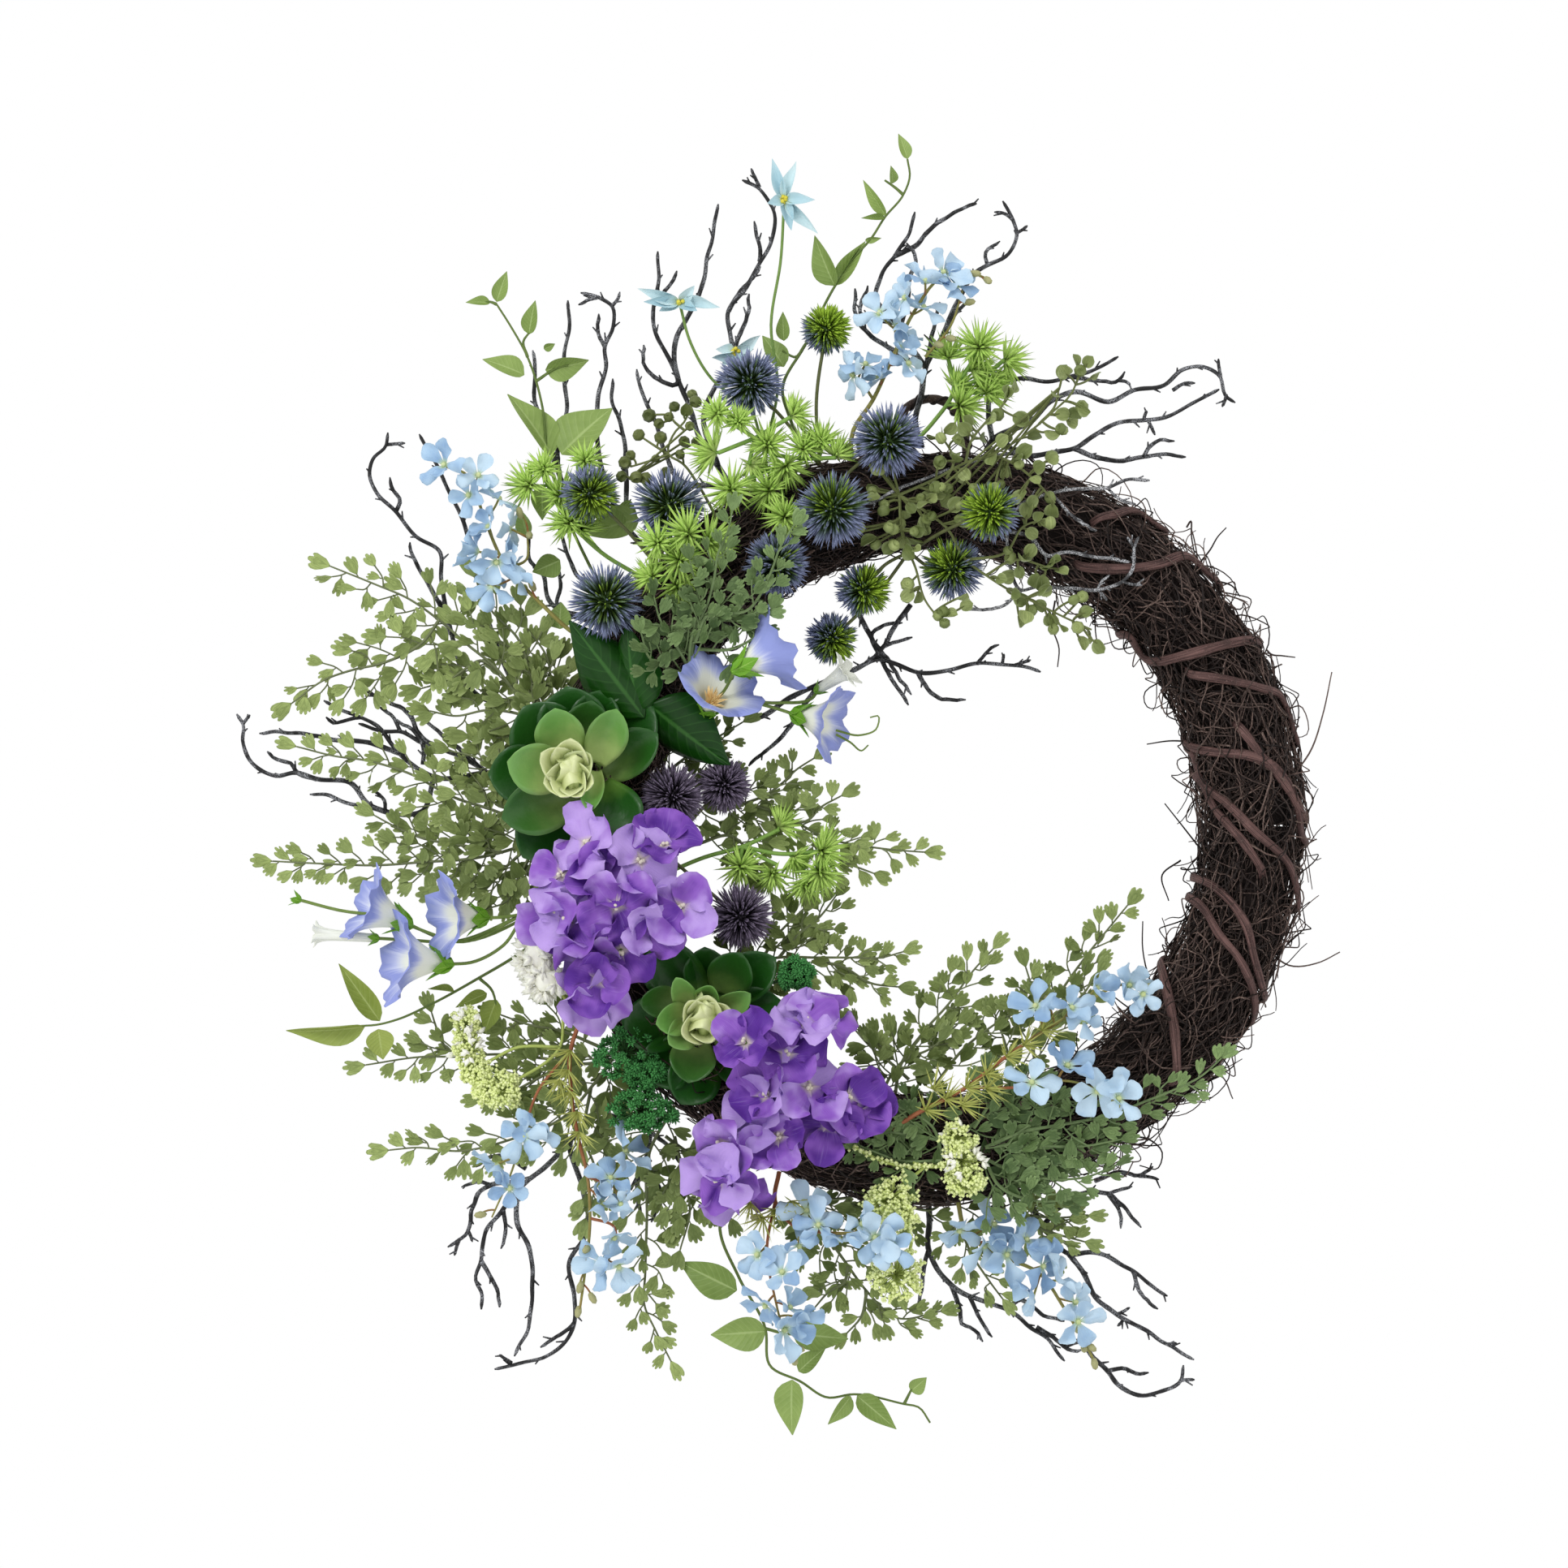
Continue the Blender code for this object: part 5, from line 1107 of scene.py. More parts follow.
# The olive sprays: thin forked stems with small round leaves and dimpled seeds, moulded in one go in soft
# plastic. One lies over the right of the top, and the other, nearly all seeds, stands at the left of the top.
SEED_STALK_RADIUS = 0.0007
ROUND_LEAF_SPRAYS = {
    "round_leaf_spray_right": ((1108, 610), (66, 76, 200), (
        ((1108, 610), (1153, 590), (1190, 570), (1223, 560), (1250, 545), (1280, 523), (1300, 505),
         (1319, 487), (1333, 450)),
        ((1108, 610), (1140, 630), (1166, 650), (1190, 690), (1215, 709), (1245, 728), (1274, 742),
         (1310, 760), (1345, 776)),
        ((1223, 560), (1250, 572), (1274, 591), (1300, 620)),
        ((1190, 570), (1196, 545), (1215, 520), (1235, 500), (1244, 484)),
        ((1215, 709), (1250, 690), (1294, 700)),
        ((1190, 690), (1240, 680), (1262, 648), (1296, 640)),
        ((1108, 610), (1112, 660), (1128, 700), (1140, 740), (1160, 766)),
        ((1280, 523), (1300, 500), (1305, 478)),
        ((1166, 590), (1175, 570), (1165, 545), (1155, 535)),
    ), (
        (1242, 486), (1253, 514), (1194, 521), (1176, 563), (1233, 546), (1271, 539), (1302, 488),
        (1333, 501), (1313, 460), (1348, 462), (1326, 446), (1296, 563), (1257, 558), (1274, 591),
        (1237, 581), (1153, 540), (1209, 540), (1229, 511), (1153, 601), (1148, 636), (1128, 654),
        (1114, 633), (1271, 620), (1294, 613), (1263, 647), (1294, 644), (1242, 679), (1268, 681),
        (1256, 703), (1294, 697), (1305, 704), (1277, 711), (1284, 728), (1254, 735), (1338, 755),
        (1323, 739), (1294, 762), (1308, 773), (1271, 752), (1256, 761), (1343, 783), (1331, 789),
        (1121, 731), (1131, 734), (1156, 759), (1164, 768), (1188, 747), (1232, 714), (1085, 580),
        (1090, 622), (1075, 605), (1100, 648), (1118, 676), (1135, 618), (1170, 614), (1180, 590),
        (1168, 530), (1185, 548), (1216, 566), (1226, 600), (1182, 640), (1200, 602), (1310, 530),
        (1318, 512), (1068, 555), (1079, 568), (1090, 556), (1158, 568), (1139, 613), (1160, 600),
        (1182, 618), (1253, 566), (1260, 608), (1279, 639), (1079, 613), (1058, 650), (1079, 671),
        (1100, 671), (1126, 655), (1142, 640), (1113, 664), (1095, 650),
    )),
    "seed_spray_left": ((884, 640), (50, 50, 200), (
        ((884, 640), (862, 600), (840, 570), (824, 560), (830, 535), (843, 520), (856, 486)),
        ((824, 560), (805, 548), (787, 536)),
        ((824, 560), (800, 568), (777, 575)),
        ((862, 600), (820, 600), (775, 590)),
        ((843, 530), (828, 515), (826, 500)),
    ), (
        (831, 501), (824, 514), (850, 525), (843, 544), (787, 536), (814, 539), (777, 561), (808, 565),
        (766, 587), (784, 588), (853, 486), (857, 495), (800, 512), (838, 560), (796, 590), (820, 582),
        (858, 545), (770, 570), (846, 508), (812, 522),
    )),
}


def bead_form():
    """A seed: a round bead with a dimple in its front."""
    rows, columns = 6, 8
    polar = np.repeat(math.pi * np.arange(rows) / (rows - 1), columns)
    turn = np.tile(math.tau * np.arange(columns) / columns, rows)
    ring = 0.5 * np.maximum(0.03, np.sin(polar))
    height = 0.42 * (np.cos(polar) - 0.55 * (polar == 0))
    here = np.arange((rows - 1) * columns)
    after = here // columns * columns + (here + 1) % columns
    faces = np.stack([here, here + columns, after + columns, after], axis=1)
    edge = polar / math.pi
    return np.stack([ring * np.cos(turn), ring * np.sin(turn), height], axis=1), faces, edge, edge


def round_leaf(u):
    return 0.5 * np.sqrt(np.maximum(0.002, 1 - (2 * u - 1) ** 2)) * (0.9 + 0.2 * u)


def stalked(rng, bunch, stems, place, heads, radius, lift, skin=1):
    """Gives each head a thin stalk from the nearest stem; returns the heads' places and the stalks' ways."""
    line = np.concatenate([flowing(stem, 24) for stem in stems])
    heads = np.asarray(heads, float)
    gaps = np.linalg.norm(heads[:, None] - line[None], axis=2)
    starts = place(line[np.maximum(0, gaps.argmin(axis=1) - 1)])
    ends = place(heads, lift)
    middle = (starts + ends) / 2 + rng.normal(0, 0.0015, starts.shape)
    share = np.linspace(0, 1, 6)[None, :, None]
    routes = (starts[:, None] * (1 - share) ** 2 + 2 * middle[:, None] * share * (1 - share)
              + ends[:, None] * share ** 2)
    sticks(bunch, routes, radius, 4, rng.random(len(heads)), skin)
    return ends, unit(ends - starts + rng.normal(0, 0.001, starts.shape))


def olive_spray(rng, root, outs, stems, heads, seeds):
    """One spray; seeds is the share of its heads that are seeds. A leafy one has two heads at each place."""
    bunch = Bunch()
    place = leaning(root, outs)
    for stem in stems:
        wire(bunch, place(flowing(stem, 26)), SEED_STALK_RADIUS, 5, 0.5, 1, taper=(1.4, 0.9))
    heads = np.asarray(heads, float)
    if seeds < 0.5:
        heads = np.concatenate([heads, heads + rng.normal(0, 8, heads.shape)])
    lift = rng.normal(0, 5, len(heads))
    ends, ways = stalked(rng, bunch, stems, place, heads, SEED_STALK_RADIUS, lift)
    seed = rng.random(len(heads)) < seeds
    faces = facing(rng, len(heads), 0.5)
    size = rng.uniform(6.2, 9.6, len(heads)) * MM * np.where(seed, 0.98, 1.05)
    plant(bunch, bead_form(), ends[seed], ways[seed], faces[seed], size[seed], size[seed],
          rng.random(seed.sum()))
    flat = ~seed
    blade = leaf_form(7, 5, round_leaf, cup=0.25, thick=0.04)
    plant(bunch, blade, ends[flat] - ways[flat] * 0.003, ways[flat], faces[flat], size[flat] * 1.15,
          size[flat], rng.random(flat.sum()))
    return bunch


OLIVE_RNG = np.random.default_rng(14)
OLIVE_FINISH = film_finish("olive_leaf", (0.095, 0.130, 0.032), (0.350, 0.415, 0.155),
                           (0.50, 0.58, 0.30), 0.45)
OLIVE_SEED_FINISH = film_finish("olive_seed", (0.040, 0.056, 0.012), (0.170, 0.200, 0.062),
                                (0.28, 0.33, 0.13), 0.45)
OLIVE_STALK_FINISH = rib_finish("olive_stalk", (0.075, 0.092, 0.028), (0.195, 0.225, 0.080))
for olive_name, olive_parts in ROUND_LEAF_SPRAYS.items():
    seedy = olive_name == "seed_spray_left"
    olive = olive_spray(OLIVE_RNG, *olive_parts, seeds=0.9 if seedy else 0.3)
    olive_finish = OLIVE_SEED_FINISH if seedy else OLIVE_FINISH
    olive = olive.make(olive_name + "_leaves", olive_finish, OLIVE_STALK_FINISH, crease=1.0)
    settle(olive, olive_name)

# The globe thistles: balls of moulded bristles on a stalk, several to a pick. The bristles are green at the
# core and slate blue at their tips. Some heads are still lime green, and those by the inner edge of the ring
# are dark purple.
THISTLE_STALK_RADIUS = 0.0011
BRISTLES = 560
BRISTLE_WIDTH = 0.00095
GOLDEN_TURN = 2.39996
PURPLE = -1
# Each head has its place, how far out it stands, its radius, its share of green and its greenest side.
THISTLES = {
    "thistles_left_top": ((812, 700), 50, (
        (727, 609, 58, 36, 0.50, (0.5, 0.4)),
        (825, 624, 56, 46, 0.22, (0, 0)),
        (747, 741, 74, 46, 0.26, (0, 0)),
    )),
    "thistles_top": ((1010, 574), 40, (
        (1018, 406, 40, 31, 0.72, (0.7, -0.7)),
        (924, 473, 52, 42, 0.16, (0, 0)),
    )),
    "thistles_middle": ((1000, 640), 60, (
        (1026, 628, 86, 46, 0.34, (0, -0.4)),
        (957, 695, 78, 40, 0.26, (0, 0)),
        (1094, 543, 78, 45, 0.20, (0, -0.2)),
    )),
    "thistles_right": ((1120, 680), 54, (
        (1174, 701, 62, 39, 0.50, (-0.6, -0.5)),
        (1220, 631, 98, 36, 0.60, (-0.4, -0.2)),
        (1064, 727, 58, 34, 0.56, (0.8, 0)),
        (1025, 787, 50, 32, 0.46, (0.6, 0.6)),
    )),
    "thistles_inner": ((818, 1050), 50, (
        (829, 982, 62, 40, PURPLE, (0, 0)),
        (892, 968, 52, 34, PURPLE, (0, 0)),
        (912, 1130, 56, 41, PURPLE, (0, 0)),
    )),
}


def needle_form(belly_at, belly):
    """A three-sided bristle of unit length that swells at its belly and ends in a point."""
    turns = math.tau * np.arange(3) / 3
    ring = np.stack([np.zeros(3), np.cos(turns) * 0.5, np.sin(turns) * 0.5], axis=1)
    swollen = ring * (1, belly, belly) + (belly_at, 0, 0)
    points = np.concatenate([ring, swollen, [[1, 0, 0]]])
    here, after = np.arange(3), (np.arange(3) + 1) % 3
    faces = np.concatenate([
        np.stack([here, after, after + 3], axis=1), np.stack([here, after + 3, here + 3], axis=1),
        np.stack([here + 3, after + 3, np.full(3, 6)], axis=1), [[2, 1, 0]]])
    along = np.concatenate([np.zeros(3), np.full(3, belly_at), [1]])
    return points, faces, along, np.zeros(7)


def bristles(bunch, rng, centre, start, end, count, width, form, skin, ahead=(0, -1, 0), spread=math.pi,
             fresh=None):
    """Bristles from start to end metres from a centre; ahead and spread keep them to one side, and fresh is
    the share of green with the side that is greenest."""
    order = np.arange(count) + 0.5
    height = 1 - (1 - math.cos(spread)) * order / count
    ring = np.sqrt(np.maximum(0, 1 - height ** 2))
    axis = unit(np.asarray(ahead, float))
    side = unit(np.cross(axis, (0.3, 0.2, 0.9)))
    ways = np.stack([ring * np.cos(order * GOLDEN_TURN), ring * np.sin(order * GOLDEN_TURN), height], axis=1)
    ways = unit(ways @ np.stack([side, np.cross(axis, side), axis]) + rng.normal(0, 0.12, (count, 3)))
    reach = end * rng.uniform(0.78, 1.06, count)
    tones = rng.random(count)
    if fresh is not None:
        share, toward = fresh
        greenest = unit(np.array([toward[0], -0.8, -toward[1]]))
        tones = share + 0.38 * (ways @ greenest) + rng.normal(0, 0.12, count)
    plant(bunch, form, centre + ways * start, ways, (0.31, 0.2, 0.93), reach - start, width, tones, skin,
          depths=width)


def ball_form():
    """A plain round core of unit size."""
    points, faces, along, edge = bead_form()
    rounded = unit(points + (0, 0, 1e-6)) * 0.5
    rounded[:8] = (0, 0, 0.5)
    return rounded, faces, along, edge


def beads(bunch, places, size, tones, skin):
    """Small round beads, all the same way up."""
    plant(bunch, ball_form(), places, (1, 0, 0), (0, 0, 1), size, size, tones, skin)


def bent(rng, start, end, steps):
    """A stalk's route, which bends a little to one side."""
    return flowing([start, (start + end) / 2 + rng.normal(0, 0.003, 3), end], steps)


def thistle(bunch, rng, foot, x, y, out, radius, green, toward):
    """One head on its stalk; radius is in picture points."""
    middle = spot((x, y), out)
    wire(bunch, bent(rng, foot, middle, 20), THISTLE_STALK_RADIUS, 7, 0.5)
    skin = 2 if green == PURPLE else 1
    radius = radius * POINT
    plant(bunch, ball_form(), middle, (1, 0, 0), (0, -1, 0), radius * 0.7, radius * 0.7, 0.2, skin)
    bristles(bunch, rng, middle, radius * 0.28, radius * 1.07, BRISTLES, BRISTLE_WIDTH,
             needle_form(0.8, 1.25), skin, fresh=(green, toward))


def thistle_finish():
    """Slate blue bristles with a green foot; where tone is high they are lime green nearly to the tip."""
    finish = Finish("thistle_bristles", 0.6)
    along, tone = finish.value("along"), finish.value("tone")
    green = finish.blend((0.050, 0.105, 0.024), (0.340, 0.520, 0.045), finish.window(tone, 0.52, 1.0))
    blue = finish.blend((0.120, 0.145, 0.270), (0.340, 0.385, 0.580), finish.noise(620))
    tip = finish.blend(blue, green, finish.window(tone - along * 0.2, 0.22, 0.60))
    return finish.coat(finish.blend(green, tip, finish.window(along, 0.35, 0.75)))


def purple_finish():
    finish = Finish("purple_bristles", 0.6)
    tip = finish.blend((0.070, 0.055, 0.088), (0.290, 0.235, 0.340), finish.noise(620))
    share = finish.window(finish.value("along"), 0.1, 0.7)
    return finish.coat(finish.blend((0.026, 0.020, 0.030), tip, share))


THISTLE_RNG = np.random.default_rng(17)
THISTLE_FINISHES = (rib_finish("thistle_stalk", (0.055, 0.068, 0.024), (0.150, 0.165, 0.062)),
                    thistle_finish(), purple_finish())
for pick_name, (pick_root, pick_out, pick_heads) in THISTLES.items():
    pick = Bunch()
    for pick_head in pick_heads:
        thistle(pick, THISTLE_RNG, spot(pick_root, pick_out), *pick_head)
    settle(pick.make(pick_name + "_bristles", *THISTLE_FINISHES), pick_name)

# The succulents: rosettes of thick moulded leaves, cream at the heart and dark green at the outside, each
# with a small point and a thin pale edge. The leaves are pushed one ring after another onto a short stalk.
SUCCULENT_CORE = (0.015, 0.013)
SUCCULENT_STALK_RADIUS = 0.007
HEART_RING = 0
BUD_RING = 4
# Each leaf has its base, its tip, its width and its ring, counted from the heart. Ring 4 is the buds that
# fold over the very middle, and ring 5 a leaf that lies over the outer ones.
SUCCULENTS = {
    "succulent_upper": ((708, 955), (
        ((715, 940), (700, 846), 84, 3), ((700, 935), (646, 870), 84, 3), ((690, 955), (602, 954), 72, 3),
        ((704, 985), (644, 1056), 74, 3), ((740, 930), (806, 872), 74, 3), ((724, 940), (744, 850), 64, 3),
        ((738, 968), (778, 1034), 66, 5),
        ((716, 935), (730, 862), 62, 2), ((742, 955), (812, 904), 56, 2), ((716, 976), (618, 1008), 66, 2),
        ((700, 955), (624, 938), 62, 1), ((698, 935), (684, 871), 60, 1), ((734, 940), (760, 872), 50, 1),
        ((734, 950), (727, 1002), 30, 1),
        ((706, 950), (705, 902), 46, 0), ((700, 952), (660, 924), 44, 0), ((702, 958), (662, 966), 42, 0),
        ((704, 958), (688, 990), 44, 0), ((706, 958), (722, 988), 36, 0), ((708, 956), (740, 966), 40, 0),
        ((708, 952), (734, 924), 40, 0),
        ((684, 966), (704, 938), 30, 4), ((716, 976), (700, 946), 32, 4), ((724, 946), (700, 946), 30, 4),
        ((694, 928), (702, 956), 30, 4), ((702, 980), (706, 944), 26, 4),
    )),
    "succulent_lower": ((866, 1258), (
        ((866, 1240), (800, 1164), 70, 3), ((880, 1235), (956, 1180), 58, 3),
        ((880, 1262), (962, 1232), 62, 3), ((850, 1265), (766, 1258), 70, 3),
        ((850, 1285), (796, 1330), 66, 3), ((870, 1290), (838, 1360), 66, 3),
        ((885, 1285), (934, 1330), 60, 3), ((872, 1230), (868, 1166), 56, 3),
        ((890, 1225), (914, 1172), 56, 2), ((840, 1235), (786, 1236), 40, 2),
        ((858, 1280), (848, 1336), 56, 2), ((885, 1275), (925, 1290), 44, 2),
        ((850, 1250), (806, 1262), 40, 1), ((850, 1240), (832, 1202), 30, 1),
        ((870, 1235), (878, 1212), 34, 1), ((880, 1245), (926, 1222), 34, 1),
        ((850, 1265), (822, 1288), 40, 1), ((890, 1262), (924, 1262), 34, 1),
        ((862, 1256), (844, 1226), 38, 0), ((868, 1256), (874, 1218), 44, 0),
        ((876, 1258), (908, 1240), 38, 0), ((860, 1264), (832, 1276), 40, 0),
        ((872, 1266), (880, 1292), 40, 0), ((852, 1266), (868, 1244), 32, 4),
        ((886, 1262), (868, 1252), 32, 4), ((872, 1236), (868, 1258), 32, 4),
        ((866, 1278), (868, 1250), 30, 4),
    )),
}
RING_OUTS = ((72, 92), (69, 91), (56, 78), (47, 62), (82, 98), (66, 84))
RING_LEANS = (0.9, 0.7, 0.45, 0.1, 0.9, 0.3)
RING_TONES = (0.1, 0.42, 0.72, 1.0, 0.02, 0.95)


def spoon(u):
    """A leaf that is widest past its middle, with a blunt end that carries a small point."""
    low = 0.46 + 0.54 * np.sin(np.pi / 2 * np.minimum(1, u / 0.62))
    high = np.maximum(0, 1 - (np.maximum(0, u - 0.62) / 0.36) ** 2.3) ** 0.66
    return np.maximum(0.5 * low * high, 0.12 * (1 - u)) + 0.008


def succulent(rng, centre, leaves):
    bunch = Bunch()
    outer = leaf_form(17, 9, spoon, cup=0.22, bend=0.08, thick=0.035)
    forms = {HEART_RING: leaf_form(13, 9, spoon, cup=0.34, bend=0.22, thick=0.05),
             BUD_RING: leaf_form(13, 9, spoon, cup=-0.60, bend=-0.26, thick=0.05)}
    for base, tip, width, ring in leaves:
        low, high = RING_OUTS[ring]
        start = spot(base, low)
        growth = spot(tip, high) - start
        face = np.array([0, -1, 0]) - unit(growth * (1, 0, 1)) * RING_LEANS[ring] + rng.normal(0, 0.08, 3)
        plant(bunch, forms.get(ring, outer), start, growth, face, np.linalg.norm(growth) * 1.03,
              width * POINT, RING_TONES[ring] + rng.normal(0, 0.05))
    plant(bunch, ball_form(), spot(centre, 78), (1, 0, 0), (0, 0, 1), *SUCCULENT_CORE, 0.1)
    wire(bunch, flowing([spot(centre, 34), spot(centre, 68)], 6), SUCCULENT_STALK_RADIUS, 10, 1.0)
    return bunch


def succulent_finish():
    finish = Finish("succulent", 0.34, 0.4)
    tone, edge, along = finish.value("tone"), finish.value("edge"), finish.value("along")
    cloud = finish.noise(70, 3)
    heart, middle, outer = (
        finish.blend(foot, tip, finish.window(along + cloud * cloudy, low, high))
        for foot, tip, cloudy, low, high in (
            ((0.43, 0.53, 0.20), (0.66, 0.71, 0.38), 0.4, 0.2, 0.9),
            ((0.42, 0.54, 0.19), (0.125, 0.300, 0.062), 0.5, 0.35, 1.1),
            ((0.090, 0.200, 0.030), (0.010, 0.075, 0.006), 0.8, 0.35, 0.95),
        ))
    colour = finish.blend(heart, middle, finish.window(tone, 0.15, 0.42))
    colour = finish.blend(colour, outer, finish.window(tone + along * 0.12, 0.52, 0.92))
    pale_edge = finish.window(edge, 0.94, 1.0) * finish.window(tone, 0.9, 0.4) * 0.3
    colour = finish.blend(colour, (0.24, 0.40, 0.12), pale_edge)
    return finish.coat(colour, relief=finish.noise(160), depth=0.7)


SUCCULENT_RNG = np.random.default_rng(4)
SUCCULENT_FINISH = succulent_finish()
for rosette_name, rosette_parts in SUCCULENTS.items():
    rosette = succulent(SUCCULENT_RNG, *rosette_parts).make(rosette_name + "_leaves", SUCCULENT_FINISH)
    settle(rosette, rosette_name)

# The hydrangeas: loose heads of violet cloth florets on thin green stalks. A floret is one stamping of four
# broad petals, pressed so that they cup and ruffle, with small cream beads at its centre.
PETAL_LENGTH = 0.0232
PETAL_SHAPES = ((0.22, 0.16, 0.20), (-0.20, -0.16, 0.26), (0.34, -0.10, 0.16), (0.08, 0.24, -0.24))
FLORET_STALK_RADIUS = 0.0008
FLORET_BEAD = 0.0026
HYDRANGEAS = {
    "hydrangea_upper": ((752, 1112, 70), (
        (760, 1116, 108), (736, 1207, 98), (700, 1135, 98), (789, 1060, 100), (722, 1040, 98),
        (838, 1118, 98), (684, 1126, 92), (692, 1078, 92), (818, 1040, 92), (765, 1170, 96),
        (742, 1085, 98), (800, 1140, 100), (722, 1180, 92), (735, 1232, 90),
    )),
    "hydrangea_lower": ((962, 1355, 70), (
        (919, 1285, 112), (969, 1300, 106), (992, 1258, 104), (997, 1339, 106), (1044, 1352, 98),
        (944, 1350, 106), (892, 1410, 96), (886, 1452, 92), (1012, 1258, 98), (960, 1400, 98),
        (1020, 1385, 92), (930, 1370, 98), (905, 1465, 88), (1055, 1370, 90),
    )),
}


def petal_outline(swell, end, blunt):
    """A petal's half width along it: a higher swell puts its widest place nearer to its tip."""
    return lambda u: 0.5 * np.sin(np.pi * np.clip(u, 0, 1) ** swell * end + 0.02) ** blunt + 0.02


def floret(bunch, rng, forms, centre, face, petals, length, width, openness):
    """A ring of petals round a centre that looks to face; openness 1 is flat and 0 is shut."""
    face = unit(face)
    side = unit(np.cross(face, rng.normal(0, 1, 3)))
    other = np.cross(face, side)
    tone = rng.random()
    for number in range(petals):
        turn = math.tau * (number + rng.normal(0, 0.06)) / petals
        way = side * math.cos(turn) + other * math.sin(turn)
        rise = 1 - openness + rng.normal(0, 0.14)
        size = length * rng.uniform(0.86, 1.14)
        plant(bunch, forms[rng.integers(len(forms))], centre + way * length * 0.04, way + face * rise,
              unit(face - way * rise), size, width * rng.uniform(0.86, 1.14),
              np.clip(tone + rng.normal(0, 0.22), 0, 1))


def hydrangea(rng, core, florets):
    bunch = Bunch()
    centre = spot(core[:2], core[2] - 22)
    forms = [leaf_form(11, 9, petal_outline(1.3, 0.97, 0.55), cup=cup, bend=bend, ripple=ripple, thick=0.008)
             for cup, bend, ripple in PETAL_SHAPES]
    for x, y, out in florets:
        place = spot((x, y), out - 4)
        face = unit(place - centre) + (0, -0.6, 0) + rng.normal(0, 0.32, 3)
        wire(bunch, bent(rng, centre, place, 9), FLORET_STALK_RADIUS, 5, 0.5, 1)
        floret(bunch, rng, forms, place, face, 4, PETAL_LENGTH, PETAL_LENGTH * 1.04, rng.uniform(0.5, 0.95))
        beads(bunch, place + unit(face) * 0.0016 + rng.normal(0, 0.0011, (4, 3)), FLORET_BEAD, 0.5, 2)
    return bunch


def petal_finish(name, deep, mid, pale, heart, reach):
    """Dyed cloth: cloudy colour, paler to one side of a petal, with fine veins from a lighter base."""
    finish = Finish(name, 0.6)
    along, tone = finish.value("along"), finish.value("tone")
    wash = finish.noise(58, 2) * 1.3 + tone * 0.7 + finish.value("edge") * 0.16 - 0.22
    colour = finish.blend(deep, mid, finish.window(wash, 0.40, 0.80))
    colour = finish.blend(colour, pale, finish.window(wash, 0.76, 1.15))
    veins = finish.streaks(16, 1.2)
    colour = finish.blend(colour, pale, finish.window(veins, 0.55, 0.75) * 0.22)
    colour = finish.blend(heart, colour, finish.window(along, 0.0, reach))
    return finish.coat(colour, relief=veins + finish.noise(500) * 0.3, depth=0.5)


HYDRANGEA_RNG = np.random.default_rng(9)
HYDRANGEA_FINISHES = (
    petal_finish("hydrangea_petal", (0.105, 0.028, 0.30), (0.255, 0.100, 0.50), (0.47, 0.32, 0.72),
                 (0.60, 0.52, 0.48), 0.2),
    rib_finish("hydrangea_stalk", (0.12, 0.20, 0.05), (0.24, 0.34, 0.10)),
    rib_finish("hydrangea_bead", (0.68, 0.62, 0.46), (0.86, 0.82, 0.68)),
)
for head_name, head_parts in HYDRANGEAS.items():
    head = hydrangea(HYDRANGEA_RNG, *head_parts).make(head_name + "_petals", *HYDRANGEA_FINISHES, crease=1.0)
    settle(head, head_name)

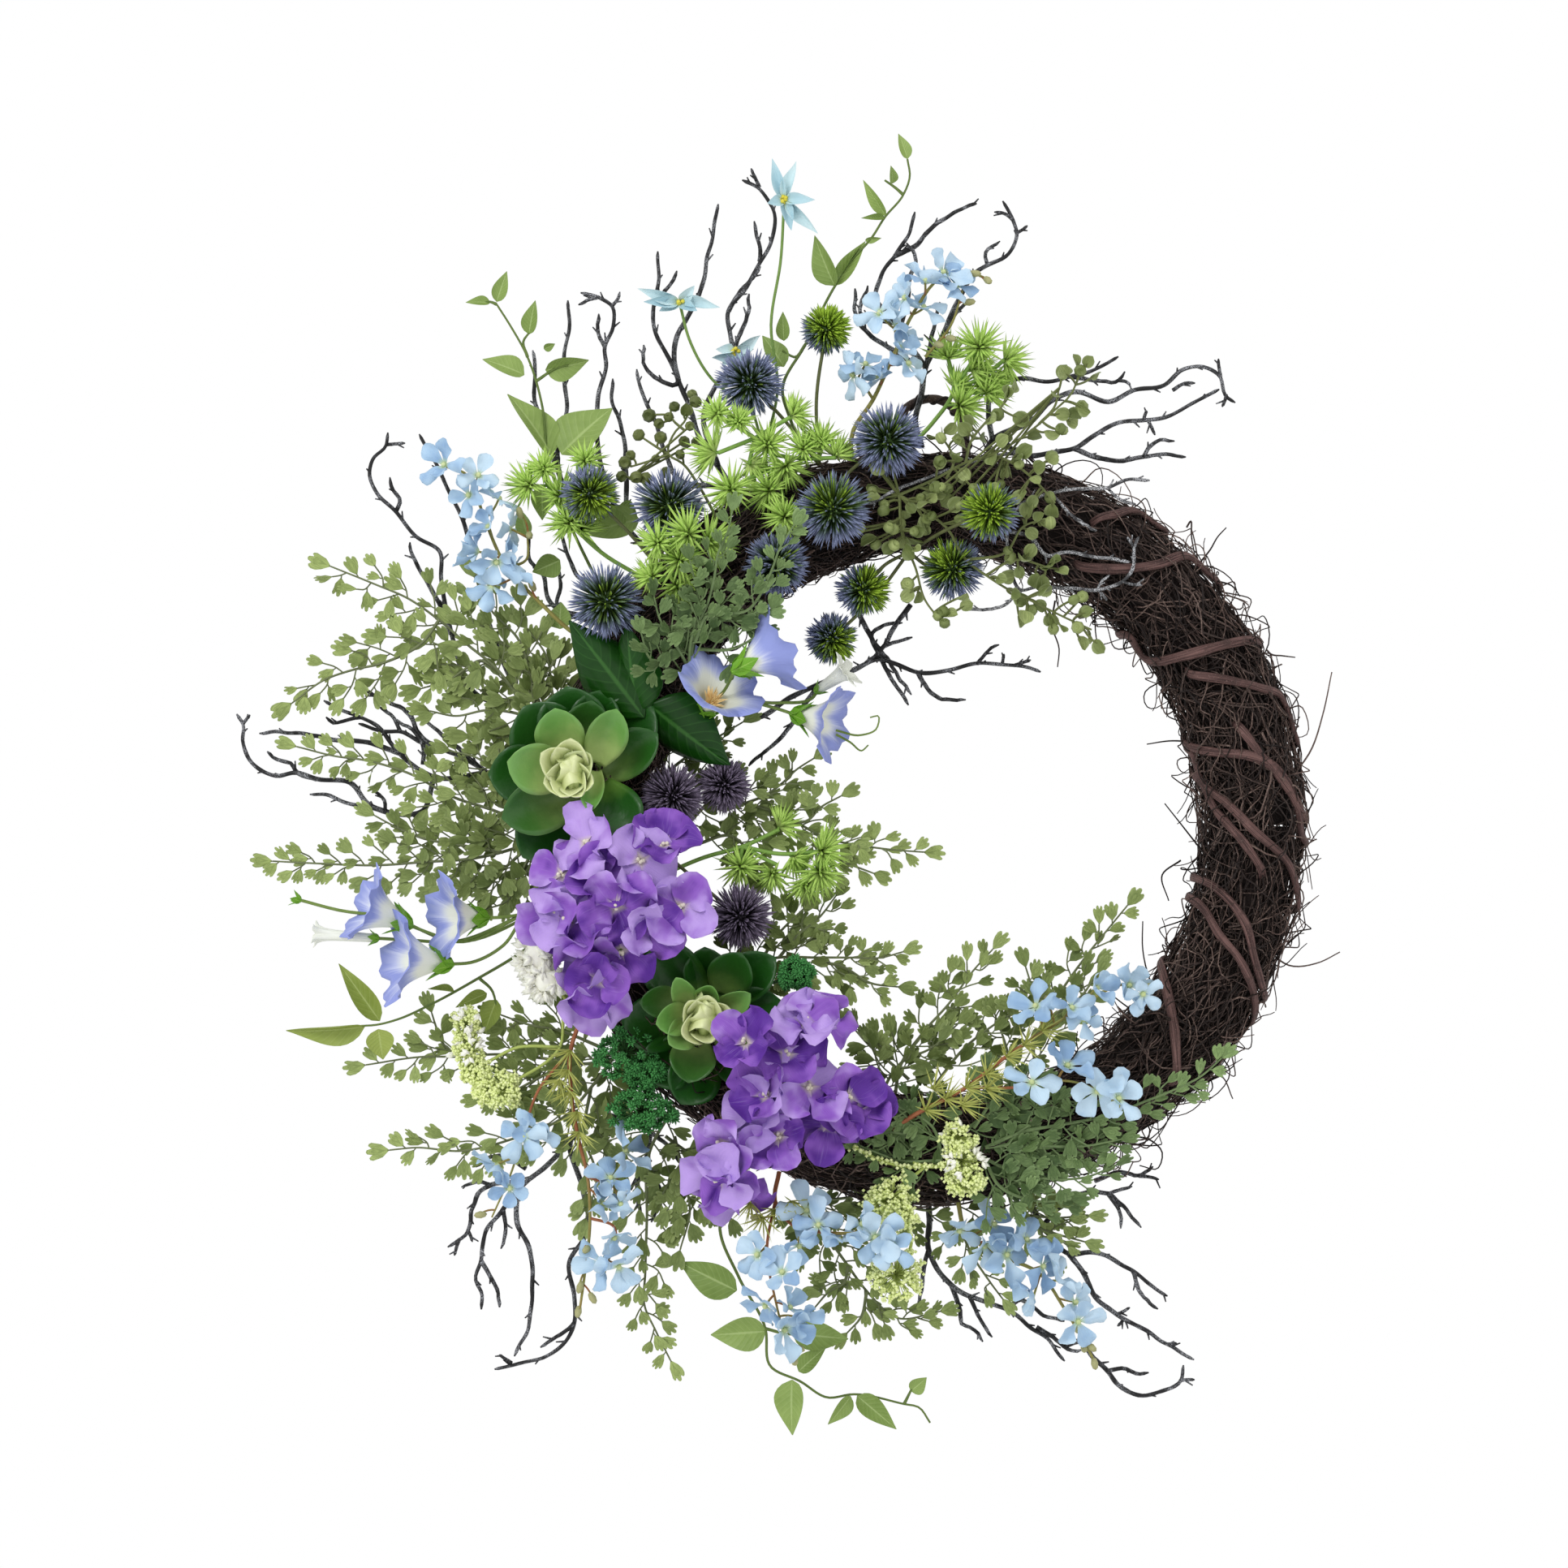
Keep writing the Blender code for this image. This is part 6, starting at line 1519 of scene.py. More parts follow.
# The delphinium sprays: golden green stems with pale blue cloth florets of five petals and a few buds. Low
# down, some stems are red brown and carry tufts of short yellow-green needles. Each spray has its root, how
# far out it stands, its stems, its florets, its buds and its tufts.
BLUE_STEM_RADII = (0.0013, 0.0009)
BLUE_STALK_RADIUS = 0.0007
BUD_STALK_RADIUS = 0.0006
BLUE_PETAL = 0.0148
BLUE_PETAL_SHAPES = ((0.25, -0.12), (0.12, 0.16), (-0.2, -0.2))
BLUE_EYE = 0.0034
BUD_LENGTH = 0.0085
BUD_WIDTH = 0.0046
NEEDLES = 20
NEEDLE_WIDTH = 0.0010
NEEDLE_REACH = 0.0175
BLUE_SPRAYS = {
    "blue_spray_top": ((1048, 562), (44, 48, 200), (
        ((1048, 562), (1050, 535), (1076, 492), (1100, 440), (1127, 383), (1163, 340), (1200, 337),
         (1222, 347)),
        ((1076, 492), (1060, 470), (1046, 460)), ((1140, 440), (1172, 400), (1186, 358)),
    ), (
        (1116, 368), (1084, 386), (1138, 380), (1102, 402), (1106, 428), (1118, 448), (1066, 450),
        (1052, 462), (1084, 466), (1140, 348), (1162, 336), (1178, 352),
    ), ((1203, 337), (1218, 346), (1173, 417), (1158, 425), (1196, 372)), ()),
    "blue_spray_left_top": ((736, 798), (36, 42, 200), (
        ((736, 798), (700, 775), (667, 744), (625, 700), (597, 640), (575, 585), (542, 570)),
        ((625, 700), (648, 690), (650, 660)),
    ), (
        (548, 573), (589, 586), (614, 616), (578, 610), (603, 650), (630, 652), (590, 680), (612, 692),
        (632, 704), (606, 722),
    ), ((652, 660), (640, 630), (655, 720)), ()),
    "blue_spray_bottom_left": ((732, 1236), (50, 52, 200), (
        ((732, 1236), (714, 1262), (703, 1294), (704, 1348), (712, 1400), (724, 1450), (727, 1501),
         (719, 1581), (714, 1616)),
        ((703, 1294), (661, 1348), (645, 1398), (628, 1450), (606, 1500)),
        ((724, 1450), (756, 1458), (765, 1423)), ((727, 1501), (755, 1510), (745, 1570)),
    ), (
        (645, 1400), (614, 1434), (628, 1464), (662, 1392), (769, 1418), (752, 1452), (742, 1484),
        (764, 1482), (756, 1524), (742, 1556), (762, 1560),
    ), ((590, 1497), (731, 1601), (714, 1588), (712, 1618), (722, 1540)), (
        (703, 1294), (700, 1318), (704, 1345), (712, 1370), (690, 1330), (714, 1395))),
    "blue_spray_bottom": ((960, 1444), (54, 84, 120), (
        ((960, 1444), (955, 1480), (978, 1510), (1021, 1519), (1070, 1522), (1105, 1540)),
        ((955, 1480), (945, 1540), (955, 1600), (968, 1650), (979, 1682)),
    ), (
        (1008, 1510), (984, 1534), (1034, 1530), (1060, 1508), (1099, 1535), (1078, 1524), (994, 1492),
        (934, 1546), (964, 1568), (944, 1608), (972, 1612), (966, 1638), (987, 1626),
    ), ((979, 1678), (986, 1662), (930, 1500)), ((955, 1490), (940, 1500), (925, 1482), (975, 1480))),
    "blue_spray_bottom_right": ((1180, 1479), (40, 48, 200), (
        ((1180, 1479), (1190, 1518), (1231, 1546), (1282, 1570), (1310, 1610), (1333, 1648), (1352, 1684)),
    ), (
        (1182, 1515), (1224, 1508), (1240, 1546), (1264, 1528), (1284, 1560), (1302, 1578), (1324, 1604),
        (1328, 1628), (1274, 1596), (1212, 1534),
    ), ((1330, 1640), (1346, 1661), (1349, 1682), (1336, 1662)), ()),
    "blue_spray_right": ((1100, 1392), (64, 84, 180), (
        ((1100, 1392), (1120, 1378), (1190, 1340), (1245, 1298), (1290, 1268), (1326, 1245), (1375, 1215),
         (1412, 1208)),
        ((1190, 1340), (1250, 1340), (1316, 1332), (1372, 1350)),
    ), (
        (1277, 1240), (1320, 1242), (1350, 1218), (1390, 1214), (1408, 1224), (1334, 1256),
        (1271, 1334), (1315, 1314), (1352, 1344), (1378, 1354),
    ), ((1420, 1216), (1376, 1360), (1290, 1232)), (
        (1190, 1340), (1165, 1354), (1215, 1324), (1240, 1302), (1262, 1288), (1140, 1368), (1215, 1342),
        (1284, 1270), (1150, 1342), (1185, 1362))),
}


def blue_spray(rng, root, outs, stems, florets, buds, needles):
    bunch = Bunch()
    place = leaning(root, outs)
    red = float(bool(needles))
    for number, stem in enumerate(stems):
        thick = BLUE_STEM_RADII[number > 0]
        wire(bunch, place(flowing(stem, 30)), thick, 6, red, 1, taper=(1.1, 0.6))
    forms = [leaf_form(9, 7, petal_outline(1.9, 0.96, 0.58), cup=cup, bend=bend, ripple=0.1, thick=0.012)
             for cup, bend in BLUE_PETAL_SHAPES]
    lift = rng.uniform(2, 14, len(florets))
    for end, way in zip(*stalked(rng, bunch, stems, place, florets, BLUE_STALK_RADIUS, lift)):
        face = unit(unit(way * (1, 0.3, 1)) * 0.8 + (0, -0.7, 0) + rng.normal(0, 0.5, 3))
        size = BLUE_PETAL * rng.uniform(0.84, 1.22)
        floret(bunch, rng, forms, end, face, 5, size, size * 0.66, rng.uniform(0.3, 0.92))
        plant(bunch, ball_form(), end + face * 0.0012, face, (0, 0, 1), BLUE_EYE, BLUE_EYE, 0.5, 2)
    ends, ways = stalked(rng, bunch, stems, place, buds, BUD_STALK_RADIUS, 3)
    plant(bunch, ball_form(), ends - ways * 0.001, ways, (0, -1, 0), BUD_LENGTH, BUD_WIDTH, 0.9, 4, BUD_WIDTH)
    for tuft in needles:
        foot = place(tuft, 3)
        ahead = unit(foot - place(root)) + (0, -0.4, 0)
        bristles(bunch, rng, foot, 0.0005, NEEDLE_REACH, NEEDLES, NEEDLE_WIDTH, needle_form(0.5, 1.0), 3,
                 ahead, 1.2)
    return bunch


def blue_stem_finish():
    """Golden green, but red brown from the root to the middle of the stems with tufts of needles."""
    finish = Finish("blue_spray_stem", 0.6)
    green = finish.blend((0.19, 0.125, 0.028), (0.34, 0.36, 0.10), finish.noise(220))
    red = finish.blend((0.22, 0.060, 0.028), (0.44, 0.17, 0.075), finish.noise(260))
    share = finish.window(finish.value("along"), 0.72, 0.45) * finish.value("tone")
    return finish.coat(finish.blend(green, red, share), relief=finish.noise(1800), depth=0.2)


BLUE_RNG = np.random.default_rng(27)
BLUE_FINISHES = (
    petal_finish("blue_petal", (0.26, 0.41, 0.62), (0.39, 0.56, 0.74), (0.54, 0.70, 0.83),
                 (0.56, 0.70, 0.42), 0.30),
    blue_stem_finish(),
    rib_finish("blue_spray_eye", (0.42, 0.52, 0.20), (0.70, 0.74, 0.42)),
    rib_finish("red_twig_needle", (0.30, 0.34, 0.060), (0.60, 0.62, 0.20)),
    rib_finish("blue_spray_bud", (0.26, 0.25, 0.10), (0.46, 0.46, 0.24)),
)
for spray_name, spray_parts in BLUE_SPRAYS.items():
    blue = blue_spray(BLUE_RNG, *spray_parts).make(spray_name + "_florets", *BLUE_FINISHES, crease=1.0)
    settle(blue, spray_name)

# The morning glories: thin cloth trumpets, white in the throat and periwinkle at the ruffled five-lobed rim,
# each in a bright green calyx on a wire. A white bud grows on each pick, and curly tendrils on the inner one.
LOBES = 5
RUFFLES = 11
CLOTH = 0.0004
THROAT_RADIUS = 0.0026
WIRE_RADIUS = 0.0010
TENDRIL_RADIUS = 0.0008
SEPALS = 5
SEPAL_SIZE = (0.0190, 0.0110)
STAMENS = 40
STAMEN_REACH = 0.0125
STAMEN_WIDTH = 0.0017
WALL_BLUES = {"open": (0.10, 0.06), "bud": (0.10, 0.10), "yellow": (0.10, 0.0), "turned": (0.30, 0.18)}
# Each flower has its stem, its base and mouth, its radius in millimetres and its kind: open, turned away and
# bluer, open with a yellow heart, a white bud, or a calyx alone.
MORNING_GLORIES = {
    "morning_glories_left": ((686, 1112), 44, (
        (((650, 1125, 52), (620, 1130, 56)), (598, 1131, 60), (542, 1131, 72), 26, "open"),
        (((650, 1125, 52), (620, 1165, 54), (580, 1186, 58)), (554, 1188, 60), (482, 1180, 72), 28, "open"),
        (((650, 1125, 52), (560, 1160, 50), (530, 1150, 52)), (504, 1140, 54), (442, 1112, 62), 24, "open"),
        (((650, 1125, 52), (560, 1160, 50), (500, 1158, 50)), (462, 1156, 50), (382, 1150, 46), 6.5, "bud"),
        (((560, 1160, 50), (480, 1130, 48), (420, 1122, 46)), (366, 1108, 44), (356, 1104, 44), 5, "calyx"),
    ), ()),
    "morning_glories_inner": ((868, 868), 46, (
        (((868, 868, 46), (888, 856, 66)), (906, 826, 92), (961, 798, 84), 27, "turned"),
        (((868, 868, 46), (876, 880, 58)), (868, 880, 62), (890, 841, 79), 27, "yellow"),
        (((868, 868, 46), (900, 862, 60), (960, 874, 62)), (978, 880, 64), (1032, 892, 74), 23, "open"),
        (((900, 862, 60), (960, 866, 60), (1002, 859, 58)), (1008, 850, 60), (1047, 824, 68), 10, "bud"),
    ), (
        ((1030, 900, 60), (1060, 906, 62), (1080, 898, 62), (1082, 882, 62), (1072, 884, 62)),
        ((1030, 905, 60), (1048, 915, 60), (1062, 925, 60), (1070, 918, 60)),
    )),
}


def trumpet(bunch, rng, base, mouth, radius, bud, blues):
    """An outer and an inner wall that meet at their ruffled rim; blues is the tone of each."""
    axis = unit(mouth - base)
    side = unit(np.cross(axis, (0.1, 0.2, 1)))
    other = np.cross(axis, side)
    length = np.linalg.norm(mouth - base)
    rows, columns = 12, 40
    share, turn = np.meshgrid(np.linspace(0, 1, rows), math.tau * np.arange(columns) / columns, indexing="ij")
    lobe = np.cos(turn * LOBES + rng.uniform(0, 6))
    ruffle = np.sin(turn * RUFFLES + rng.uniform(0, 6))
    flare = 0.35 * share + 0.65 * share ** 9 if bud else 0.68 * share ** 1.2 + 0.32 * share ** 5
    reach = THROAT_RADIUS + (radius - THROAT_RADIUS) * flare
    reach = reach * (1 + share ** 6 * ((0.38 if bud else 0.09) * lobe + 0.05 * ruffle))
    high = length * (share - 0.08 * share ** 8) + share ** 7 * radius * (0.09 * lobe + 0.07 * ruffle)
    spread = side * np.cos(turn)[..., None] + other * np.sin(turn)[..., None]
    outside, inside = (base + spread * (reach - inset)[..., None] + axis * (high + inset)[..., None]
                       for inset in (0.0, CLOTH))
    rings = np.concatenate([outside, inside[::-1]])
    index = np.arange(2 * rows * columns).reshape(2 * rows, columns)
    lower, upper = index, np.roll(index, -1, axis=0)
    quads = np.stack([lower, np.roll(lower, -1, 1), np.roll(upper, -1, 1), upper], axis=-1).reshape(-1, 4)
    along = np.concatenate([share, share[::-1]]).ravel()
    edge = np.tile((0.5 + 0.5 * lobe).ravel(), 2)
    bunch.add(rings.reshape(-1, 3), quads, np.repeat(blues, share.size), along, edge, 2 if bud else 1)


def spots(points):
    """Places of picture points that each have their own distance out."""
    points = np.asarray(points, float)
    return spot(points[:, :2], points[:, 2])


def morning_glory(rng, root, out, flowers, tendrils):
    bunch = Bunch()
    sepal = leaf_form(7, 5, pointed, bend=0.25, thick=0.03)
    for stem, base, mouth, radius, kind in flowers:
        wire(bunch, flowing(spots([(*root, out), *stem, base]), 26), WIRE_RADIUS, 6, rng.random())
        start, end = spots([base, mouth])
        axis = unit(end - start)
        if kind in WALL_BLUES:
            trumpet(bunch, rng, start, end, radius * MM, kind == "bud", WALL_BLUES[kind])
        turns = rng.uniform(0, 1) + math.tau * np.arange(SEPALS) / SEPALS
        side = unit(np.cross(axis, (0.1, 0.2, 1)))
        away = side * np.cos(turns)[:, None] + np.cross(axis, side) * np.sin(turns)[:, None]
        length, width = np.array(SEPAL_SIZE) * (0.42 if kind in ("bud", "calyx") else 1)
        plant(bunch, sepal, start - axis * 0.003 + away * 0.001, axis + away * 0.36, away, length, width,
              rng.random(SEPALS), 3)
        if kind == "yellow":
            bristles(bunch, rng, start + axis * 0.008, 0.001, STAMEN_REACH, STAMENS, STAMEN_WIDTH,
                     needle_form(0.6, 1.0), 4, axis, 0.8)
    for tendril in tendrils:
        wire(bunch, flowing(spots(tendril), 18), TENDRIL_RADIUS, 5, 0.8, taper=(1, 0.625))
    return bunch


def trumpet_finish(name, rim, pale):
    """Cloth that is cream in the throat, then pale, then rim coloured, most of all on the lobes."""
    finish = Finish(name, 0.6)
    along, edge = finish.value("along"), finish.value("edge")
    veins = finish.streaks(7, 1.5)
    bloom = along + finish.value("tone")
    colour = finish.blend((0.80, 0.82, 0.72), pale, finish.window(bloom - edge * 0.10, 0.58, 0.80))
    colour = finish.blend(colour, rim, finish.window(bloom + veins * 0.3 - edge * 0.14, 0.76, 1.06))
    return finish.coat(colour, relief=veins + edge * 0.5, depth=0.5)


GLORY_RNG = np.random.default_rng(6)
GLORY_FINISHES = (
    rib_finish("glory_wire", (0.10, 0.17, 0.03), (0.22, 0.30, 0.08)),
    trumpet_finish("glory_cloth", (0.265, 0.310, 0.65), (0.58, 0.62, 0.82)),
    trumpet_finish("white_bud", (0.76, 0.78, 0.70), (0.84, 0.86, 0.79)),
    leaf_finish("glory_calyx", (0.090, 0.26, 0.012), (0.20, 0.44, 0.035), (0.36, 0.56, 0.12)),
    rib_finish("glory_throat", (0.84, 0.54, 0.20), (0.93, 0.78, 0.44)),
)
for glory_name, glory_parts in MORNING_GLORIES.items():
    glory = morning_glory(GLORY_RNG, *glory_parts).make(glory_name + "_trumpets", *GLORY_FINISHES, crease=1.0)
    settle(glory, glory_name)

# The lime umbels: forked green stems whose ends carry spiky heads, each a fan of flat lime needles. Each
# umbel has its root, how far out it stands, its stems and its heads.
LIME_REACH = 0.0205
LIME_STEM_RADIUS = 0.0013
LIME_STALK_RADIUS = 0.0009
LIME_NEEDLES = 60
LIME_NEEDLE_WIDTH = 0.0021
LIME_UMBELS = {
    "lime_umbel_right": ((1118, 553), (32, 36, 200), (
        ((1118, 553), (1150, 520), (1175, 480), (1168, 440)), ((1175, 480), (1195, 450), (1207, 428)),
        ((1175, 480), (1210, 465), (1238, 443)), ((1175, 480), (1197, 484), (1215, 484)),
    ), ((1168, 442), (1207, 428), (1238, 445), (1177, 477), (1215, 484), (1197, 456), (1182, 500),
        (1222, 468))),
    "lime_umbel_middle": ((960, 592), (54, 78, 100), (
        ((960, 592), (950, 560), (930, 540), (905, 524), (884, 512)),
        ((930, 540), (955, 525), (974, 514)), ((930, 540), (905, 550), (885, 558)),
        ((930, 540), (926, 558), (923, 572)), ((950, 560), (990, 565), (1030, 564)),
        ((960, 592), (965, 615), (967, 637)), ((950, 575), (915, 595), (895, 605)),
    ), ((884, 510), (910, 520), (976, 512), (881, 558), (901, 603), (925, 572), (968, 574), (1030, 562),
        (967, 637), (990, 553), (946, 548), (948, 604), (1012, 545))),
    "lime_umbel_left": ((792, 712), (34, 40, 200), (
        ((792, 712), (740, 680), (700, 640), (664, 576)), ((740, 680), (720, 660), (702, 645)),
        ((700, 640), (712, 605), (712, 570)),
    ), ((670, 578), (702, 644), (652, 598), (721, 568), (690, 612), (716, 652))),
    "lime_umbel_front": ((866, 716), (62, 90, 80), (
        ((866, 716), (850, 700), (828, 684), (811, 671)), ((850, 700), (858, 680), (862, 662)),
        ((850, 700), (830, 708), (812, 716)),
    ), ((811, 669), (848, 658), (803, 711), (834, 722), (873, 668), (838, 690))),
    "lime_umbel_inner": ((816, 1078), (38, 44, 200), (
        ((816, 1078), (869, 1056), (915, 1043), (960, 1022)), ((915, 1043), (960, 1052), (1010, 1049)),
        ((915, 1043), (938, 1056), (958, 1066)), ((915, 1043), (912, 1060), (908, 1072)),
    ), ((960, 1018), (1012, 1049), (977, 1056), (952, 1076), (912, 1068), (992, 1088), (1010, 1074))),
}


def lime_umbel(rng, root, outs, stems, heads):
    bunch = Bunch()
    place = leaning(root, outs)
    for stem in stems:
        wire(bunch, place(flowing(stem, 20)), LIME_STEM_RADIUS, 6, 0.5)
    lift = rng.uniform(-5, 6, len(heads))
    for end, way in zip(*stalked(rng, bunch, stems, place, heads, LIME_STALK_RADIUS, lift, 0)):
        reach = LIME_REACH * rng.uniform(0.7, 1.15)
        bristles(bunch, rng, end, 0.0008, reach, LIME_NEEDLES, LIME_NEEDLE_WIDTH,
                 needle_form(0.45, 1.0), 1, way + (0, -0.7, 0), 1.45)
    return bunch


def needle_finish(name, root, tip):
    """Needles that are pale at the root and greener at the tip; heads differ a little."""
    finish = Finish(name, 0.5)
    share = finish.window(finish.value("along"), 0.0, 0.7) * 0.8 + finish.noise(120) * 0.3
    return finish.coat(finish.blend(root, tip, share))


LIME_RNG = np.random.default_rng(12)
LIME_STEM_FINISH = rib_finish("lime_stem", (0.16, 0.30, 0.05), (0.26, 0.44, 0.10))
LIME_FINISH = needle_finish("lime_needle", (0.70, 0.86, 0.30), (0.43, 0.66, 0.13))
for umbel_name, umbel_parts in LIME_UMBELS.items():
    umbel = lime_umbel(LIME_RNG, *umbel_parts).make(umbel_name + "_heads", LIME_STEM_FINISH, LIME_FINISH)
    settle(umbel, umbel_name)

# The star flowers: three pale aqua cloth stars on one pick, each of six narrow petals round a few yellow
# beads. Their thin green stems rise from the top left of the ring.
STAR_PETALS = (
    ((966, 247), 40, ((952, 196), (982, 200), (1005, 247), (1008, 287), (975, 285), (945, 251))),
    ((838, 372), 36, ((786, 355), (792, 372), (856, 351), (887, 380), (860, 384), (812, 384))),
    ((905, 434), 34, ((881, 431), (876, 439), (935, 413), (928, 430), (890, 452), (912, 456))),
)
STAR_STEMS = (
    ((950, 595, 26), (925, 500, 30), (908, 460, 32), (905, 436, 33)),
    ((940, 560, 28), (958, 480, 32), (950, 400, 36), (962, 320, 38), (966, 250, 39)),
    ((925, 500, 30), (880, 470, 30), (850, 420, 33), (838, 376, 35)),
)
STAR_STEM_RADIUS = 0.0009
STAR_PETAL_WIDTH = 0.0082
STAR_BEAD = 0.0026
STAR_BEADS = 7


def star_flowers(rng):
    bunch = Bunch()
    for stem in STAR_STEMS:
        wire(bunch, flowing(spots(stem), 30), STAR_STEM_RADIUS, 6, 0.5)
    petal = leaf_form(9, 7, pointed, cup=0.3, bend=0.1, thick=0.01)
    for centre, out, tips in STAR_PETALS:
        middle = spot(centre, out)
        growth = spot(tips, out + rng.uniform(-5, 7, 6)) - middle
        plant(bunch, petal, np.tile(middle, (6, 1)), growth, facing(rng, 6, 0.35),
              np.linalg.norm(growth, axis=1), STAR_PETAL_WIDTH, rng.random(6), 1)
        heart = middle + (0, -0.0015, 0)
        beads(bunch, heart + rng.normal(0, 0.0012, (STAR_BEADS, 3)), STAR_BEAD, 0.5, 2)
    return bunch


STAR_FINISHES = (
    rib_finish("star_stem", (0.11, 0.20, 0.04), (0.20, 0.32, 0.08)),
    petal_finish("star_petal", (0.37, 0.57, 0.65), (0.49, 0.68, 0.74), (0.63, 0.79, 0.82),
                 (0.55, 0.66, 0.36), 0.2),
    rib_finish("star_bead", (0.60, 0.50, 0.03), (0.82, 0.74, 0.12)),
)
stars = star_flowers(np.random.default_rng(2)).make("star_flower_petals", *STAR_FINISHES, crease=1.0)
settle(stars, "star_flowers")

# The tufts: heads of hair-thin moulded stalks on short stems. Yellow heads carry tiny beads at their ends,
# white ones small stars over a core, mixed ones beads and a few stars, and dark ones feathery needles. The
# white core stands for their dense middle, and is also painted light where shade would fall between the
# stars. Two loose strings of beads hang at the bottom.
TUFT_STEM_RADIUS = 0.0010
HAIR_RADIUS = 0.00035
HAIRS = {"yellow": 84, "white": 40, "dark": 84, "mixed": 60}
HAIR_SKINS = {"yellow": 0, "white": 2, "dark": 4, "mixed": 0}
MIXED_STARS = 0.16
STAR_LENGTHS = {"white": 0.0100, "mixed": 0.0070}
DARK_NEEDLES = 13
DARK_NEEDLE_REACH = 0.0042
DARK_NEEDLE_WIDTH = 0.0015
TUFT_BEAD_SIZE = 0.0024
STRING_BEADS = 70
STRING_BEAD_SIZE = 0.0026
TUFT_BEAD = (
    np.array([[0.5, 0, 0], [-0.5, 0, 0], [0, 0.5, 0], [0, -0.5, 0], [0, 0, 0.5], [0, 0, -0.5]]),
    np.array([[0, 2, 4], [2, 1, 4], [1, 3, 4], [3, 0, 4], [2, 0, 5], [1, 2, 5], [3, 1, 5], [0, 3, 5]]),
    np.zeros(6), np.zeros(6))
# Each tuft has its root, how far out it stands, its stems, its strings, and its heads with half their width
# and height.
TUFTS = {
    "pale_tufts_left": ((718, 1222), (38, 42, 200), (
        ((718, 1222), (700, 1235), (690, 1290), (622, 1340)),
        ((690, 1290), (640, 1290), (585, 1310), (575, 1266)),
        ((700, 1235), (680, 1210), (665, 1188)),
    ), (), (
        (662, 1178, 24, 26, "white"), (674, 1206, 24, 22, "white"), (622, 1342, 22, 24, "yellow"),
        (588, 1322, 20, 22, "yellow"), (576, 1292, 20, 26, "mixed"), (574, 1262, 18, 22, "mixed"),
        (600, 1345, 16, 18, "yellow"),
    )),
    "yellow_tufts_bottom": ((1125, 1432), (66, 68, 60), (
        ((1125, 1432), (1140, 1437), (1160, 1437), (1183, 1432)), ((1140, 1437), (1115, 1460), (1098, 1482)),
        ((1098, 1482), (1123, 1530), (1105, 1570)),
    ), (
        ((1051, 1412), (1085, 1430), (1112, 1437), (1155, 1437)), ((1112, 1437), (1116, 1480), (1123, 1530)),
    ), (
        (1180, 1402, 24, 20, "mixed"), (1184, 1430, 26, 22, "mixed"), (1190, 1456, 26, 18, "yellow"),
        (1096, 1478, 34, 28, "yellow"), (1106, 1500, 24, 18, "yellow"), (1104, 1570, 36, 34, "yellow"),
    )),
    "dark_tufts": ((800, 1292), (58, 62, 100), (
        ((800, 1292), (785, 1312), (770, 1312)), ((785, 1312), (795, 1340), (790, 1366)),
        ((800, 1292), (870, 1250), (940, 1215), (975, 1204)),
    ), (), (
        (770, 1300, 40, 34, "dark"), (792, 1368, 44, 26, "dark"), (796, 1322, 26, 20, "dark"),
        (980, 1200, 22, 20, "dark"),
    )),
}


def tiny_beads(rng, bunch, places, size):
    """Eight-sided beads, too small for a round form."""
    plant(bunch, TUFT_BEAD, places, (1, 0, 0), (0, 0, 1), size, size, rng.random(len(places)), 1)


def tuft_head(rng, bunch, middle, half_width, half_height, kind):
    hairs = HAIRS[kind]
    ways = unit(rng.normal(0, 1, (hairs, 3)))
    reach = rng.uniform(0.4, 1.0, (hairs, 1)) ** 0.6
    ends = middle + ways * reach * (half_width * POINT, 0.7 * half_width * POINT, half_height * POINT)
    sticks(bunch, np.stack([np.tile(middle, (hairs, 1)), ends], axis=1), HAIR_RADIUS, 3, rng.random(hairs),
           HAIR_SKINS[kind])
    if kind == "white":
        # A white core: partly the tuft's dense middle, partly painted light that fills the shade between the
        # stars.
        beads(bunch, middle, half_width * POINT * 1.5, 0.5, 2)
    for end, way in zip(ends, ways):
        if kind == "dark":
            bristles(bunch, rng, end, 0.0002, DARK_NEEDLE_REACH, DARK_NEEDLES, DARK_NEEDLE_WIDTH,
                     needle_form(0.6, 1.0), 3, way, 1.9)
        elif kind == "white" or kind == "mixed" and rng.random() < MIXED_STARS:
            rays = unit(way * 1.4 + rng.normal(0, 0.6, (3, 3)))
            length = STAR_LENGTHS[kind]
            plant(bunch, TUFT_BEAD, end + rays * 0.003, rays, (0.2, -1, 0.1), length, length * 0.44,
                  rng.random(3), 2)
        else:
            tiny_beads(rng, bunch, end + rng.normal(0, 0.0013, (6, 3)), TUFT_BEAD_SIZE)


def tuft_pick(rng, root, outs, stems, strings, heads, stem_skin):
    bunch = Bunch()
    place = leaning(root, outs)
    for stem in (*stems, *strings):
        wire(bunch, place(flowing(stem, 22)), TUFT_STEM_RADIUS, 6, 0.5, stem_skin)
    for string in strings:
        places = place(flowing(string, STRING_BEADS), rng.uniform(-2, 6, STRING_BEADS))
        tiny_beads(rng, bunch, places + rng.normal(0, 0.0013, (STRING_BEADS, 3)), STRING_BEAD_SIZE)
    for x, y, half_width, half_height, kind in heads:
        tuft_head(rng, bunch, place((x, y), 4), half_width, half_height, kind)
    return bunch


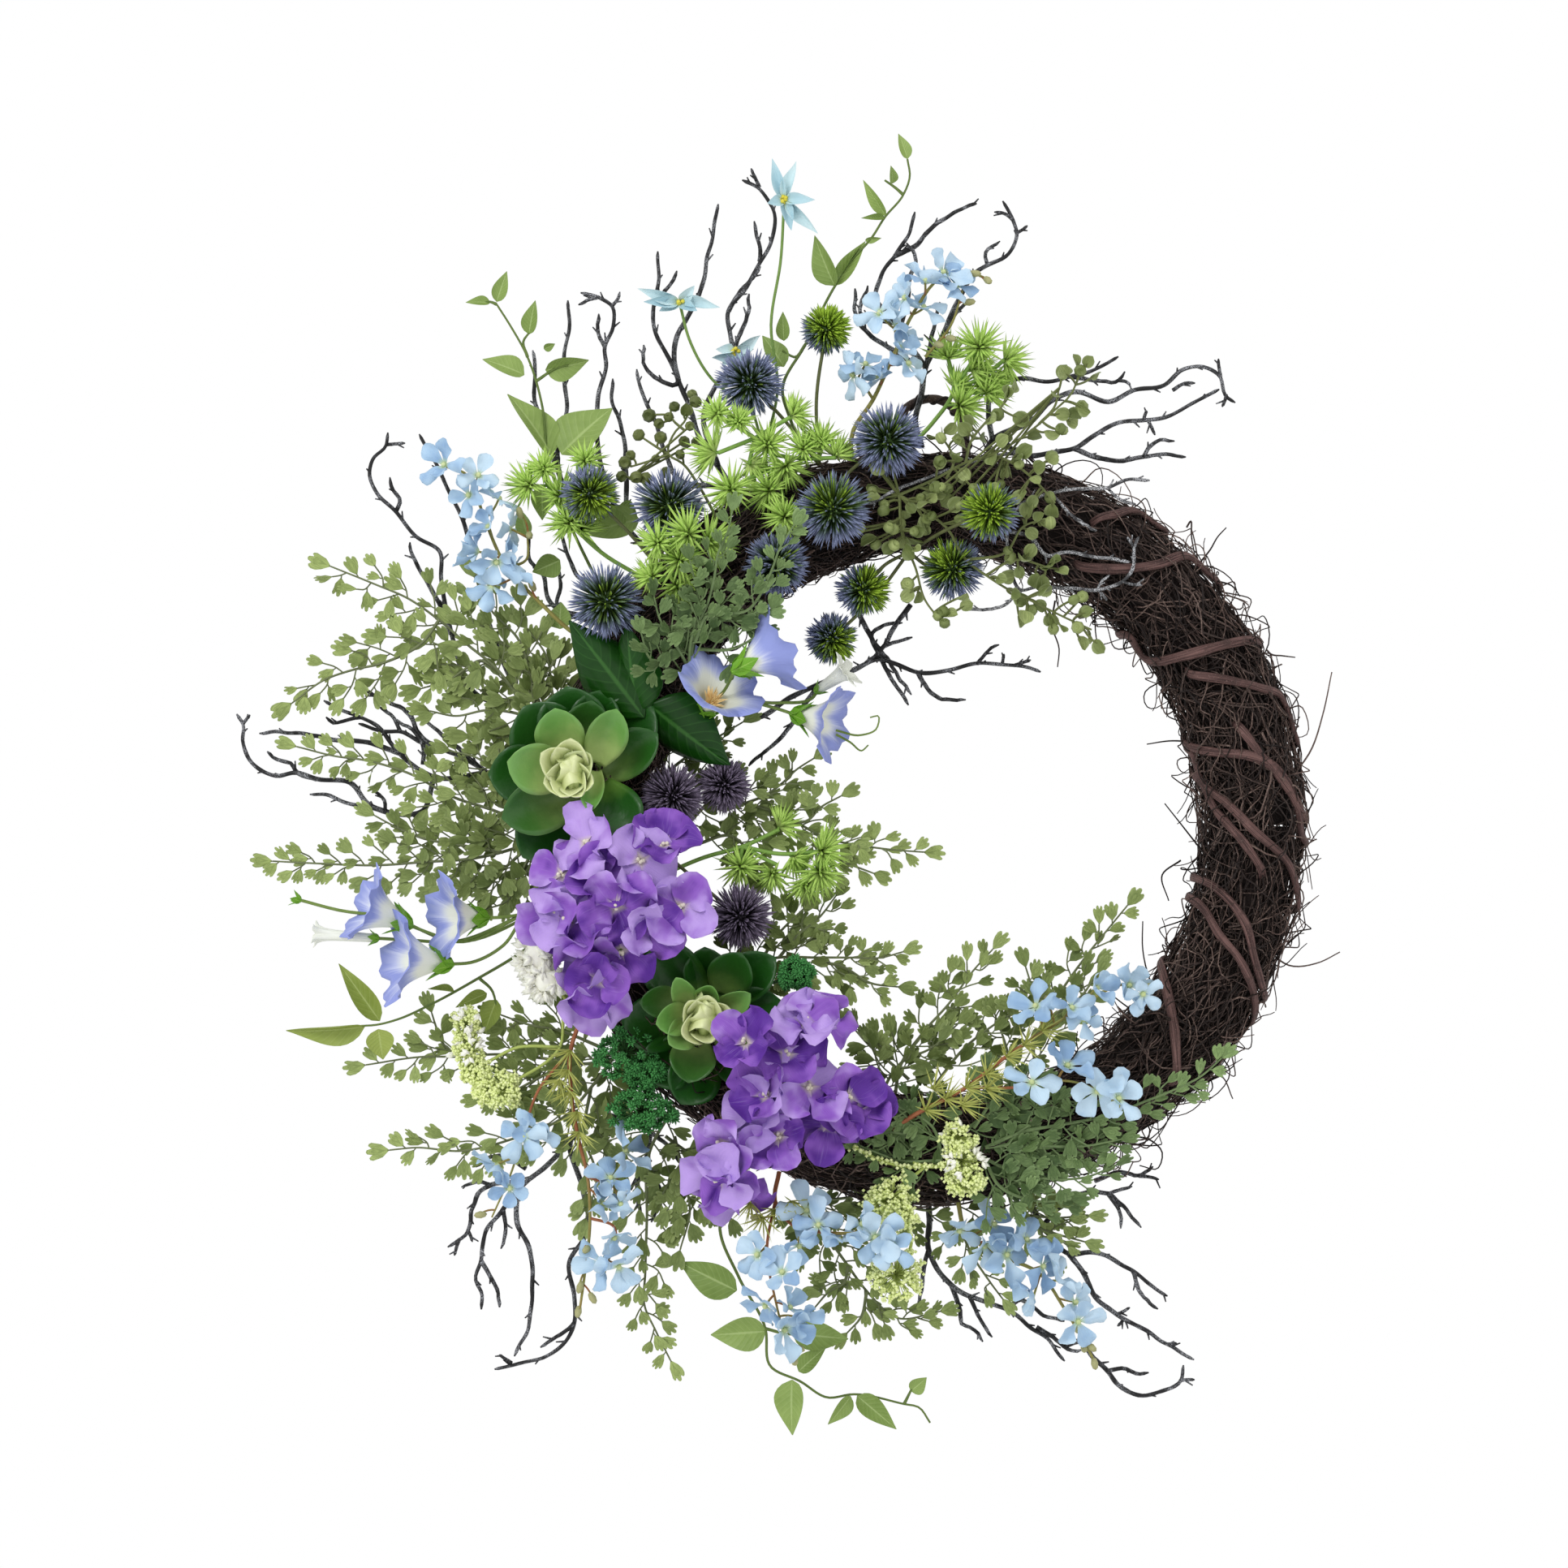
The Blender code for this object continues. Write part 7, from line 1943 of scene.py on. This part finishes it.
TUFT_RNG = np.random.default_rng(19)
TUFT_FINISHES = (
    rib_finish("tuft_stalk", (0.32, 0.42, 0.08), (0.52, 0.60, 0.18)),
    rib_finish("yellow_tuft", (0.72, 0.84, 0.22), (0.94, 0.98, 0.62)),
    rib_finish("white_tuft", (0.98, 0.98, 0.86), (0.99, 0.99, 0.91)),
    rib_finish("dark_tuft", (0.022, 0.140, 0.028), (0.100, 0.380, 0.105)),
    rib_finish("dark_tuft_stalk", (0.020, 0.080, 0.018), (0.060, 0.160, 0.040)),
)
for tuft_name, tuft_parts in TUFTS.items():
    dark = tuft_name == "dark_tufts"
    tuft = tuft_pick(TUFT_RNG, *tuft_parts, stem_skin=4 if dark else 0)
    tuft = tuft.make(tuft_name + "_heads", *TUFT_FINISHES)
    settle(tuft, tuft_name)

# The stage: a plain pale floor below the wreath, soft white light from all round with a large lamp above the
# camera's left, and a camera square to the wall as in the picture.
WHITE = (1.0, 1.0, 1.0)
LAMP_PLACE = (-1.3, -2.0, 1.1)
LAMP_SIZE = 0.9
LAMP_POWER = 22
FLOOR_DROP = 1.6
FLOOR_REACH = 1.5
CAMERA_SENSOR = 36.0
PICTURE_SIZE = 1932


def add_to_scene(name, data):
    made = bpy.data.objects.new(name, data)
    bpy.context.scene.collection.objects.link(made)
    return made


def light_all_round():
    world = bpy.data.worlds.new("studio")
    world.use_nodes = True
    world.node_tree.nodes["Background"].inputs["Color"].default_value = (*WHITE, 1)
    world.node_tree.nodes["Background"].inputs["Strength"].default_value = 1.0
    bpy.context.scene.world = world
    bpy.context.scene.view_settings.view_transform = "Standard"


def key_lamp():
    """A square lamp that points at the middle of the ring."""
    light = bpy.data.lights.new("key_lamp", "AREA")
    light.size = LAMP_SIZE
    light.energy = LAMP_POWER
    lamp = add_to_scene("key_lamp", light)
    lamp.location = LAMP_PLACE
    lamp.rotation_euler = (Vector(RING_MIDDLE) - lamp.location).to_track_quat("-Z", "Y").to_euler()


def picture_camera():
    camera = add_to_scene("camera", bpy.data.cameras.new("camera"))
    camera.data.sensor_width = CAMERA_SENSOR
    camera.data.lens = CAMERA_SENSOR * EYE_DISTANCE / (PICTURE_SIZE * POINT)
    camera.location = Vector(spot(EYE_POINT, BACK_DEPTH / MM)) + Vector((0, -EYE_DISTANCE, 0))
    camera.rotation_euler = (math.radians(90), 0, 0)
    bpy.context.scene.camera = camera


def pale_floor():
    mesh = bpy.data.meshes.new("floor")
    corners = [(x, y, -FLOOR_DROP) for x, y in (
        (-FLOOR_REACH, -FLOOR_REACH), (FLOOR_REACH, -FLOOR_REACH), (FLOOR_REACH, FLOOR_REACH),
        (-FLOOR_REACH, FLOOR_REACH))]
    mesh.from_pydata(corners, [], [(0, 1, 2, 3)])
    mesh.materials.append(Finish("pale_floor", 0.8).coat((0.8, 0.8, 0.8)))
    return add_to_scene("floor", mesh)


light_all_round()
key_lamp()
picture_camera()
pale_floor()
